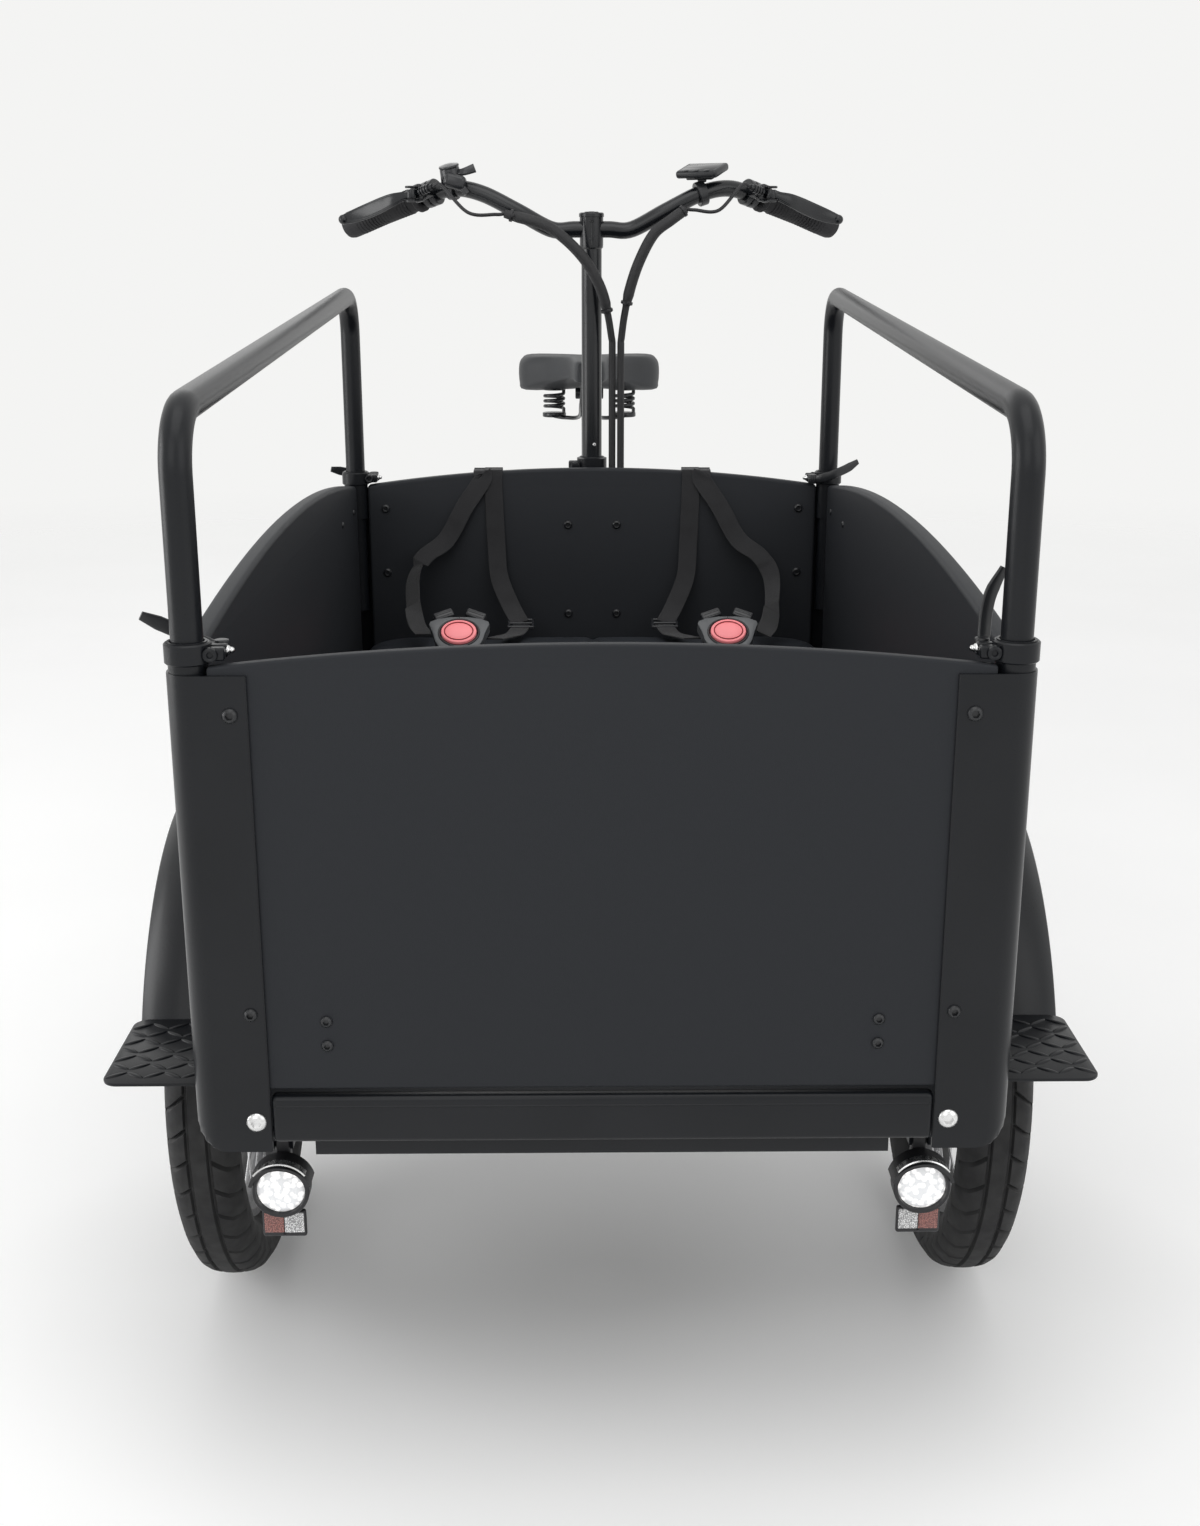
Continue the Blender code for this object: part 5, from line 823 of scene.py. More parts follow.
def collar_and_socket(sx, front):
    """The rail's socket and its split collar with two cheeks, their pin and its boss."""
    x, y = corner_point(sx, front, SOCKET_IN, SOCKET_IN)
    low, lip, split = BOX_TOP - 0.04, 0.0009, SOCKET_OUTER - 0.001
    bore = [(SOCKET_INNER, COLLAR_TOP), (SOCKET_INNER + 0.0005, COLLAR_TOP + lip),
            (SOCKET_OUTER, COLLAR_TOP + lip), (SOCKET_OUTER, low), (SOCKET_INNER, low),
            (SOCKET_INNER, COLLAR_TOP)]
    collar = band(split, COLLAR_OUTER, COLLAR_LOW, COLLAR_TOP, 0.0012, 0.0012)
    lug_x, turn = x - sx * (COLLAR_OUTER + 0.0052), lever_side(sx, front)
    cheek = (0.0135, 0.0085, 0.0105)
    cheeks = [box(cheek, (lug_x, y + apart, COLLAR_MIDDLE), 0.0018) for apart in (-0.0063, 0.0063)]
    pin = bar_through((lug_x, y, COLLAR_MIDDLE), (0, 0.0105, 0), 0.0028, 16)
    boss = [(0, 0.0016), (0.002, 0.0016), (0.0026, 0.003), (0.0042, 0.0036), (0.0056, 0.003), (0.0062, 0)]
    boss = lathe(boss, (lug_x + sx * 0.004, y - turn * 0.0102, COLLAR_MIDDLE), (0, -turn, 0), 28)
    return [lathe(bore, (x, y, 0)), lathe(collar, (x, y, 0)), *cheeks, pin, boss]


def build_posts():
    for sx, side in SIDES:
        for front, end in ENDS:
            finish(f"corner_profile_{end}_{side}", [corner_profile(sx, front), *collar_and_socket(sx, front)],
                   "coat", covers=f"corner_post_{end}_{side}")


def arched_outline(half, bottom, rise, count=40):
    """A panel's outline, straight below and with a shallow arch of the given rise on top."""
    radius = (half * half + rise * rise) / (2 * rise)
    spread = degrees(asin(half / radius))
    centre = (0, PANEL_TOP + rise - radius)
    return [(-half, bottom), (half, bottom), *arc(centre, radius, 90 - spread, 90 + spread, count)]


def build_panels():
    front = arched_outline(PANEL_HALF, PANEL_LOW, FRONT_ARCH)
    board = slab(front, PANEL, upright_y(PANEL_FACE + PANEL / 2), 0.0022)
    finish("front_board", board, "panel", covers="front_panel")
    back = arched_outline(PANEL_HALF, FLOOR_TOP + FIT, BACK_ARCH)
    finish("back_board", slab(back, SIDE_PANEL, upright_y(RAIL_REAR_Y), 0.004), "panel", covers="back_panel")
    half = (RAIL_REAR_Y - RAIL_FRONT_Y) / 2 - SOCKET_OUTER - 2 * FIT
    x = BOX_HALF_WIDTH - PROFILE_WALL - FIT - SIDE_PANEL / 2
    middle = (RAIL_REAR_Y + RAIL_FRONT_Y) / 2
    outline = [(middle + along, z) for along, z in arched_outline(half, FLOOR_BOTTOM, SIDE_ARCH, 60)]
    for sx, side in SIDES:
        finish(f"side_board_{side}", slab(outline, SIDE_PANEL, upright_x(sx * x), 0.0048, 4), "panel",
               covers=f"side_panel_{side}")
    width = 2 * (BOX_HALF_WIDTH - PROFILE_WING - FIT)
    depth = PROFILE_WALL + PANEL - 2 * FIT
    sill = box((width, depth, CROSSBAR_HEIGHT), (0, FRONT_Y + depth / 2, CROSSBAR_Z), 0.0048, 4)
    groove = box((width - 0.004, 0.0016, 0.0016), (0, FRONT_Y + 0.0004, CROSSBAR_Z + 0.0125), 0.0004, 1)
    finish("front_sill", [sill, groove], "coat", covers="front_crossbar")


def build_bolts():
    """Every bolt's place across, along and up, its direction, and its head's radius and height."""
    black, bright = [], []
    inside = RAIL_REAR_Y - SIDE_PANEL / 2
    board = BOX_HALF_WIDTH - PROFILE_WALL - SIDE_PANEL - FIT
    edge = BOX_HALF_WIDTH - 0.0595
    for sx, _ in SIDES:
        rows = []
        for y, out in ((FRONT_Y, -1), (BACK_Y, 1)):
            rows += [(BOX_HALF_WIDTH - 0.0525, y, 0.734, (0, out, 0), 0.0066, 0.0034),
                     (BOX_HALF_WIDTH - 0.0545, y, 0.477, (0, out, 0), 0.006, 0.0034)]
            bright.append(hex_bolt((sx * (BOX_HALF_WIDTH - 0.054), y, 0.378), (0, out, 0), 0.0088))
        rows += [(BOX_HALF_WIDTH - 0.1165, PANEL_FACE, z, (0, -1, 0), 0.0053, 0.0028) for z in (0.469, 0.447)]
        rows += [(x, inside, z, (0, -1, 0), 0.0062, 0.0028)
                 for x, z in ((edge, 0.74), (edge, 0.65), (0.034, 0.717), (0.034, 0.591))]
        rows += [(board, RAIL_REAR_Y - SOCKET_OUTER - along, PANEL_TOP - 0.03, (-sx, 0, 0), 0.0043, 0.0019)
                 for along in (0.045, 0.16)]
        black += [hex_bolt((sx * x, y, z), out, radius, proud) for x, y, z, out, radius, proud in rows]
    finish("panel_bolts", black, "satin")
    finish("foot_bolts", bright, "bright")


def rail_route(sx):
    x, low = sx * RAIL_X, BOX_TOP - 0.17
    corners = [(x, RAIL_FRONT_Y, low), (x, RAIL_FRONT_Y, RAIL_FRONT_TOP), (x, RAIL_REAR_Y, RAIL_REAR_TOP),
               (x, RAIL_REAR_Y, low)]
    return rounded_corners(corners, RAIL_BEND, 16)


# The cam levers' lines as shares of their length, out, along and up; the front left one stands up
LEVER_STEPS = {
    "front_left": ((0, 0, 0), (0.05, 0.12, 0.12), (0.08, 0.2, 0.4), (0.14, 0.22, 0.7), (0.3, 0.22, 1.05)),
    "front_right": ((0, 0, 0), (0.22, 0.17, 0.0), (0.55, 0.26, 0.12), (0.85, 0.22, 0.27), (1.12, 0.12, 0.42)),
    "rear_left": ((0, 0, 0), (0.22, 0.17, 0.04), (0.5, 0.24, 0.15), (0.8, 0.2, 0.28), (1.05, 0.1, 0.42)),
    "rear_right": ((0, 0, 0), (0.22, 0.17, 0.0), (0.5, 0.25, 0.04), (0.8, 0.2, 0.1), (1.05, 0.1, 0.16)),
}


def clamp_lever(sx, front, corner):
    """A cam lever: its cam, its knuckle and a curved blade that is narrower at both ends."""
    turn, count = lever_side(sx, front), 26
    x, y = corner_point(sx, front, SOCKET_IN, SOCKET_IN)
    pin = Vector((x - sx * (COLLAR_OUTER + 0.005), y + turn * 0.018, COLLAR_MIDDLE))
    route = [pin + Vector((sx * a, turn * b, c)) * LEVER_LENGTH for a, b, c in LEVER_STEPS[corner]]
    widths = []
    for share in [i / (count - 1) for i in range(count)]:
        root, tip = min(1, 4 * share), max(0, share - 0.8) * 5
        widths.append(LEVER_WIDTH * (0.62 + 0.38 * root) * (1 - 0.38 * tip))
    across = (1, 0.35, -0.2) if corner == "front_left" else UP
    return [bar_through(pin, UP * 0.0064, 0.0061, 32, 0.0012), ball(pin, 0.0063, (1, 1, 0.95)),
            strip(smooth_route(route, count), widths, LEVER_THICKNESS, across)]


def clamp_nut(sx, front):
    """The bright nut on the far end of the cam lever's pin, under the knuckle."""
    x, y = corner_point(sx, front, SOCKET_IN, SOCKET_IN)
    spot = Vector((x - sx * (COLLAR_OUTER + 0.0117), y + lever_side(sx, front) * 0.0063, COLLAR_MIDDLE))
    return [hex_bolt(spot, (-sx, 0, 0), 0.0042, 0.0026), ball(spot - Vector((sx * 0.003, 0, 0)), 0.0027)]


def build_rails():
    for sx, side in SIDES:
        rail = f"hand_rail_{side}"
        finish(f"rail_{side}", tube(rail_route(sx), RAIL_RADIUS, sides=10), "coat", rail, rail)
        for front, end in ENDS:
            corner = f"{end}_{side}"
            lever = f"clamp_lever_{corner}"
            finish(f"cam_lever_{corner}", clamp_lever(sx, front, corner), "satin", lever, lever)
            finish(f"clamp_nut_{corner}", clamp_nut(sx, front), "bright")


# Front wheels, fenders, steps and lamps


def tyre(place, radius, bead, width, sipes):
    """A tyre with a middle groove and curved sipes cut across its shoulders."""
    half, height = width / 2, radius - bead
    wall = ((0, 0.5), (0.12, 0.74), (0.3, 0.94), (0.45, 1), (0.62, 0.97), (0.76, 0.87))
    crown = ((0.0055, 0.7), (0.0022, 0.52), (0.001, 0.36), (0.004, 0.31), (0.004, 0.26), (0.0004, 0.21))
    section = [(bead + height * up, half * out) for up, out in wall]
    section += [(radius - down, half * out) for down, out in crown]
    section += [(radius, 0.0)] + [(r, -x) for r, x in reversed(section)]
    section += [(bead - 0.002, -half * 0.3), (bead - 0.002, half * 0.3)]
    rings = []
    for index in range(sipes * 4):
        sunk = 0.005 if index % 4 == 2 else 0.0
        around = 2 * pi * (index // 4 + (0.0, 0.41, 0.5, 0.59)[index % 4]) / sipes
        ring = []
        for r, x in section:
            share = abs(x) / half
            turn = around + (0.11 * share**1.4 if r >= bead + height * 0.5 else 0.0)
            deep = r - (sunk if r > bead + height * 0.6 and share > 0.33 else 0)
            ring.append((x, -deep * sin(turn), deep * cos(turn)))
        rings.append(ring)
    shape = skin(rings, closed=True)
    shape.transform(Matrix.Translation(place))
    return shape


def rim(place, radius, deep=0.013, half=0.016):
    """A rim, from one flange round its inner side to the other, and back through its well."""
    edge, well = radius + 0.001, radius - 0.005
    side = [(edge, half), (radius - deep * 0.5, half * 0.93), (radius - deep, half * 0.55)]
    profile = side + [(radius - deep - 0.0014, 0)] + [(r, -x) for r, x in reversed(side)]
    inner = half - 0.003
    profile += [(edge, -inner), (well, -half * 0.4), (well, half * 0.4), (edge, inner), (edge, half)]
    return lathe(profile, place, "X", 96)


def spokes(place, flange, reach, cross, count=36, flange_x=0.021):
    """Crossed pairs of spokes from both flanges of a hub, each with its nipple in the rim."""
    shapes = []
    for index in range(count):
        side = 1 if index % 2 else -1
        lead = 1 if index % 4 < 2 else -1
        turn = 2 * pi * index / count
        start = turn + lead * cross
        x = side * (flange_x + lead * 0.0014)
        foot = Vector(place) + Vector((x, sin(start) * flange, cos(start) * flange))
        tip = Vector(place) + Vector((side * 0.004, sin(turn) * reach, cos(turn) * reach))
        nipple = tip - (tip - foot).normalized() * NIPPLE_LENGTH
        shapes += [rod(foot, tip, SPOKE_RADIUS, 6), rod(nipple, tip, NIPPLE_RADIUS, 6)]
    return shapes


def build_front_wheels():
    x, y, z = FRONT_AXLE
    hub = [(0.0095, 0.029), (0.013, 0.029), (0.014, 0.028), (0.014, 0.024), (0.035, 0.0235), (0.036, 0.0225),
           (0.036, 0.0195), (0.035, 0.019), (0.018, 0.017), (0.0165, 0.012), (0.0165, -0.008),
           (0.02, -0.012), (0.044, -0.016), (0.048, -0.018), (0.048, -0.026), (0.046, -0.0285),
           (0.0095, -0.029)]
    for sx, side in SIDES:
        place = (sx * x, y, z)
        wheel = f"front_wheel_{side}"
        barrel = lathe([(r, sx * along) for r, along in hub], place, "X")
        finish(f"rim_{side}", [rim(place, FRONT_RIM), barrel], "dark_steel", wheel, wheel)
        finish(f"spokes_{side}", spokes(place, 0.031, 0.191, 0.42), "steel", wheel)
        rubber = tyre(place, FRONT_RADIUS, FRONT_BEAD, FRONT_TYRE_WIDTH, FRONT_SIPES)
        finish(f"tyre_{side}", rubber, "tyre", wheel, f"front_tyre_{side}")


def fender_section(sx):
    """The fender's sheet in section: outwards from the box over its shoulder, and back below."""
    inner, outer, top, sheet = BOX_HALF_WIDTH + FIT, FENDER_OUTER, FENDER_RADIUS, 0.003
    line = [(inner, top), (inner + 0.048, top), (inner + 0.06, top - 0.0025), (inner + 0.074, top - 0.0085),
            (outer - 0.002, top - 0.0165), (outer, top - 0.0195), (outer - 0.0028, top - 0.0205),
            (outer - 0.0045, top - 0.018), (inner + 0.073, top - 0.0112), (inner + 0.0595, top - 0.0054),
            (inner + 0.048, top - sheet), (inner + sheet, top - sheet), (inner + sheet, top - 0.022),
            (inner, top - 0.022)]
    return [(sx * x, r) for x, r in line]


def footstep(sx):
    """A step: its plate, its lip down the box, two bolts and a raised tread."""
    front, back, r = FRONT_Y + 0.043, FRONT_Y + 0.176, STEP_CORNER
    inner, bolt_z = BOX_HALF_WIDTH + FIT, STEP_TOP - 0.0165
    outline = [(inner, back), (inner, front), *arc((STEP_OUTER - r, front + r), r, 270, 360, 12),
               *arc((STEP_OUTER - r, back - r), r, 0, 90, 12)]
    lip = (sx * (inner + 0.0015), (front + back) / 2, STEP_TOP - 0.0135)
    shapes = [slab([(sx * u, v) for u, v in outline], 0.003, moved(z=STEP_TOP - 0.0015), 0.0008, 2),
              box((0.003, 0.106, 0.026), lip, 0.0008, 2)]
    for y in (front + 0.03, back - 0.03):
        shapes.append(hex_bolt((sx * (inner + 0.003), y, bolt_z), (sx, 0, 0), 0.005))
    for across in range(5):
        for along in range(7):
            tread = ball((0, 0, 0), 1.0, (0.0105, 0.0027, 0.0016), 16)
            x, y = sx * (inner + 0.012 + 0.0165 * across), front + 0.016 + 0.0168 * along
            lean = 35 if (across + along) % 2 else -35
            tread.transform(moved(x, y, STEP_TOP - 0.0002) @ turned(lean * sx, "Z"))
            shapes.append(tread)
    return shapes


def build_fenders():
    _, y, z = FRONT_AXLE
    reach = FENDER_FRONT - FENDER_REAR
    turns = [radians(FENDER_REAR + reach * i / FENDER_STEPS) for i in range(FENDER_STEPS + 1)]
    for sx, side in SIDES:
        rings = [[(x, y - r * sin(turn), z + r * cos(turn)) for x, r in fender_section(sx)] for turn in turns]
        finish(f"mudguard_{side}", skin(rings), "coat", covers=f"front_fender_{side}")
        finish(f"footstep_{side}", footstep(sx), "coat", covers=f"step_{side}")


def lamp_shell(centre):
    """A lamp's cup, the hood over it, the clip and pin that hold it, and the plate for its reflector."""
    r = LAMP_RADIUS
    cup = [(0, 0.018), (r * 0.55, 0.0165), (r * 0.85, 0.009), (r, 0.0), (r, -0.0165), (r - 0.001, -0.018),
           (r - 0.0035, -0.018), (r - 0.0045, -0.013), (0, -0.013)]
    hood = []
    for depth, lift in ((-0.0255, 0.006), (-0.018, 0.002), (-0.008, 0.0), (0.004, 0.0)):
        edge = arc((0, 0), r + 0.003, 15, 165, 24) + arc((0, 0), r - FIT, 165, 15, 24)
        hood.append([centre + Vector((c, depth + lift * (1 - s / r), s)) for c, s in edge])
    top, plate_z = LAMP_PIN_Z - LAMP_Z, -r - 0.013
    return [lathe(cup, centre, "Y", 56), skin(hood),
            box((0.0135, 0.012, top), centre + Vector((0, 0.012, top / 2)), 0.002),
            bar_through(centre + Vector((0, 0.012, top - 0.004)), (0.0075, 0, 0), 0.003, 16),
            box((0.04, 0.0055, 0.027), centre + Vector((0, -0.0032, plate_z)), 0.0024),
            box((0.012, 0.004, 0.032), centre + Vector((0, 0.001, plate_z + 0.01)), 0.001),
            hex_bolt(centre + Vector((0, -0.0055, plate_z - 0.0095)), (0, -1, 0), 0.0026, 0.0012)]


def build_lamps():
    r = LAMP_RADIUS
    rim_section = ((r + 0.0026, -0.0215), (r + 0.0041, -0.0205), (r + 0.0041, -0.012), (r + 0.0026, -0.012))
    glass = [(0, -0.0178), (r * 0.4, -0.0172), (r * 0.7, -0.016), (r - 0.0044, -0.0138)]
    for sx, side in SIDES:
        body = f"lamp_{side}"
        centre = Vector((sx * LAMP_X, LAMP_Y, LAMP_Z))
        finish(f"headlamp_{side}", lamp_shell(centre), "black", body, body)
        trim = [[centre + Vector((c * out, depth, s * out)) for out, depth in rim_section]
                for c, s in arc((0, 0), 1.0, 38, 142, 24)]
        finish(f"lamp_trim_{side}", skin(trim), "bright", body)
        finish(f"lamp_glass_{side}", lathe(glass, centre, "Y", 40), "lens", body)
        for share, look in ((sx, "amber"), (-sx, "clear")):
            spot = centre + Vector((share * 0.0092, -0.0062, -r - 0.0115))
            finish(f"reflector_{look}_{side}", box((0.0178, 0.0016, 0.02), spot, 0.0006, 2), look, body)


# Bench cushion


def cushion_outline(inset, columns=30):
    """The cushion from above, its back corners round, drawn in by inset and centred on itself."""
    half, deep = CUSHION_HALF - inset, CUSHION_DEPTH / 2 - inset
    back, front = 0.06 - inset * 0.5, 0.022
    shares = [1 - 2 * i / columns for i in range(1, columns)]
    ring = arc((half - front, -deep + front), front, -90, 0, 6)
    ring += arc((half - back, deep - back), back, 0, 90, 10)
    ring += [((half - back) * share, deep) for share in shares]
    ring += arc((-half + back, deep - back), back, 90, 180, 10)
    ring += arc((-half + front, -deep + front), front, 180, 270, 6)
    return ring + [((front - half) * share, -deep) for share in shares]


def settled(thing):
    """A thing's mesh with its modifiers done, which are then taken off."""
    made = bpy.data.meshes.new_from_object(thing.evaluated_get(bpy.context.evaluated_depsgraph_get()))
    thing.modifiers.clear()
    return made


def puffed(shape, voxel, cap):
    """The shape as stuffed cloth: blown up by pressure, with no point moving further than the cap."""
    mesh = bpy.data.meshes.new("pad")
    bmesh.ops.recalc_face_normals(shape, faces=shape.faces[:])
    shape.to_mesh(mesh)
    shape.free()
    pad = bpy.data.objects.new("pad", mesh)
    scene = bpy.context.scene
    scene.collection.objects.link(pad)
    remesh = pad.modifiers.new("remesh", "REMESH")
    remesh.mode = "VOXEL"
    remesh.voxel_size = voxel
    even = settled(pad)
    pad.data = even
    start = [vert.co.copy() for vert in even.vertices]
    cloth = pad.modifiers.new("cloth", "CLOTH")
    cloth.settings.use_pressure = True
    cloth.settings.uniform_pressure_force = CLOTH_PRESSURE
    cloth.settings.effector_weights.gravity = 0.0
    for frame_number in range(1, CLOTH_FRAMES + 1):
        scene.frame_set(frame_number)
    swollen = settled(pad)
    for vert, rest, blown in zip(even.vertices, start, swollen.vertices):
        shift = blown.co - rest
        vert.co = rest + shift * min(1.0, cap / max(shift.length, 1e-9))
    bpy.data.meshes.remove(swollen)
    scene.frame_set(1)
    done = bmesh.new()
    done.from_mesh(even)
    bpy.data.objects.remove(pad)
    bmesh.ops.subdivide_edges(done, edges=done.edges[:], cuts=1, use_grid_fill=True)
    bmesh.ops.smooth_vert(done, verts=done.verts[:], factor=0.5, use_axis_x=True, use_axis_y=True,
                          use_axis_z=True)
    return done


def build_cushion():
    """The padded cushion, its stitched lines pressed in, and the piping round its edges."""
    levels = ((0, 0.018), (0.1, 0.01), (0.28, 0.007), (0.5, 0.005), (0.72, 0.007), (0.9, 0.012),
              (0.97, CUSHION_EDGE))
    thick = CUSHION_THICKNESS
    rings = [[(x, y, height * thick) for x, y in cushion_outline(inset)] for height, inset in levels]
    for share in (0.76, 0.52, 0.28):
        rise = thick * 0.97 + CUSHION_CROWN * (1 - share * share)
        rings.append([(x * share, y * share, rise) for x, y in cushion_outline(CUSHION_EDGE)])
    pad = puffed(skin(rings), CUSHION_VOXEL, CUSHION_PUFF)
    for vert in pad.verts:
        co = vert.co
        co.z = max(co.z, 0.0004)
        top = max(0.0, min(1.0, (co.z - thick * 0.6) / (thick * 0.3)))
        for place, width, depth in ((0, 0.006, 0.0035), (0.105, 0.005, 0.0022), (0.215, 0.005, 0.0022)):
            co.z -= depth * top * exp(-(((abs(co.x) - place) / width) ** 2))
    surface = BVHTree.FromBMesh(pad)
    welts = []
    for height in (0.86, 0.12):
        near = [surface.find_nearest(Vector((x, y, height * thick))) for x, y in cushion_outline(0.004)]
        line = [spot + normal * 0.0006 for spot, normal, _, _ in near]
        welts.append(tube([*line, line[0]], PIPING_RADIUS, sides=3, capped=False))
    for shape in (pad, *welts):
        shape.transform(Matrix.Translation(CUSHION_SPOT) @ turned(-BENCH_TILT, "X"))
    cover = finish("cushion", pad, "leatherette", covers="bench_cushion", angle=60)
    finish("cushion_piping", welts, "leatherette")


# Harnesses with their buckles


def over_panel(x, drop, off=0.0, rise=0.0):
    """A strap's line up behind the back panel, over its edge and down in front, lifted off by a little."""
    radius = (PANEL_HALF**2 + BACK_ARCH**2) / (2 * BACK_ARCH)
    edge = PANEL_TOP + BACK_ARCH - radius + sqrt(radius * radius - x * x) + STRAP_OFF + 0.0006 + rise
    behind, ahead = SEAT_BACK_Y + SIDE_PANEL + STRAP_OFF, SEAT_BACK_Y - STRAP_OFF - off
    return [(x, behind, edge - 0.05), (x, behind, edge - 0.003), (x, behind - 0.003, edge),
            (x, ahead + 0.003 + off, edge), (x, ahead, edge - 0.003), (x, ahead - 0.0005, edge - drop)]


def webbing(name, points, across, count, thickness=STRAP_THICKNESS):
    """A woven strap on a smooth line, with its weave laid along it; across is one way, or several in turn."""
    route = smooth_route(points, count)
    across = [Vector(across[min(len(across) - 1, i * len(across) // count)]) for i in range(count)]
    piece = finish(name, strip(route, STRAP_WIDTH, thickness, across, 4), "webbing")
    layer = piece.data.uv_layers.new(name="weave")
    for loop in piece.data.loops:
        spot = piece.data.vertices[loop.vertex_index].co
        near = min(range(count), key=lambda i: (route[i] - spot).length_squared)
        side = (spot - route[near]).dot(across[near].normalized())
        layer.data[loop.index].uv = (side, route_length(route[: near + 1]))
    return piece


def harness(sx, side):
    """Two straps over the back board, the lap strap that takes them to the buckle, and their slider."""
    spot = Vector((sx * BUCKLE_SPOT[0], *BUCKLE_SPOT[1:]))

    def near(inward, share, rise):
        """A place measured from the buckle inwards and up, and from the back board to the buckle."""
        return spot.x - sx * inward, SEAT_BACK_Y - share * BUCKLE_AHEAD, spot.z + rise

    level = [(1, 0, 0)]
    straight = over_panel(spot.x - sx * 0.038, 0.03)
    down = ((0.041, 0.04, 0.0845), (0.045, 0.105, 0.042), (0.061, 0.225, 0.007), (0.075, 0.35, -0.0125))
    straight += [near(*place) for place in down]
    first = webbing(f"shoulder_strap_{side}", straight, level, 54)
    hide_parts(f"harness_{side}")
    loose = over_panel(spot.x - sx * 0.023, 0.012, 0.0004, 0.0002)
    down = ((-0.002, 0.04, 0.139), (-0.028, 0.078, 0.094), (-0.057, 0.14, 0.073), (-0.072, 0.24, 0.049),
            (-0.07, 0.44, 0.019), (-0.061, 0.69, 0.001), (-0.0475, 0.885, -0.005))
    loose += [near(*place) for place in down]
    webbing(f"loose_strap_{side}", loose, level * 9 + [(0.7, 0, 0.7)] * 2 + [(0.6, 0.8, 0)] * 2, 66)
    down = ((0.077, 0.372, -0.015), (0.069, 0.56, -0.0185), (0.057, 0.76, -0.0135), (0.0445, 0.944, -0.0085))
    webbing(f"lap_strap_{side}", [near(*place) for place in down], level, 24, LAP_THICKNESS)
    slider = [box((0.036, 0.004, 0.0058), (0, y, 0), 0.0016) for y in (-0.012, 0.0, 0.012)]
    slider += [box((0.004, 0.028, 0.0058), (x, 0, 0), 0.0016) for x in (-0.0165, 0.0165)]
    for bar in slider:
        bar.transform(Matrix.Translation(near(0.076, 0.366, -0.0135)) @ turned(12, "X"))
    finish(f"strap_slider_{side}", slider, "gloss")


def oval_ring(width, height, lift, radius, y):
    line = [(across, y + up, lift) for across, up in oval(width, height)]
    return tube([*line, line[0]], radius, sides=4, capped=False)


def buckle_tongue(sign):
    """One tongue leaning out of the buckle's top, with two ridges for the fingers."""
    width, height, _ = BUCKLE_SIZE
    turn = turned(-sign * TONGUE_TURN, "Z")
    place = Vector((sign * width * 0.25, height * 0.55, 0.001))
    lift = moved(z=TONGUE_SIZE[2] / 2)
    ridges = [box((0.021, 0.0014, 0.0009), place + turn @ Vector((0, y, 0)), 0.0004, 1, lift @ turn)
              for y in (-0.0028, 0.0012)]
    return [box(TONGUE_SIZE, place, 0.0028, 3, turn), *ridges]


def buckle(sx, side):
    """The buckle's shell with a well for its button, its rim, seam and tongues, and the red button."""
    w, h, deep = BUCKLE_SIZE
    wide, high = BUTTON_SIZE
    half = [(w * 0.3, -h / 2), (w * 0.37, -h * 0.3), (w * 0.41, -h * 0.05), (w * 0.47, h * 0.2),
            (w * 0.45, h * 0.29), (w * 0.34, h * 0.37), (w * 0.14, h * 0.43)]
    outline = half + [(-x, y) for x, y in reversed(half)]
    y = -h * 0.06
    face = pierced_slab(outline, [(a, y + b) for a, b in oval(wide + 0.003, high + 0.003)], 0.01, 0.0014)
    face.transform(moved(z=deep / 2 - BUCKLE_FACE))
    shell = [face, slab(outline, deep - BUCKLE_FACE, moved(z=-0.0055), 0.0035, 4, 20)]
    trim = [oval_ring(wide + 0.0062, high + 0.0062, deep / 2 - 0.0004, 0.0013, y),
            box((0.0012, h * 0.12, 0.001), (0, h * 0.36, deep / 2 - FIT), 0.0003, 1),
            *buckle_tongue(-1), *buckle_tongue(1)]
    top = deep / 2 + BUTTON_PROUD
    button = [slab(oval(wide, high), 0.006, moved(0, y, top - 0.003), 0.0016, 4, 60),
              ball((0, y, top - 0.0009), 1.0, (wide * 0.395, high * 0.375, 0.0024), 40)]
    # A dark red ring at the foot of the button's dome: painted shade in the crease there
    painted_crease_shade = oval_ring(wide * 0.8, high * 0.76, top + 0.0001, 0.0009, y)
    for shape in (*shell, *trim, *button, painted_crease_shade):
        shape.transform(moved(sx * BUCKLE_SPOT[0], *BUCKLE_SPOT[1:]) @ turned(BUCKLE_LEAN, "X"))
    body = f"buckle_button_{side}"
    finish(f"buckle_shell_{side}", shell, "buckle", covers=f"buckle_{side}")
    finish(f"buckle_tongues_{side}", trim, "gloss")
    finish(f"press_button_{side}", button, "red", body, body)
    finish(f"press_button_line_{side}", painted_crease_shade, "deep_red", body)


# Steering column, handlebar and what it carries


def on_bar(sx, offset):
    return Vector((sx * offset[0], STEM_Y + offset[1], BAR_HEIGHT + offset[2]))


def grip_frame(sx):
    """The start of a grip, its direction outwards, and the level direction in front of it."""
    start, end = on_bar(sx, BAR_POINTS[5]), on_bar(sx, BAR_POINTS[6])
    along = (end - start).normalized()
    return start, along, Vector((along.y, -along.x, 0)).normalized() * sx


def from_grip(sx, offset):
    """A place measured along and ahead of the start of a grip."""
    start, along, ahead = grip_frame(sx)
    return start + along * offset[0] + ahead * offset[1]


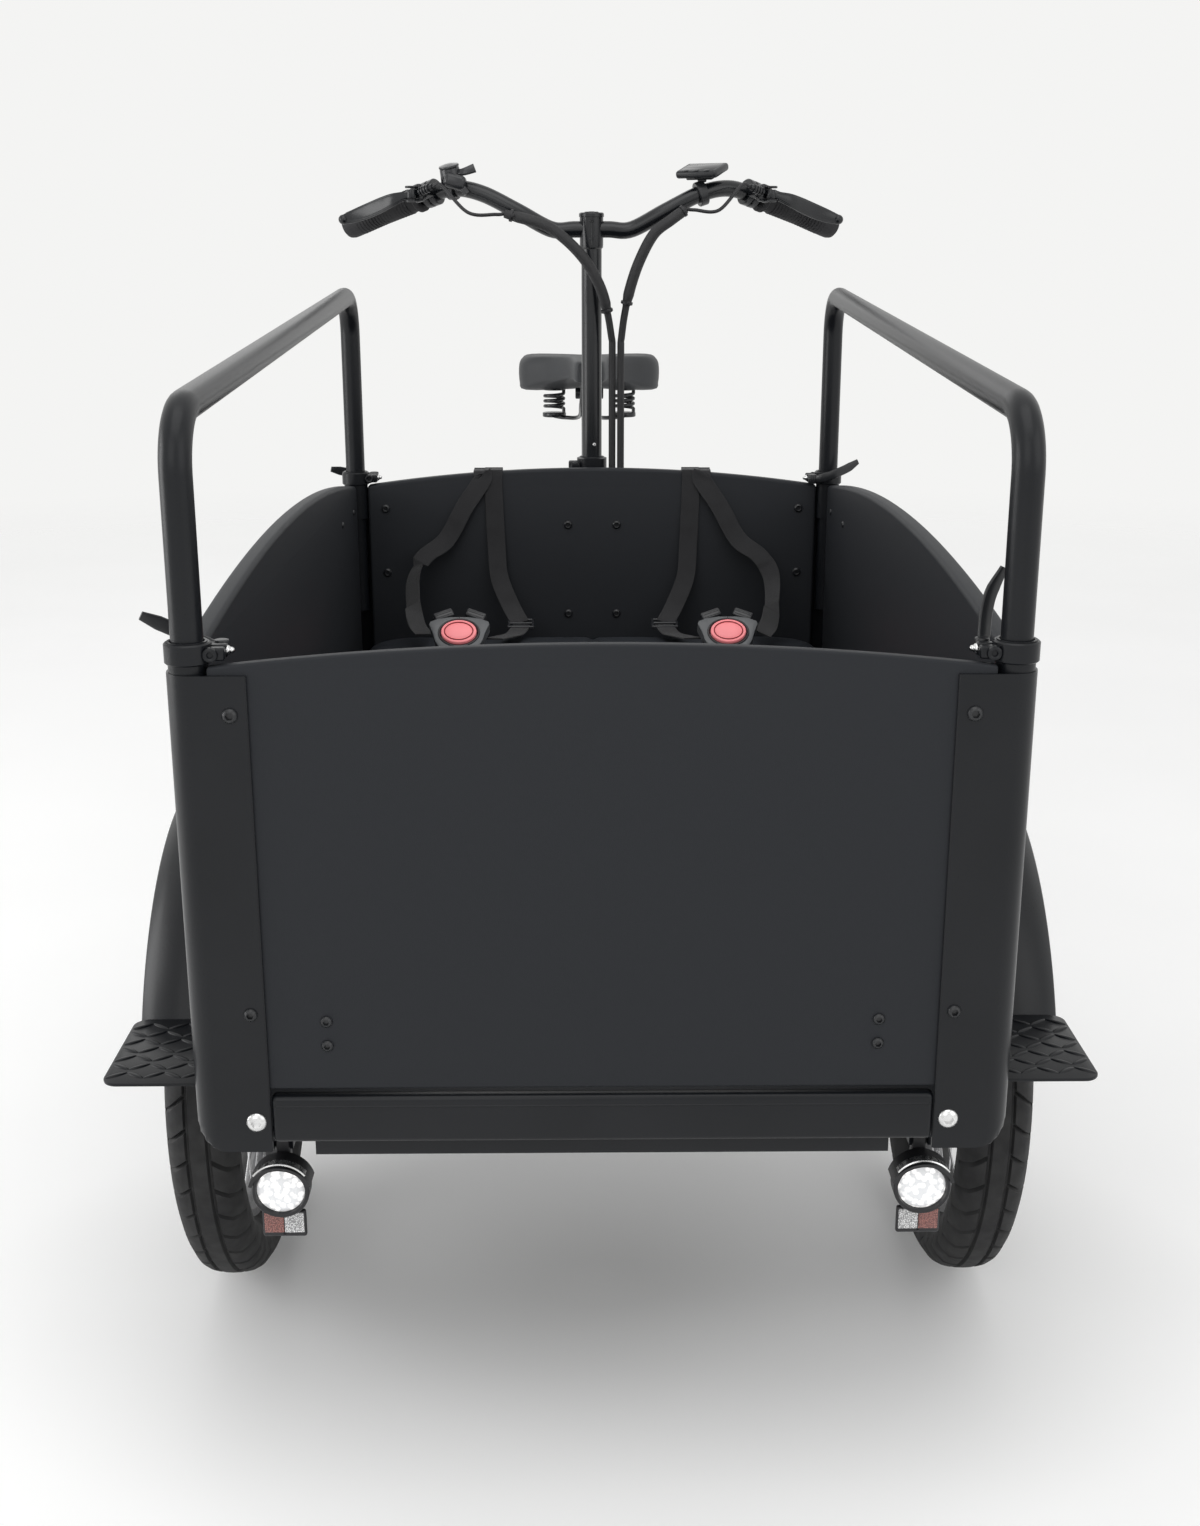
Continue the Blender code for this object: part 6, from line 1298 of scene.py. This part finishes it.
def build_stem():
    top = BAR_HEIGHT
    head = [(0.014, -0.026), (0.0158, -0.024), (0.0162, -0.02), (0.0162, 0.016), (0.0172, 0.0165),
            (0.0172, 0.0205), (0.016, 0.022), (0, 0.0225)]
    shapes = [lathe([(0.0115, 0.6), (0.014, 0.6), (0.014, top - 0.014)], (0, STEM_Y, 0)),
              lathe(head, (0, STEM_Y, top)),
              lathe([(0.0086, 0.0222), (0.0094, 0.0232), (0.0102, 0.0222)], (0, STEM_Y, top)),
              box((0.0012, 0.035, 0.038), (0, STEM_Y, top - 0.002), 0.0003, 1),
              rod((0, STEM_Y, top + 0.0215), (0, STEM_Y, top + 0.0236), 0.0042, 6, bevel=0.0004)]
    shapes += [hex_bolt((0, STEM_Y - 0.0158, top + z), (0, -1, 0), 0.003, 0.0016) for z in (-0.012, 0.011)]
    finish("stem_column", shapes, "gloss_coat", "column", "stem")
    screw = hex_bolt((0.0035, STEM_Y - 0.0139, 0.822), (0, -1, 0), 0.0024, 0.0012)
    finish("stem_screw", screw, "bright", "column")


def build_bracket():
    """The column's sleeve with its collar, webs, four-bolt plate and quick-release knob."""
    outer, inner, low, top = 0.0181, 0.0146, 0.56, 0.804
    rim_low = top - 0.001
    sleeve = [(inner, top), (outer - 0.001, top), (outer, rim_low), (outer, low), (inner, low), (inner, top)]
    flange = outer + 0.003
    collar = [(outer, rim_low), (flange, top - 0.002), (flange, top - 0.021), (outer, top - 0.022)]
    plate_y = RAIL_REAR_Y + SIDE_PANEL / 2 + FIT
    shapes = [lathe(sleeve, (0, STEM_Y, 0)), lathe(collar, (0, STEM_Y, 0)),
              box((0.104, 0.005, 0.17), (0, plate_y + 0.0025, 0.655), 0.002)]
    depth = STEM_Y - outer - plate_y - 0.002
    web = (0.03, depth + 0.003, 0.012)
    shapes += [box(web, (0, plate_y + 0.003 + depth / 2, z), 0.002) for z in (0.586, 0.655, 0.724)]
    knob_x, knob_z = -outer - 0.006, 0.791
    ear = (0.018, 0.0065, 0.014)
    shapes += [box(ear, (knob_x, STEM_Y - 0.004 + y, knob_z), 0.0022) for y in (-0.0048, 0.0048)]
    knob = [(0, -0.008), (0.0045, -0.0078), (0.0064, -0.006), (0.0066, 0.0), (0.0055, 0.002)]
    shapes.append(lathe(knob, (knob_x, STEM_Y - 0.0105, knob_z), "Y", 24))
    for x in (-0.04, 0.04):
        shapes += [hex_bolt((x, plate_y + 0.005, z), (0, 1, 0), 0.006) for z in (0.591, 0.717)]
    finish("column_bracket", shapes, "coat", covers="steering_bracket")


def lever_perch(sx):
    """A brake lever's clamp on the bar, its block, bolts and forks, and the cable's adjuster."""
    start, along, ahead = grip_frame(sx)
    turn = Matrix((along, ahead, along.cross(ahead))).transposed().to_4x4()
    ring, pin = start - along * 0.022, from_grip(sx, LEVER_FROM_GRIP)
    cheek = band(BAND_BORE, 0.0178, 0.0, 0.009, 0.0013, 0.0012)
    shapes = [lathe(cheek, ring + along * step, along) for step in (-0.002, 0.0085)]
    shapes += [box((0.0215, 0.03, 0.0185), ring + along * 0.0075 + ahead * 0.018, 0.0055, 4, turn),
               box((0.015, 0.012, 0.0235), pin - ahead * 0.0129 - along * 0.004, 0.0035, 3, turn)]
    for out in (0.0015, 0.0145):
        spot = ring + along * out + ahead * 0.015 + UP * 0.0088
        shapes.append(hex_bolt(spot, UP, 0.0026, 0.0018))
    shapes += [rod(pin + UP * up, pin + UP * up * 1.4, 0.0084, 28, bevel=0.0008) for up in (0.0075, -0.0075)]
    spot, ridge = from_grip(sx, ADJUSTER_FROM_GRIP), 0.0045
    for inner in [ridge * index for index in range(4)]:
        shapes.append(rod(spot - along * inner, spot - along * (inner + 0.0036), 0.006, 20, bevel=0.0006))
    shapes.append(rod(spot + along * 0.004, spot - along * 0.0225, 0.004, 20, bevel=0.0005))
    return shapes


def build_bar():
    half = [*smooth_route([(0.024, 0, 0), *BAR_POINTS[1:6]], 34), BAR_POINTS[6]]
    left, right = [[on_bar(sx, point) for point in half] for sx in (-1, 1)]
    bar = tube(left[::-1] + right, BAR_RADIUS, sides=9)
    finish("bar", [bar, *lever_perch(-1), *lever_perch(1)], "gloss_coat", "column", "handlebar")


def build_shifter():
    ring, count = on_bar(-1, BAR_POINTS[4]), 14
    crown = [(0.009, 0), (0.0134, 0.0004), (0.0142, 0.0022), (0.0134, 0.004), (0.005, 0.0058), (0, 0.006)]
    foot, head = ring + Vector((0, -0.002, 0.006)), ring + Vector((-0.005, -0.008, 0.0295))
    shapes = [rod(foot, head, 0.0155, 48, 0.013, 0.004),
              lathe(crown, ring + Vector((-0.0042, -0.0072, 0.0262)), (-0.18, -0.22, 0.95), 40),
              box((0.03, 0.024, 0.02), ring + Vector((0.004, -0.016, 0.008)), 0.0065, 4,
                  Matrix.Rotation(0.25, 4, "Y")),
              lathe(band(BAND_BORE, 0.0152, -0.006, 0.006, 0.0007, 0.001), ring,
                    on_bar(-1, BAR_POINTS[5]) - on_bar(-1, BAR_POINTS[3]))]
    upper = ((0.004, -0.01, 0.02), (0.016, -0.016, 0.021), (0.031, -0.014, 0.026))
    lower = ((0.002, -0.014, 0.008), (0.012, -0.022, 0.002), (0.02, -0.024, -0.008))
    for points, wide in ((upper, 0.0125), (lower, 0.0105)):
        route = smooth_route([ring + Vector(point) for point in points], count)
        widths = [wide * (0.65 + 0.35 * i / (count - 1)) for i in range(count)]
        shapes.append(strip(route, widths, 0.0046, (0, 0.3, 1)))
    finish("shifter", shapes, "gloss", "column")


def build_grips():
    length = (Vector(BAR_POINTS[6]) - Vector(BAR_POINTS[5])).length - 0.004
    r, last = GRIP_RADIUS, 17
    profile = [(0.0113, 0), (r * 1.12, 0), (r * 1.15, 0.001), (r * 1.15, 0.007), (r * 1.08, 0.0085),
               (r * 0.95, 0.01)]
    swells = ((0.15, 0.97), (0.25, 1.0), (0.35, 1.02), (0.48, 1.0), (0.6, 0.98), (0.72, 1.04), (0.82, 1.1),
              (0.92, 1.13))
    profile += [(r * swell, length * share) for share, swell in swells]
    profile += [(r * 1.12, length - 0.004), (r * 1.04, length + 0.001), (r * 0.9, length + 0.003),
                (0, length + 0.0038)]
    for sx, side in SIDES:
        start, along, _ = grip_frame(sx)
        start = start + along * 0.003
        shapes = [lathe(profile, start, along, 40)]
        for share in [index / last for index in range(last + 1)]:
            out = r * (1.0 + 0.09 * max(0.0, share - 0.55) / 0.45)
            foot, crest = out - 0.0012, out + 0.0005
            rib = [(foot, -0.0009), (crest, -0.0004), (crest, 0.0004), (foot, 0.0009)]
            shapes.append(lathe(rib, start + along * length * (0.16 + 0.66 * share), along, 32))
        finish(f"hand_grip_{side}", shapes, "grip", "column", f"grip_{side}")


def build_brake_levers():
    """Rimmed blades, wider in the middle, with a ball at the tip and a boss in the perch."""
    steps = ((0, 0), (0.012, 0.004), (0.03, 0.007), (0.052, 0.004), (0.076, 0.0015), (0.1, 0.003),
             (0.116, 0.007))
    widths = smooth_numbers((0.01, 0.0095, 0.015, 0.018, 0.018, 0.015, 0.0095), 36)
    for sx, side in SIDES:
        _, along, ahead = grip_frame(sx)
        pin = from_grip(sx, LEVER_FROM_GRIP)
        route = smooth_route([pin + along * a + ahead * b for a, b in steps], 36)
        shapes = [strip(route, widths, 0.0056, UP, 10)]
        for up in (0.47, -0.47):
            edge = [point + UP * up * wide for point, wide in zip(route[5:], widths[5:])]
            shapes.append(tube(edge, 0.0021, sides=4))
        shapes += [bar_through(pin, UP * 0.0057, 0.0067, 32, 0.0008), ball(route[-1], 0.0067, sides=28)]
        body = f"brake_lever_{side}"
        finish(f"lever_blade_{side}", shapes, "gloss_coat", body, body)


def build_display():
    centre = on_bar(1, BAR_POINTS[3])
    along = on_bar(1, BAR_POINTS[4]) - on_bar(1, BAR_POINTS[2])
    ring = lathe(band(BAND_BORE, 0.0165, -0.006, 0.006, 0.0007, 0.001), centre, along)
    neck = box((0.012, 0.01, 0.012), centre + Vector((0.001, -0.001, 0.0205)), 0.002)
    case = [box((0.062, 0.043, 0.0105), (0, 0, 0), 0.004, 4),
            box((0.04, 0.026, 0.006), (0, 0, -0.0065), 0.0024)]
    case += [box((0.008, 0.0045, 0.002), (x, -0.0185, 0.005), 0.0008, 2) for x in (-0.016, 0, 0.016)]
    screen = box((0.05, 0.033, 0.0012), (0, 0, 0.0048), 0.0005, 2)
    spot = centre + Vector((0.001, -0.002, 0.0295))
    for shape in (*case, screen):
        shape.transform(Matrix.Translation(spot) @ turned(-30, "Z") @ turned(17, "X"))
    finish("display_case", [ring, neck, *case], "satin", "column", "display")
    finish("display_glass", screen, "glass", "column")


def build_brake_cables():
    """A thin cable from each lever's adjuster to the braided sleeve beside it."""
    for sx, side, sleeve_top in ((1, "left", SLEEVE_TO_LEFT[0]), (-1, "right", SLEEVE_TO_RIGHT[0])):
        along = grip_frame(sx)[1]
        start, end = from_grip(sx, ADJUSTER_FROM_GRIP) - along * ADJUSTER_END, on_bar(1, sleeve_top)
        low = (start + end) / 2 + Vector((0, -0.014, -0.016))
        route = smooth_route([start, start - along * 0.016 - UP * 0.003, low,
                              end + Vector((sx * 0.012, -0.003, -0.001)), end], 60)
        line = tube(route, BRAKE_CABLE_RADIUS, sides=4)
        line = finish(f"brake_cable_{side}", line, "black", "column")


def build_cables():
    """Two cables down the column, each in a braided sleeve for its first part, with a tie at both ends."""
    shares = (0.04, 0.08, 0.16, 0.25, 0.375, 0.5, 0.625, 0.75, 0.875, 1.0)
    tie_band = [(0.006, -0.0022), (0.0082, -0.0018), (0.0084, 0.0), (0.0082, 0.0018), (0.006, 0.0022)]
    for side, points, last in (("right", SLEEVE_TO_RIGHT, 57), ("left", SLEEVE_TO_LEFT, 53)):
        head = smooth_route([on_bar(1, point) for point in points], 70)
        x, end = points[-1][0], head[-1].z
        tail = [Vector((x, STEM_Y - 0.014, end - (end - CABLE_FOOT) * share)) for share in shares]
        route = smooth_route(head + tail, 160)
        strand = tube(route, SLEEVE_RADIUS, [STRAND_SHARE] * len(route), 5)
        strand = finish(f"cable_{side}", strand, "sleeve", "column", f"cable_sleeve_{side}")
        taper = [min(1.0, 0.72 + 0.07 * min(i, last - i)) for i in range(last + 1)]
        sleeve = tube(head[: last + 1], SLEEVE_RADIUS, taper, 7)
        sleeve = finish(f"braided_sleeve_{side}", sleeve, "sleeve", "column")
        ties = []
        for index in (2, last - 1):
            ties += [lathe(tie_band, head[index], head[index + 1] - head[index - 1], 24),
                     box((0.0045, 0.0045, 0.0045), head[index] + Vector((0.002, -0.008, 0)), 0.0008, 2)]
        tie = finish(f"cable_ties_{side}", ties, "black", "column")


# Saddle with its springs and post


def saddle_cover():
    """Skinned over sections down its length, each with its share of the width, its sag and its depth."""
    stations = ((0, 0.1, 0.01, 0.45), (0.03, 0.21, 0.003, 0.53), (0.35, 0.3, 0, 0.6),
                (0.55, 0.56, 0.002, 0.72), (0.7, 0.92, 0.004, 0.92), (0.86, 1, 0.003, 1),
                (0.96, 0.93, 0.006, 0.94), (1, 0.75, 0.016, 0.72))
    spread = ((0, 0.003), (0.45, 0.001), (0.84, 0.0012), (0.955, 0.008), (1, 0.021), (0.995, 0.78), (0.93, 1),
              (0.45, 1), (0, 0.95))
    shares = smooth_route([station[1:] for station in stations], 44)
    places = smooth_numbers([station[0] for station in stations], 44)
    rings = []
    for share, (half, sag, deep) in zip(places, shares):
        section = []
        for across, drop in spread:
            z = SADDLE_TOP - sag - (drop if drop < 0.5 else deep * SADDLE_THICKNESS * drop)
            section.append((half * SADDLE_WIDTH / 2 * across, SADDLE_FRONT_Y + SADDLE_LENGTH * share, z))
        section = smooth_route(section, 26)
        for point in section:
            point.x = max(0.0, point.x)
        rings.append(section + [Vector((-point.x, point.y, point.z)) for point in section[-2:0:-1]])
    cover = skin(rings)
    return bevelled(cover, sharp_edges(cover, 50), 0.004, 4)


def coil(x, y, low, high):
    """A spring's wire from its lower seat to its upper one."""
    turn_steps, wire = 24, SPRING_WIRE
    steps = SPRING_CURLS * turn_steps
    points = [Vector((x + SPRING_RADIUS, y, low))]
    for i in range(steps + 1):
        a = 2 * pi * i / turn_steps
        lift = low + 2 * wire + (high - low - 4 * wire) * i / steps
        points.append(Vector((x + SPRING_RADIUS * cos(a), y + SPRING_RADIUS * sin(a), lift)))
    points.append(Vector((x + SPRING_RADIUS, y, high)))
    return tube(points, wire, sides=3)


def build_saddle():
    cover = finish("saddle_cover", saddle_cover(), "saddle", "seat", "saddle", angle=50)
    under = SADDLE_TOP - SADDLE_THICKNESS - 0.002
    low, y = under - SPRING_HEIGHT, SADDLE_FRONT_Y + SADDLE_LENGTH - 0.062
    rails, seats = [], []
    for sx, side in SIDES:
        x = sx * SPRING_X
        line = [(sx * 0.01, SADDLE_FRONT_Y + 0.03, SADDLE_TOP - SADDLE_THICKNESS * 0.45),
                (sx * 0.014, SADDLE_FRONT_Y + 0.06, under - 0.012),
                (sx * 0.018, SADDLE_REAR_Y + 0.005, low - 0.004), (sx * 0.042, y - 0.012, low - 0.0085),
                (x, y, low - 0.007)]
        rails.append(tube(smooth_route(line, 40), 0.0035, sides=4))
        for bottom, top in ((low - 0.008, low - FIT), (under, under + 0.014)):
            seats.append(rod((x, y, bottom), (x, y, top), SPRING_RADIUS + 0.004, 36, bevel=0.0015))
        finish(f"seat_spring_{side}", coil(x, y, low, under), "gloss_coat", "seat", f"saddle_spring_{side}")
    finish("saddle_rails", rails + seats, "gloss_coat", "seat")
    clamp = bar_through((0, SADDLE_REAR_Y, low + 0.036), (0.024, 0, 0), 0.0095, 28, 0.002)
    finish("saddle_clamp", clamp, "coat", "seat")


# Rear frame and wheel


def build_rear_frame():
    """Main tube, head, bottom bracket, seat tube with its collar, brace, axle, stays and dropouts."""
    pivot, bracket, axle = Vector((0, PIVOT_Y, BRACKET[2])), Vector(BRACKET), Vector(REAR_AXLE)
    side = Vector((1, 0, 0))
    collar = [SEAT_TOP - SEAT_LINE * down for down in (0.02, 0.003)]
    lug = SEAT_TOP - SEAT_LINE * 0.012 + Vector((0, 0.0265, 0.004))
    shapes = [rod(pivot, bracket, 0.022, 40),
              lathe(band(0, 0.03, 0.262, 0.3105, 0.0015, 0.0015), (0, PIVOT_Y, 0)),
              bar_through(bracket, side * 0.034, 0.021, 40, 0.0015),
              rod(bracket, SEAT_TOP, 0.0165, 36), rod(*collar, 0.02, 36, bevel=0.0015),
              rod(pivot.lerp(bracket, 0.62) + UP * 0.008, bracket + SEAT_LINE * 0.15, 0.0125, 28),
              bar_through(axle, side * 0.08, 0.006, 20), box((0.014, 0.02, 0.014), lug, 0.003)]
    dropout = [(-0.036, -0.012), (-0.01, -0.018), (0.012, -0.018), (0.018, 0), (0.008, 0.022),
               (-0.01, 0.04), (-0.024, 0.036)]
    for sx, _ in SIDES:
        low = [bracket + Vector((sx * 0.022, 0.006, 0)), axle + Vector((sx * STAY_BEND_X, -0.3283, -0.035)),
               axle + Vector((sx * DROPOUT_X, -0.022, -0.004))]
        start = SEAT_TOP - SEAT_LINE * 0.04 + Vector((sx * 0.013, 0.006, 0))
        end = axle + Vector((sx * DROPOUT_X, -0.014, 0.02))
        bend = start.lerp(end, 0.16)
        bend.x = sx * STAY_BEND_X
        shapes += [tube(smooth_route(line, 28), STAY_RADIUS, sides=6) for line in (low, (start, bend, end))]
        plate = [(axle.y + y, axle.z + z) for y, z in dropout]
        nut = axle + side * sx * (DROPOUT_X + 0.0025)
        shapes += [slab(plate, 0.006, upright_x(sx * DROPOUT_X), 0.0016),
                   rod(nut, nut + side * sx * 0.009, 0.0115, 6, bevel=0.0012)]
    finish("rear_chassis", shapes, "coat", "rear_frame", "rear_frame")


def build_rear_fender():
    low, top, half, last = MUDGUARD_LOW, MUDGUARD_TOP, MUDGUARD_HALF, 71
    edges = ((-1, low - 0.008), (-0.85, low - 0.003), (-0.6, top - 0.0012), (-0.25, top))
    line = [(half * share, r) for share, r in edges] + [(-half * share, r) for share, r in reversed(edges)]
    section = line + [(x * 0.94, r - 0.002) for x, r in reversed(line)]
    axle = Vector(REAR_AXLE)

    def around(x, r, degrees_back):
        turn = radians(degrees_back)
        return axle + Vector((x, -r * sin(turn), r * cos(turn)))

    turns = [MUDGUARD_START - MUDGUARD_SWEEP * i / last for i in range(last + 1)]
    shapes = [skin([[around(x, r, turn) for x, r in section] for turn in turns])]
    for sx, _ in SIDES:
        stay = [around(sx * (half - 0.001), low - 0.006, -72)]
        stay += [axle + Vector((sx * 0.0805, y, z)) for y, z in ((0.06, 0.012), (0.004, 0.016))]
        shapes.append(tube(smooth_route(stay, 24), 0.0022, sides=4))
    finish("rear_mudguard", shapes, "satin", "rear_frame", "rear_fender")


def build_rear_wheel():
    hub = [(0.0075, 0.05), (0.019, 0.05), (0.021, 0.048), (0.024, 0.042), (0.076, 0.0365), (0.08, 0.034),
           (0.084, 0.026), (0.0845, 0.022), (0.082, 0.02), (0.082, -0.018), (0.0845, -0.02),
           (0.084, -0.024), (0.078, -0.033), (0.072, -0.0345), (0.02, -0.038), (0.0075, -0.04)]
    wheel = "rear_wheel"
    finish("rear_rim", [rim(REAR_AXLE, REAR_RIM), lathe(hub, REAR_AXLE, "X", 72)], "dark_steel", wheel, wheel)
    finish("rear_spokes", spokes(REAR_AXLE, 0.082, 0.269, 0.2), "steel", wheel)
    rubber = tyre(REAR_AXLE, REAR_RADIUS, REAR_BEAD, REAR_TYRE_WIDTH, REAR_SIPES)
    finish("rear_tread", rubber, "tyre", wheel, "rear_tyre")


# Chain drive


def turned_spot(centre, reach, angle):
    return centre + reach * Vector((cos(angle), sin(angle)))


def chain_place(s, small, large, rear, front):
    """The chain's place at a distance along its loop, in the plane (along, up), and the loop's length."""
    span = rear - front
    tilt, lean = atan2(span.y, span.x), asin((large - small) / span.length)
    run = sqrt(span.length**2 - (large - small) ** 2)
    rear_wrap, front_wrap = small * (pi - 2 * lean), large * (pi + 2 * lean)
    total = 2 * run + rear_wrap + front_wrap
    above, below = tilt + pi / 2 - lean, tilt - pi / 2 + lean
    s %= total
    if s < rear_wrap:
        return turned_spot(rear, small, below + s / small), total
    s -= rear_wrap
    if s < run:
        return turned_spot(turned_spot(rear, small, above), s, above + pi / 2), total
    s -= run
    if s < front_wrap:
        return turned_spot(front, large, above + s / large), total
    return turned_spot(turned_spot(front, large, below), s - front_wrap, below + pi / 2), total


def build_chain():
    """Links seated on both toothed wheels: two plates each, wider on every second one, pin and roller."""
    small, large = [CHAIN_PITCH / (2 * sin(pi / teeth)) for teeth in (SPROCKET_TEETH, CHAINRING_TEETH)]
    loop = (small, large, Vector(REAR_AXLE[1:]), Vector(BRACKET[1:]))
    total = chain_place(0, *loop)[1]
    count = 2 * round(total / CHAIN_PITCH / 2)
    outline = arc((-CHAIN_PITCH / 2, 0), 0.0042, 90, 270, 6) + [(0, -0.003)]
    outline += arc((CHAIN_PITCH / 2, 0), 0.0042, -90, 90, 6) + [(0, 0.003)]
    links = []
    for link in range(count):
        (y, z), ahead = [chain_place((link + step) * total / count, *loop)[0] for step in (0, 1)]
        turn = Matrix.Rotation(atan2(ahead.y - z, ahead.x - y), 4, "Z")
        place = moved((y + ahead.x) / 2, (z + ahead.y) / 2) @ turn
        offset, sheet = (0.0031, 0.0008) if link % 2 else (0.0023, 0.0007)
        links += [slab(outline, sheet, upright_x(side * offset - CHAIN_LINE) @ place) for side in (-1, 1)]
        for reach, radius, sides in ((0.0034, 0.0018, 8), (0.0018, 0.0031, 10)):
            links.append(bar_through((-CHAIN_LINE, y, z), (reach, 0, 0), radius, sides))
    finish("chain_links", links, "dark_steel", "rear_frame", "chain")


def softened(node, look, body):
    """A solid as it stands, with its sharp edges rounded."""
    solid = frame["nodes"][node]
    shape = bmesh.new()
    shape.from_mesh(solid.data)
    shape.transform(solid.matrix_world)
    bmesh.ops.remove_doubles(shape, verts=shape.verts[:], dist=0.00002)
    bmesh.ops.dissolve_limit(shape, angle_limit=radians(0.5), verts=shape.verts[:], edges=shape.edges[:])
    finish(f"{node}_finished", soften(shape, 0.0008, 2, 40), look, body, node)


def dress_nodes():
    """Gives each solid that stays the look of its slot."""
    slots = {entry["node"]: entry["material_slot"] for entry in frame["record"]["subparts"]}
    for name, node in frame["nodes"].items():
        for slot in node.material_slots:
            slot.material = LOOKS[NODE_LOOKS[slots[name]]]


build_posts()
build_panels()
build_bolts()
build_rails()
build_front_wheels()
build_fenders()
build_lamps()
build_cushion()
for sx, side in SIDES:
    harness(sx, side)
    buckle(sx, side)
build_stem()
build_bracket()
build_bar()
build_shifter()
build_grips()
build_brake_levers()
build_display()
build_brake_cables()
build_cables()
build_saddle()
build_rear_frame()
build_rear_fender()
build_rear_wheel()
build_chain()
softened("front_chassis", "coat", "carriage")
softened("bench_board", "panel", "carriage")
softened("battery", "black", "battery")
softened("crankset", "gloss_coat", "crankset")
softened("pedal_right", "black", "pedal_right")
softened("pedal_left", "black", "pedal_left")
dress_nodes()
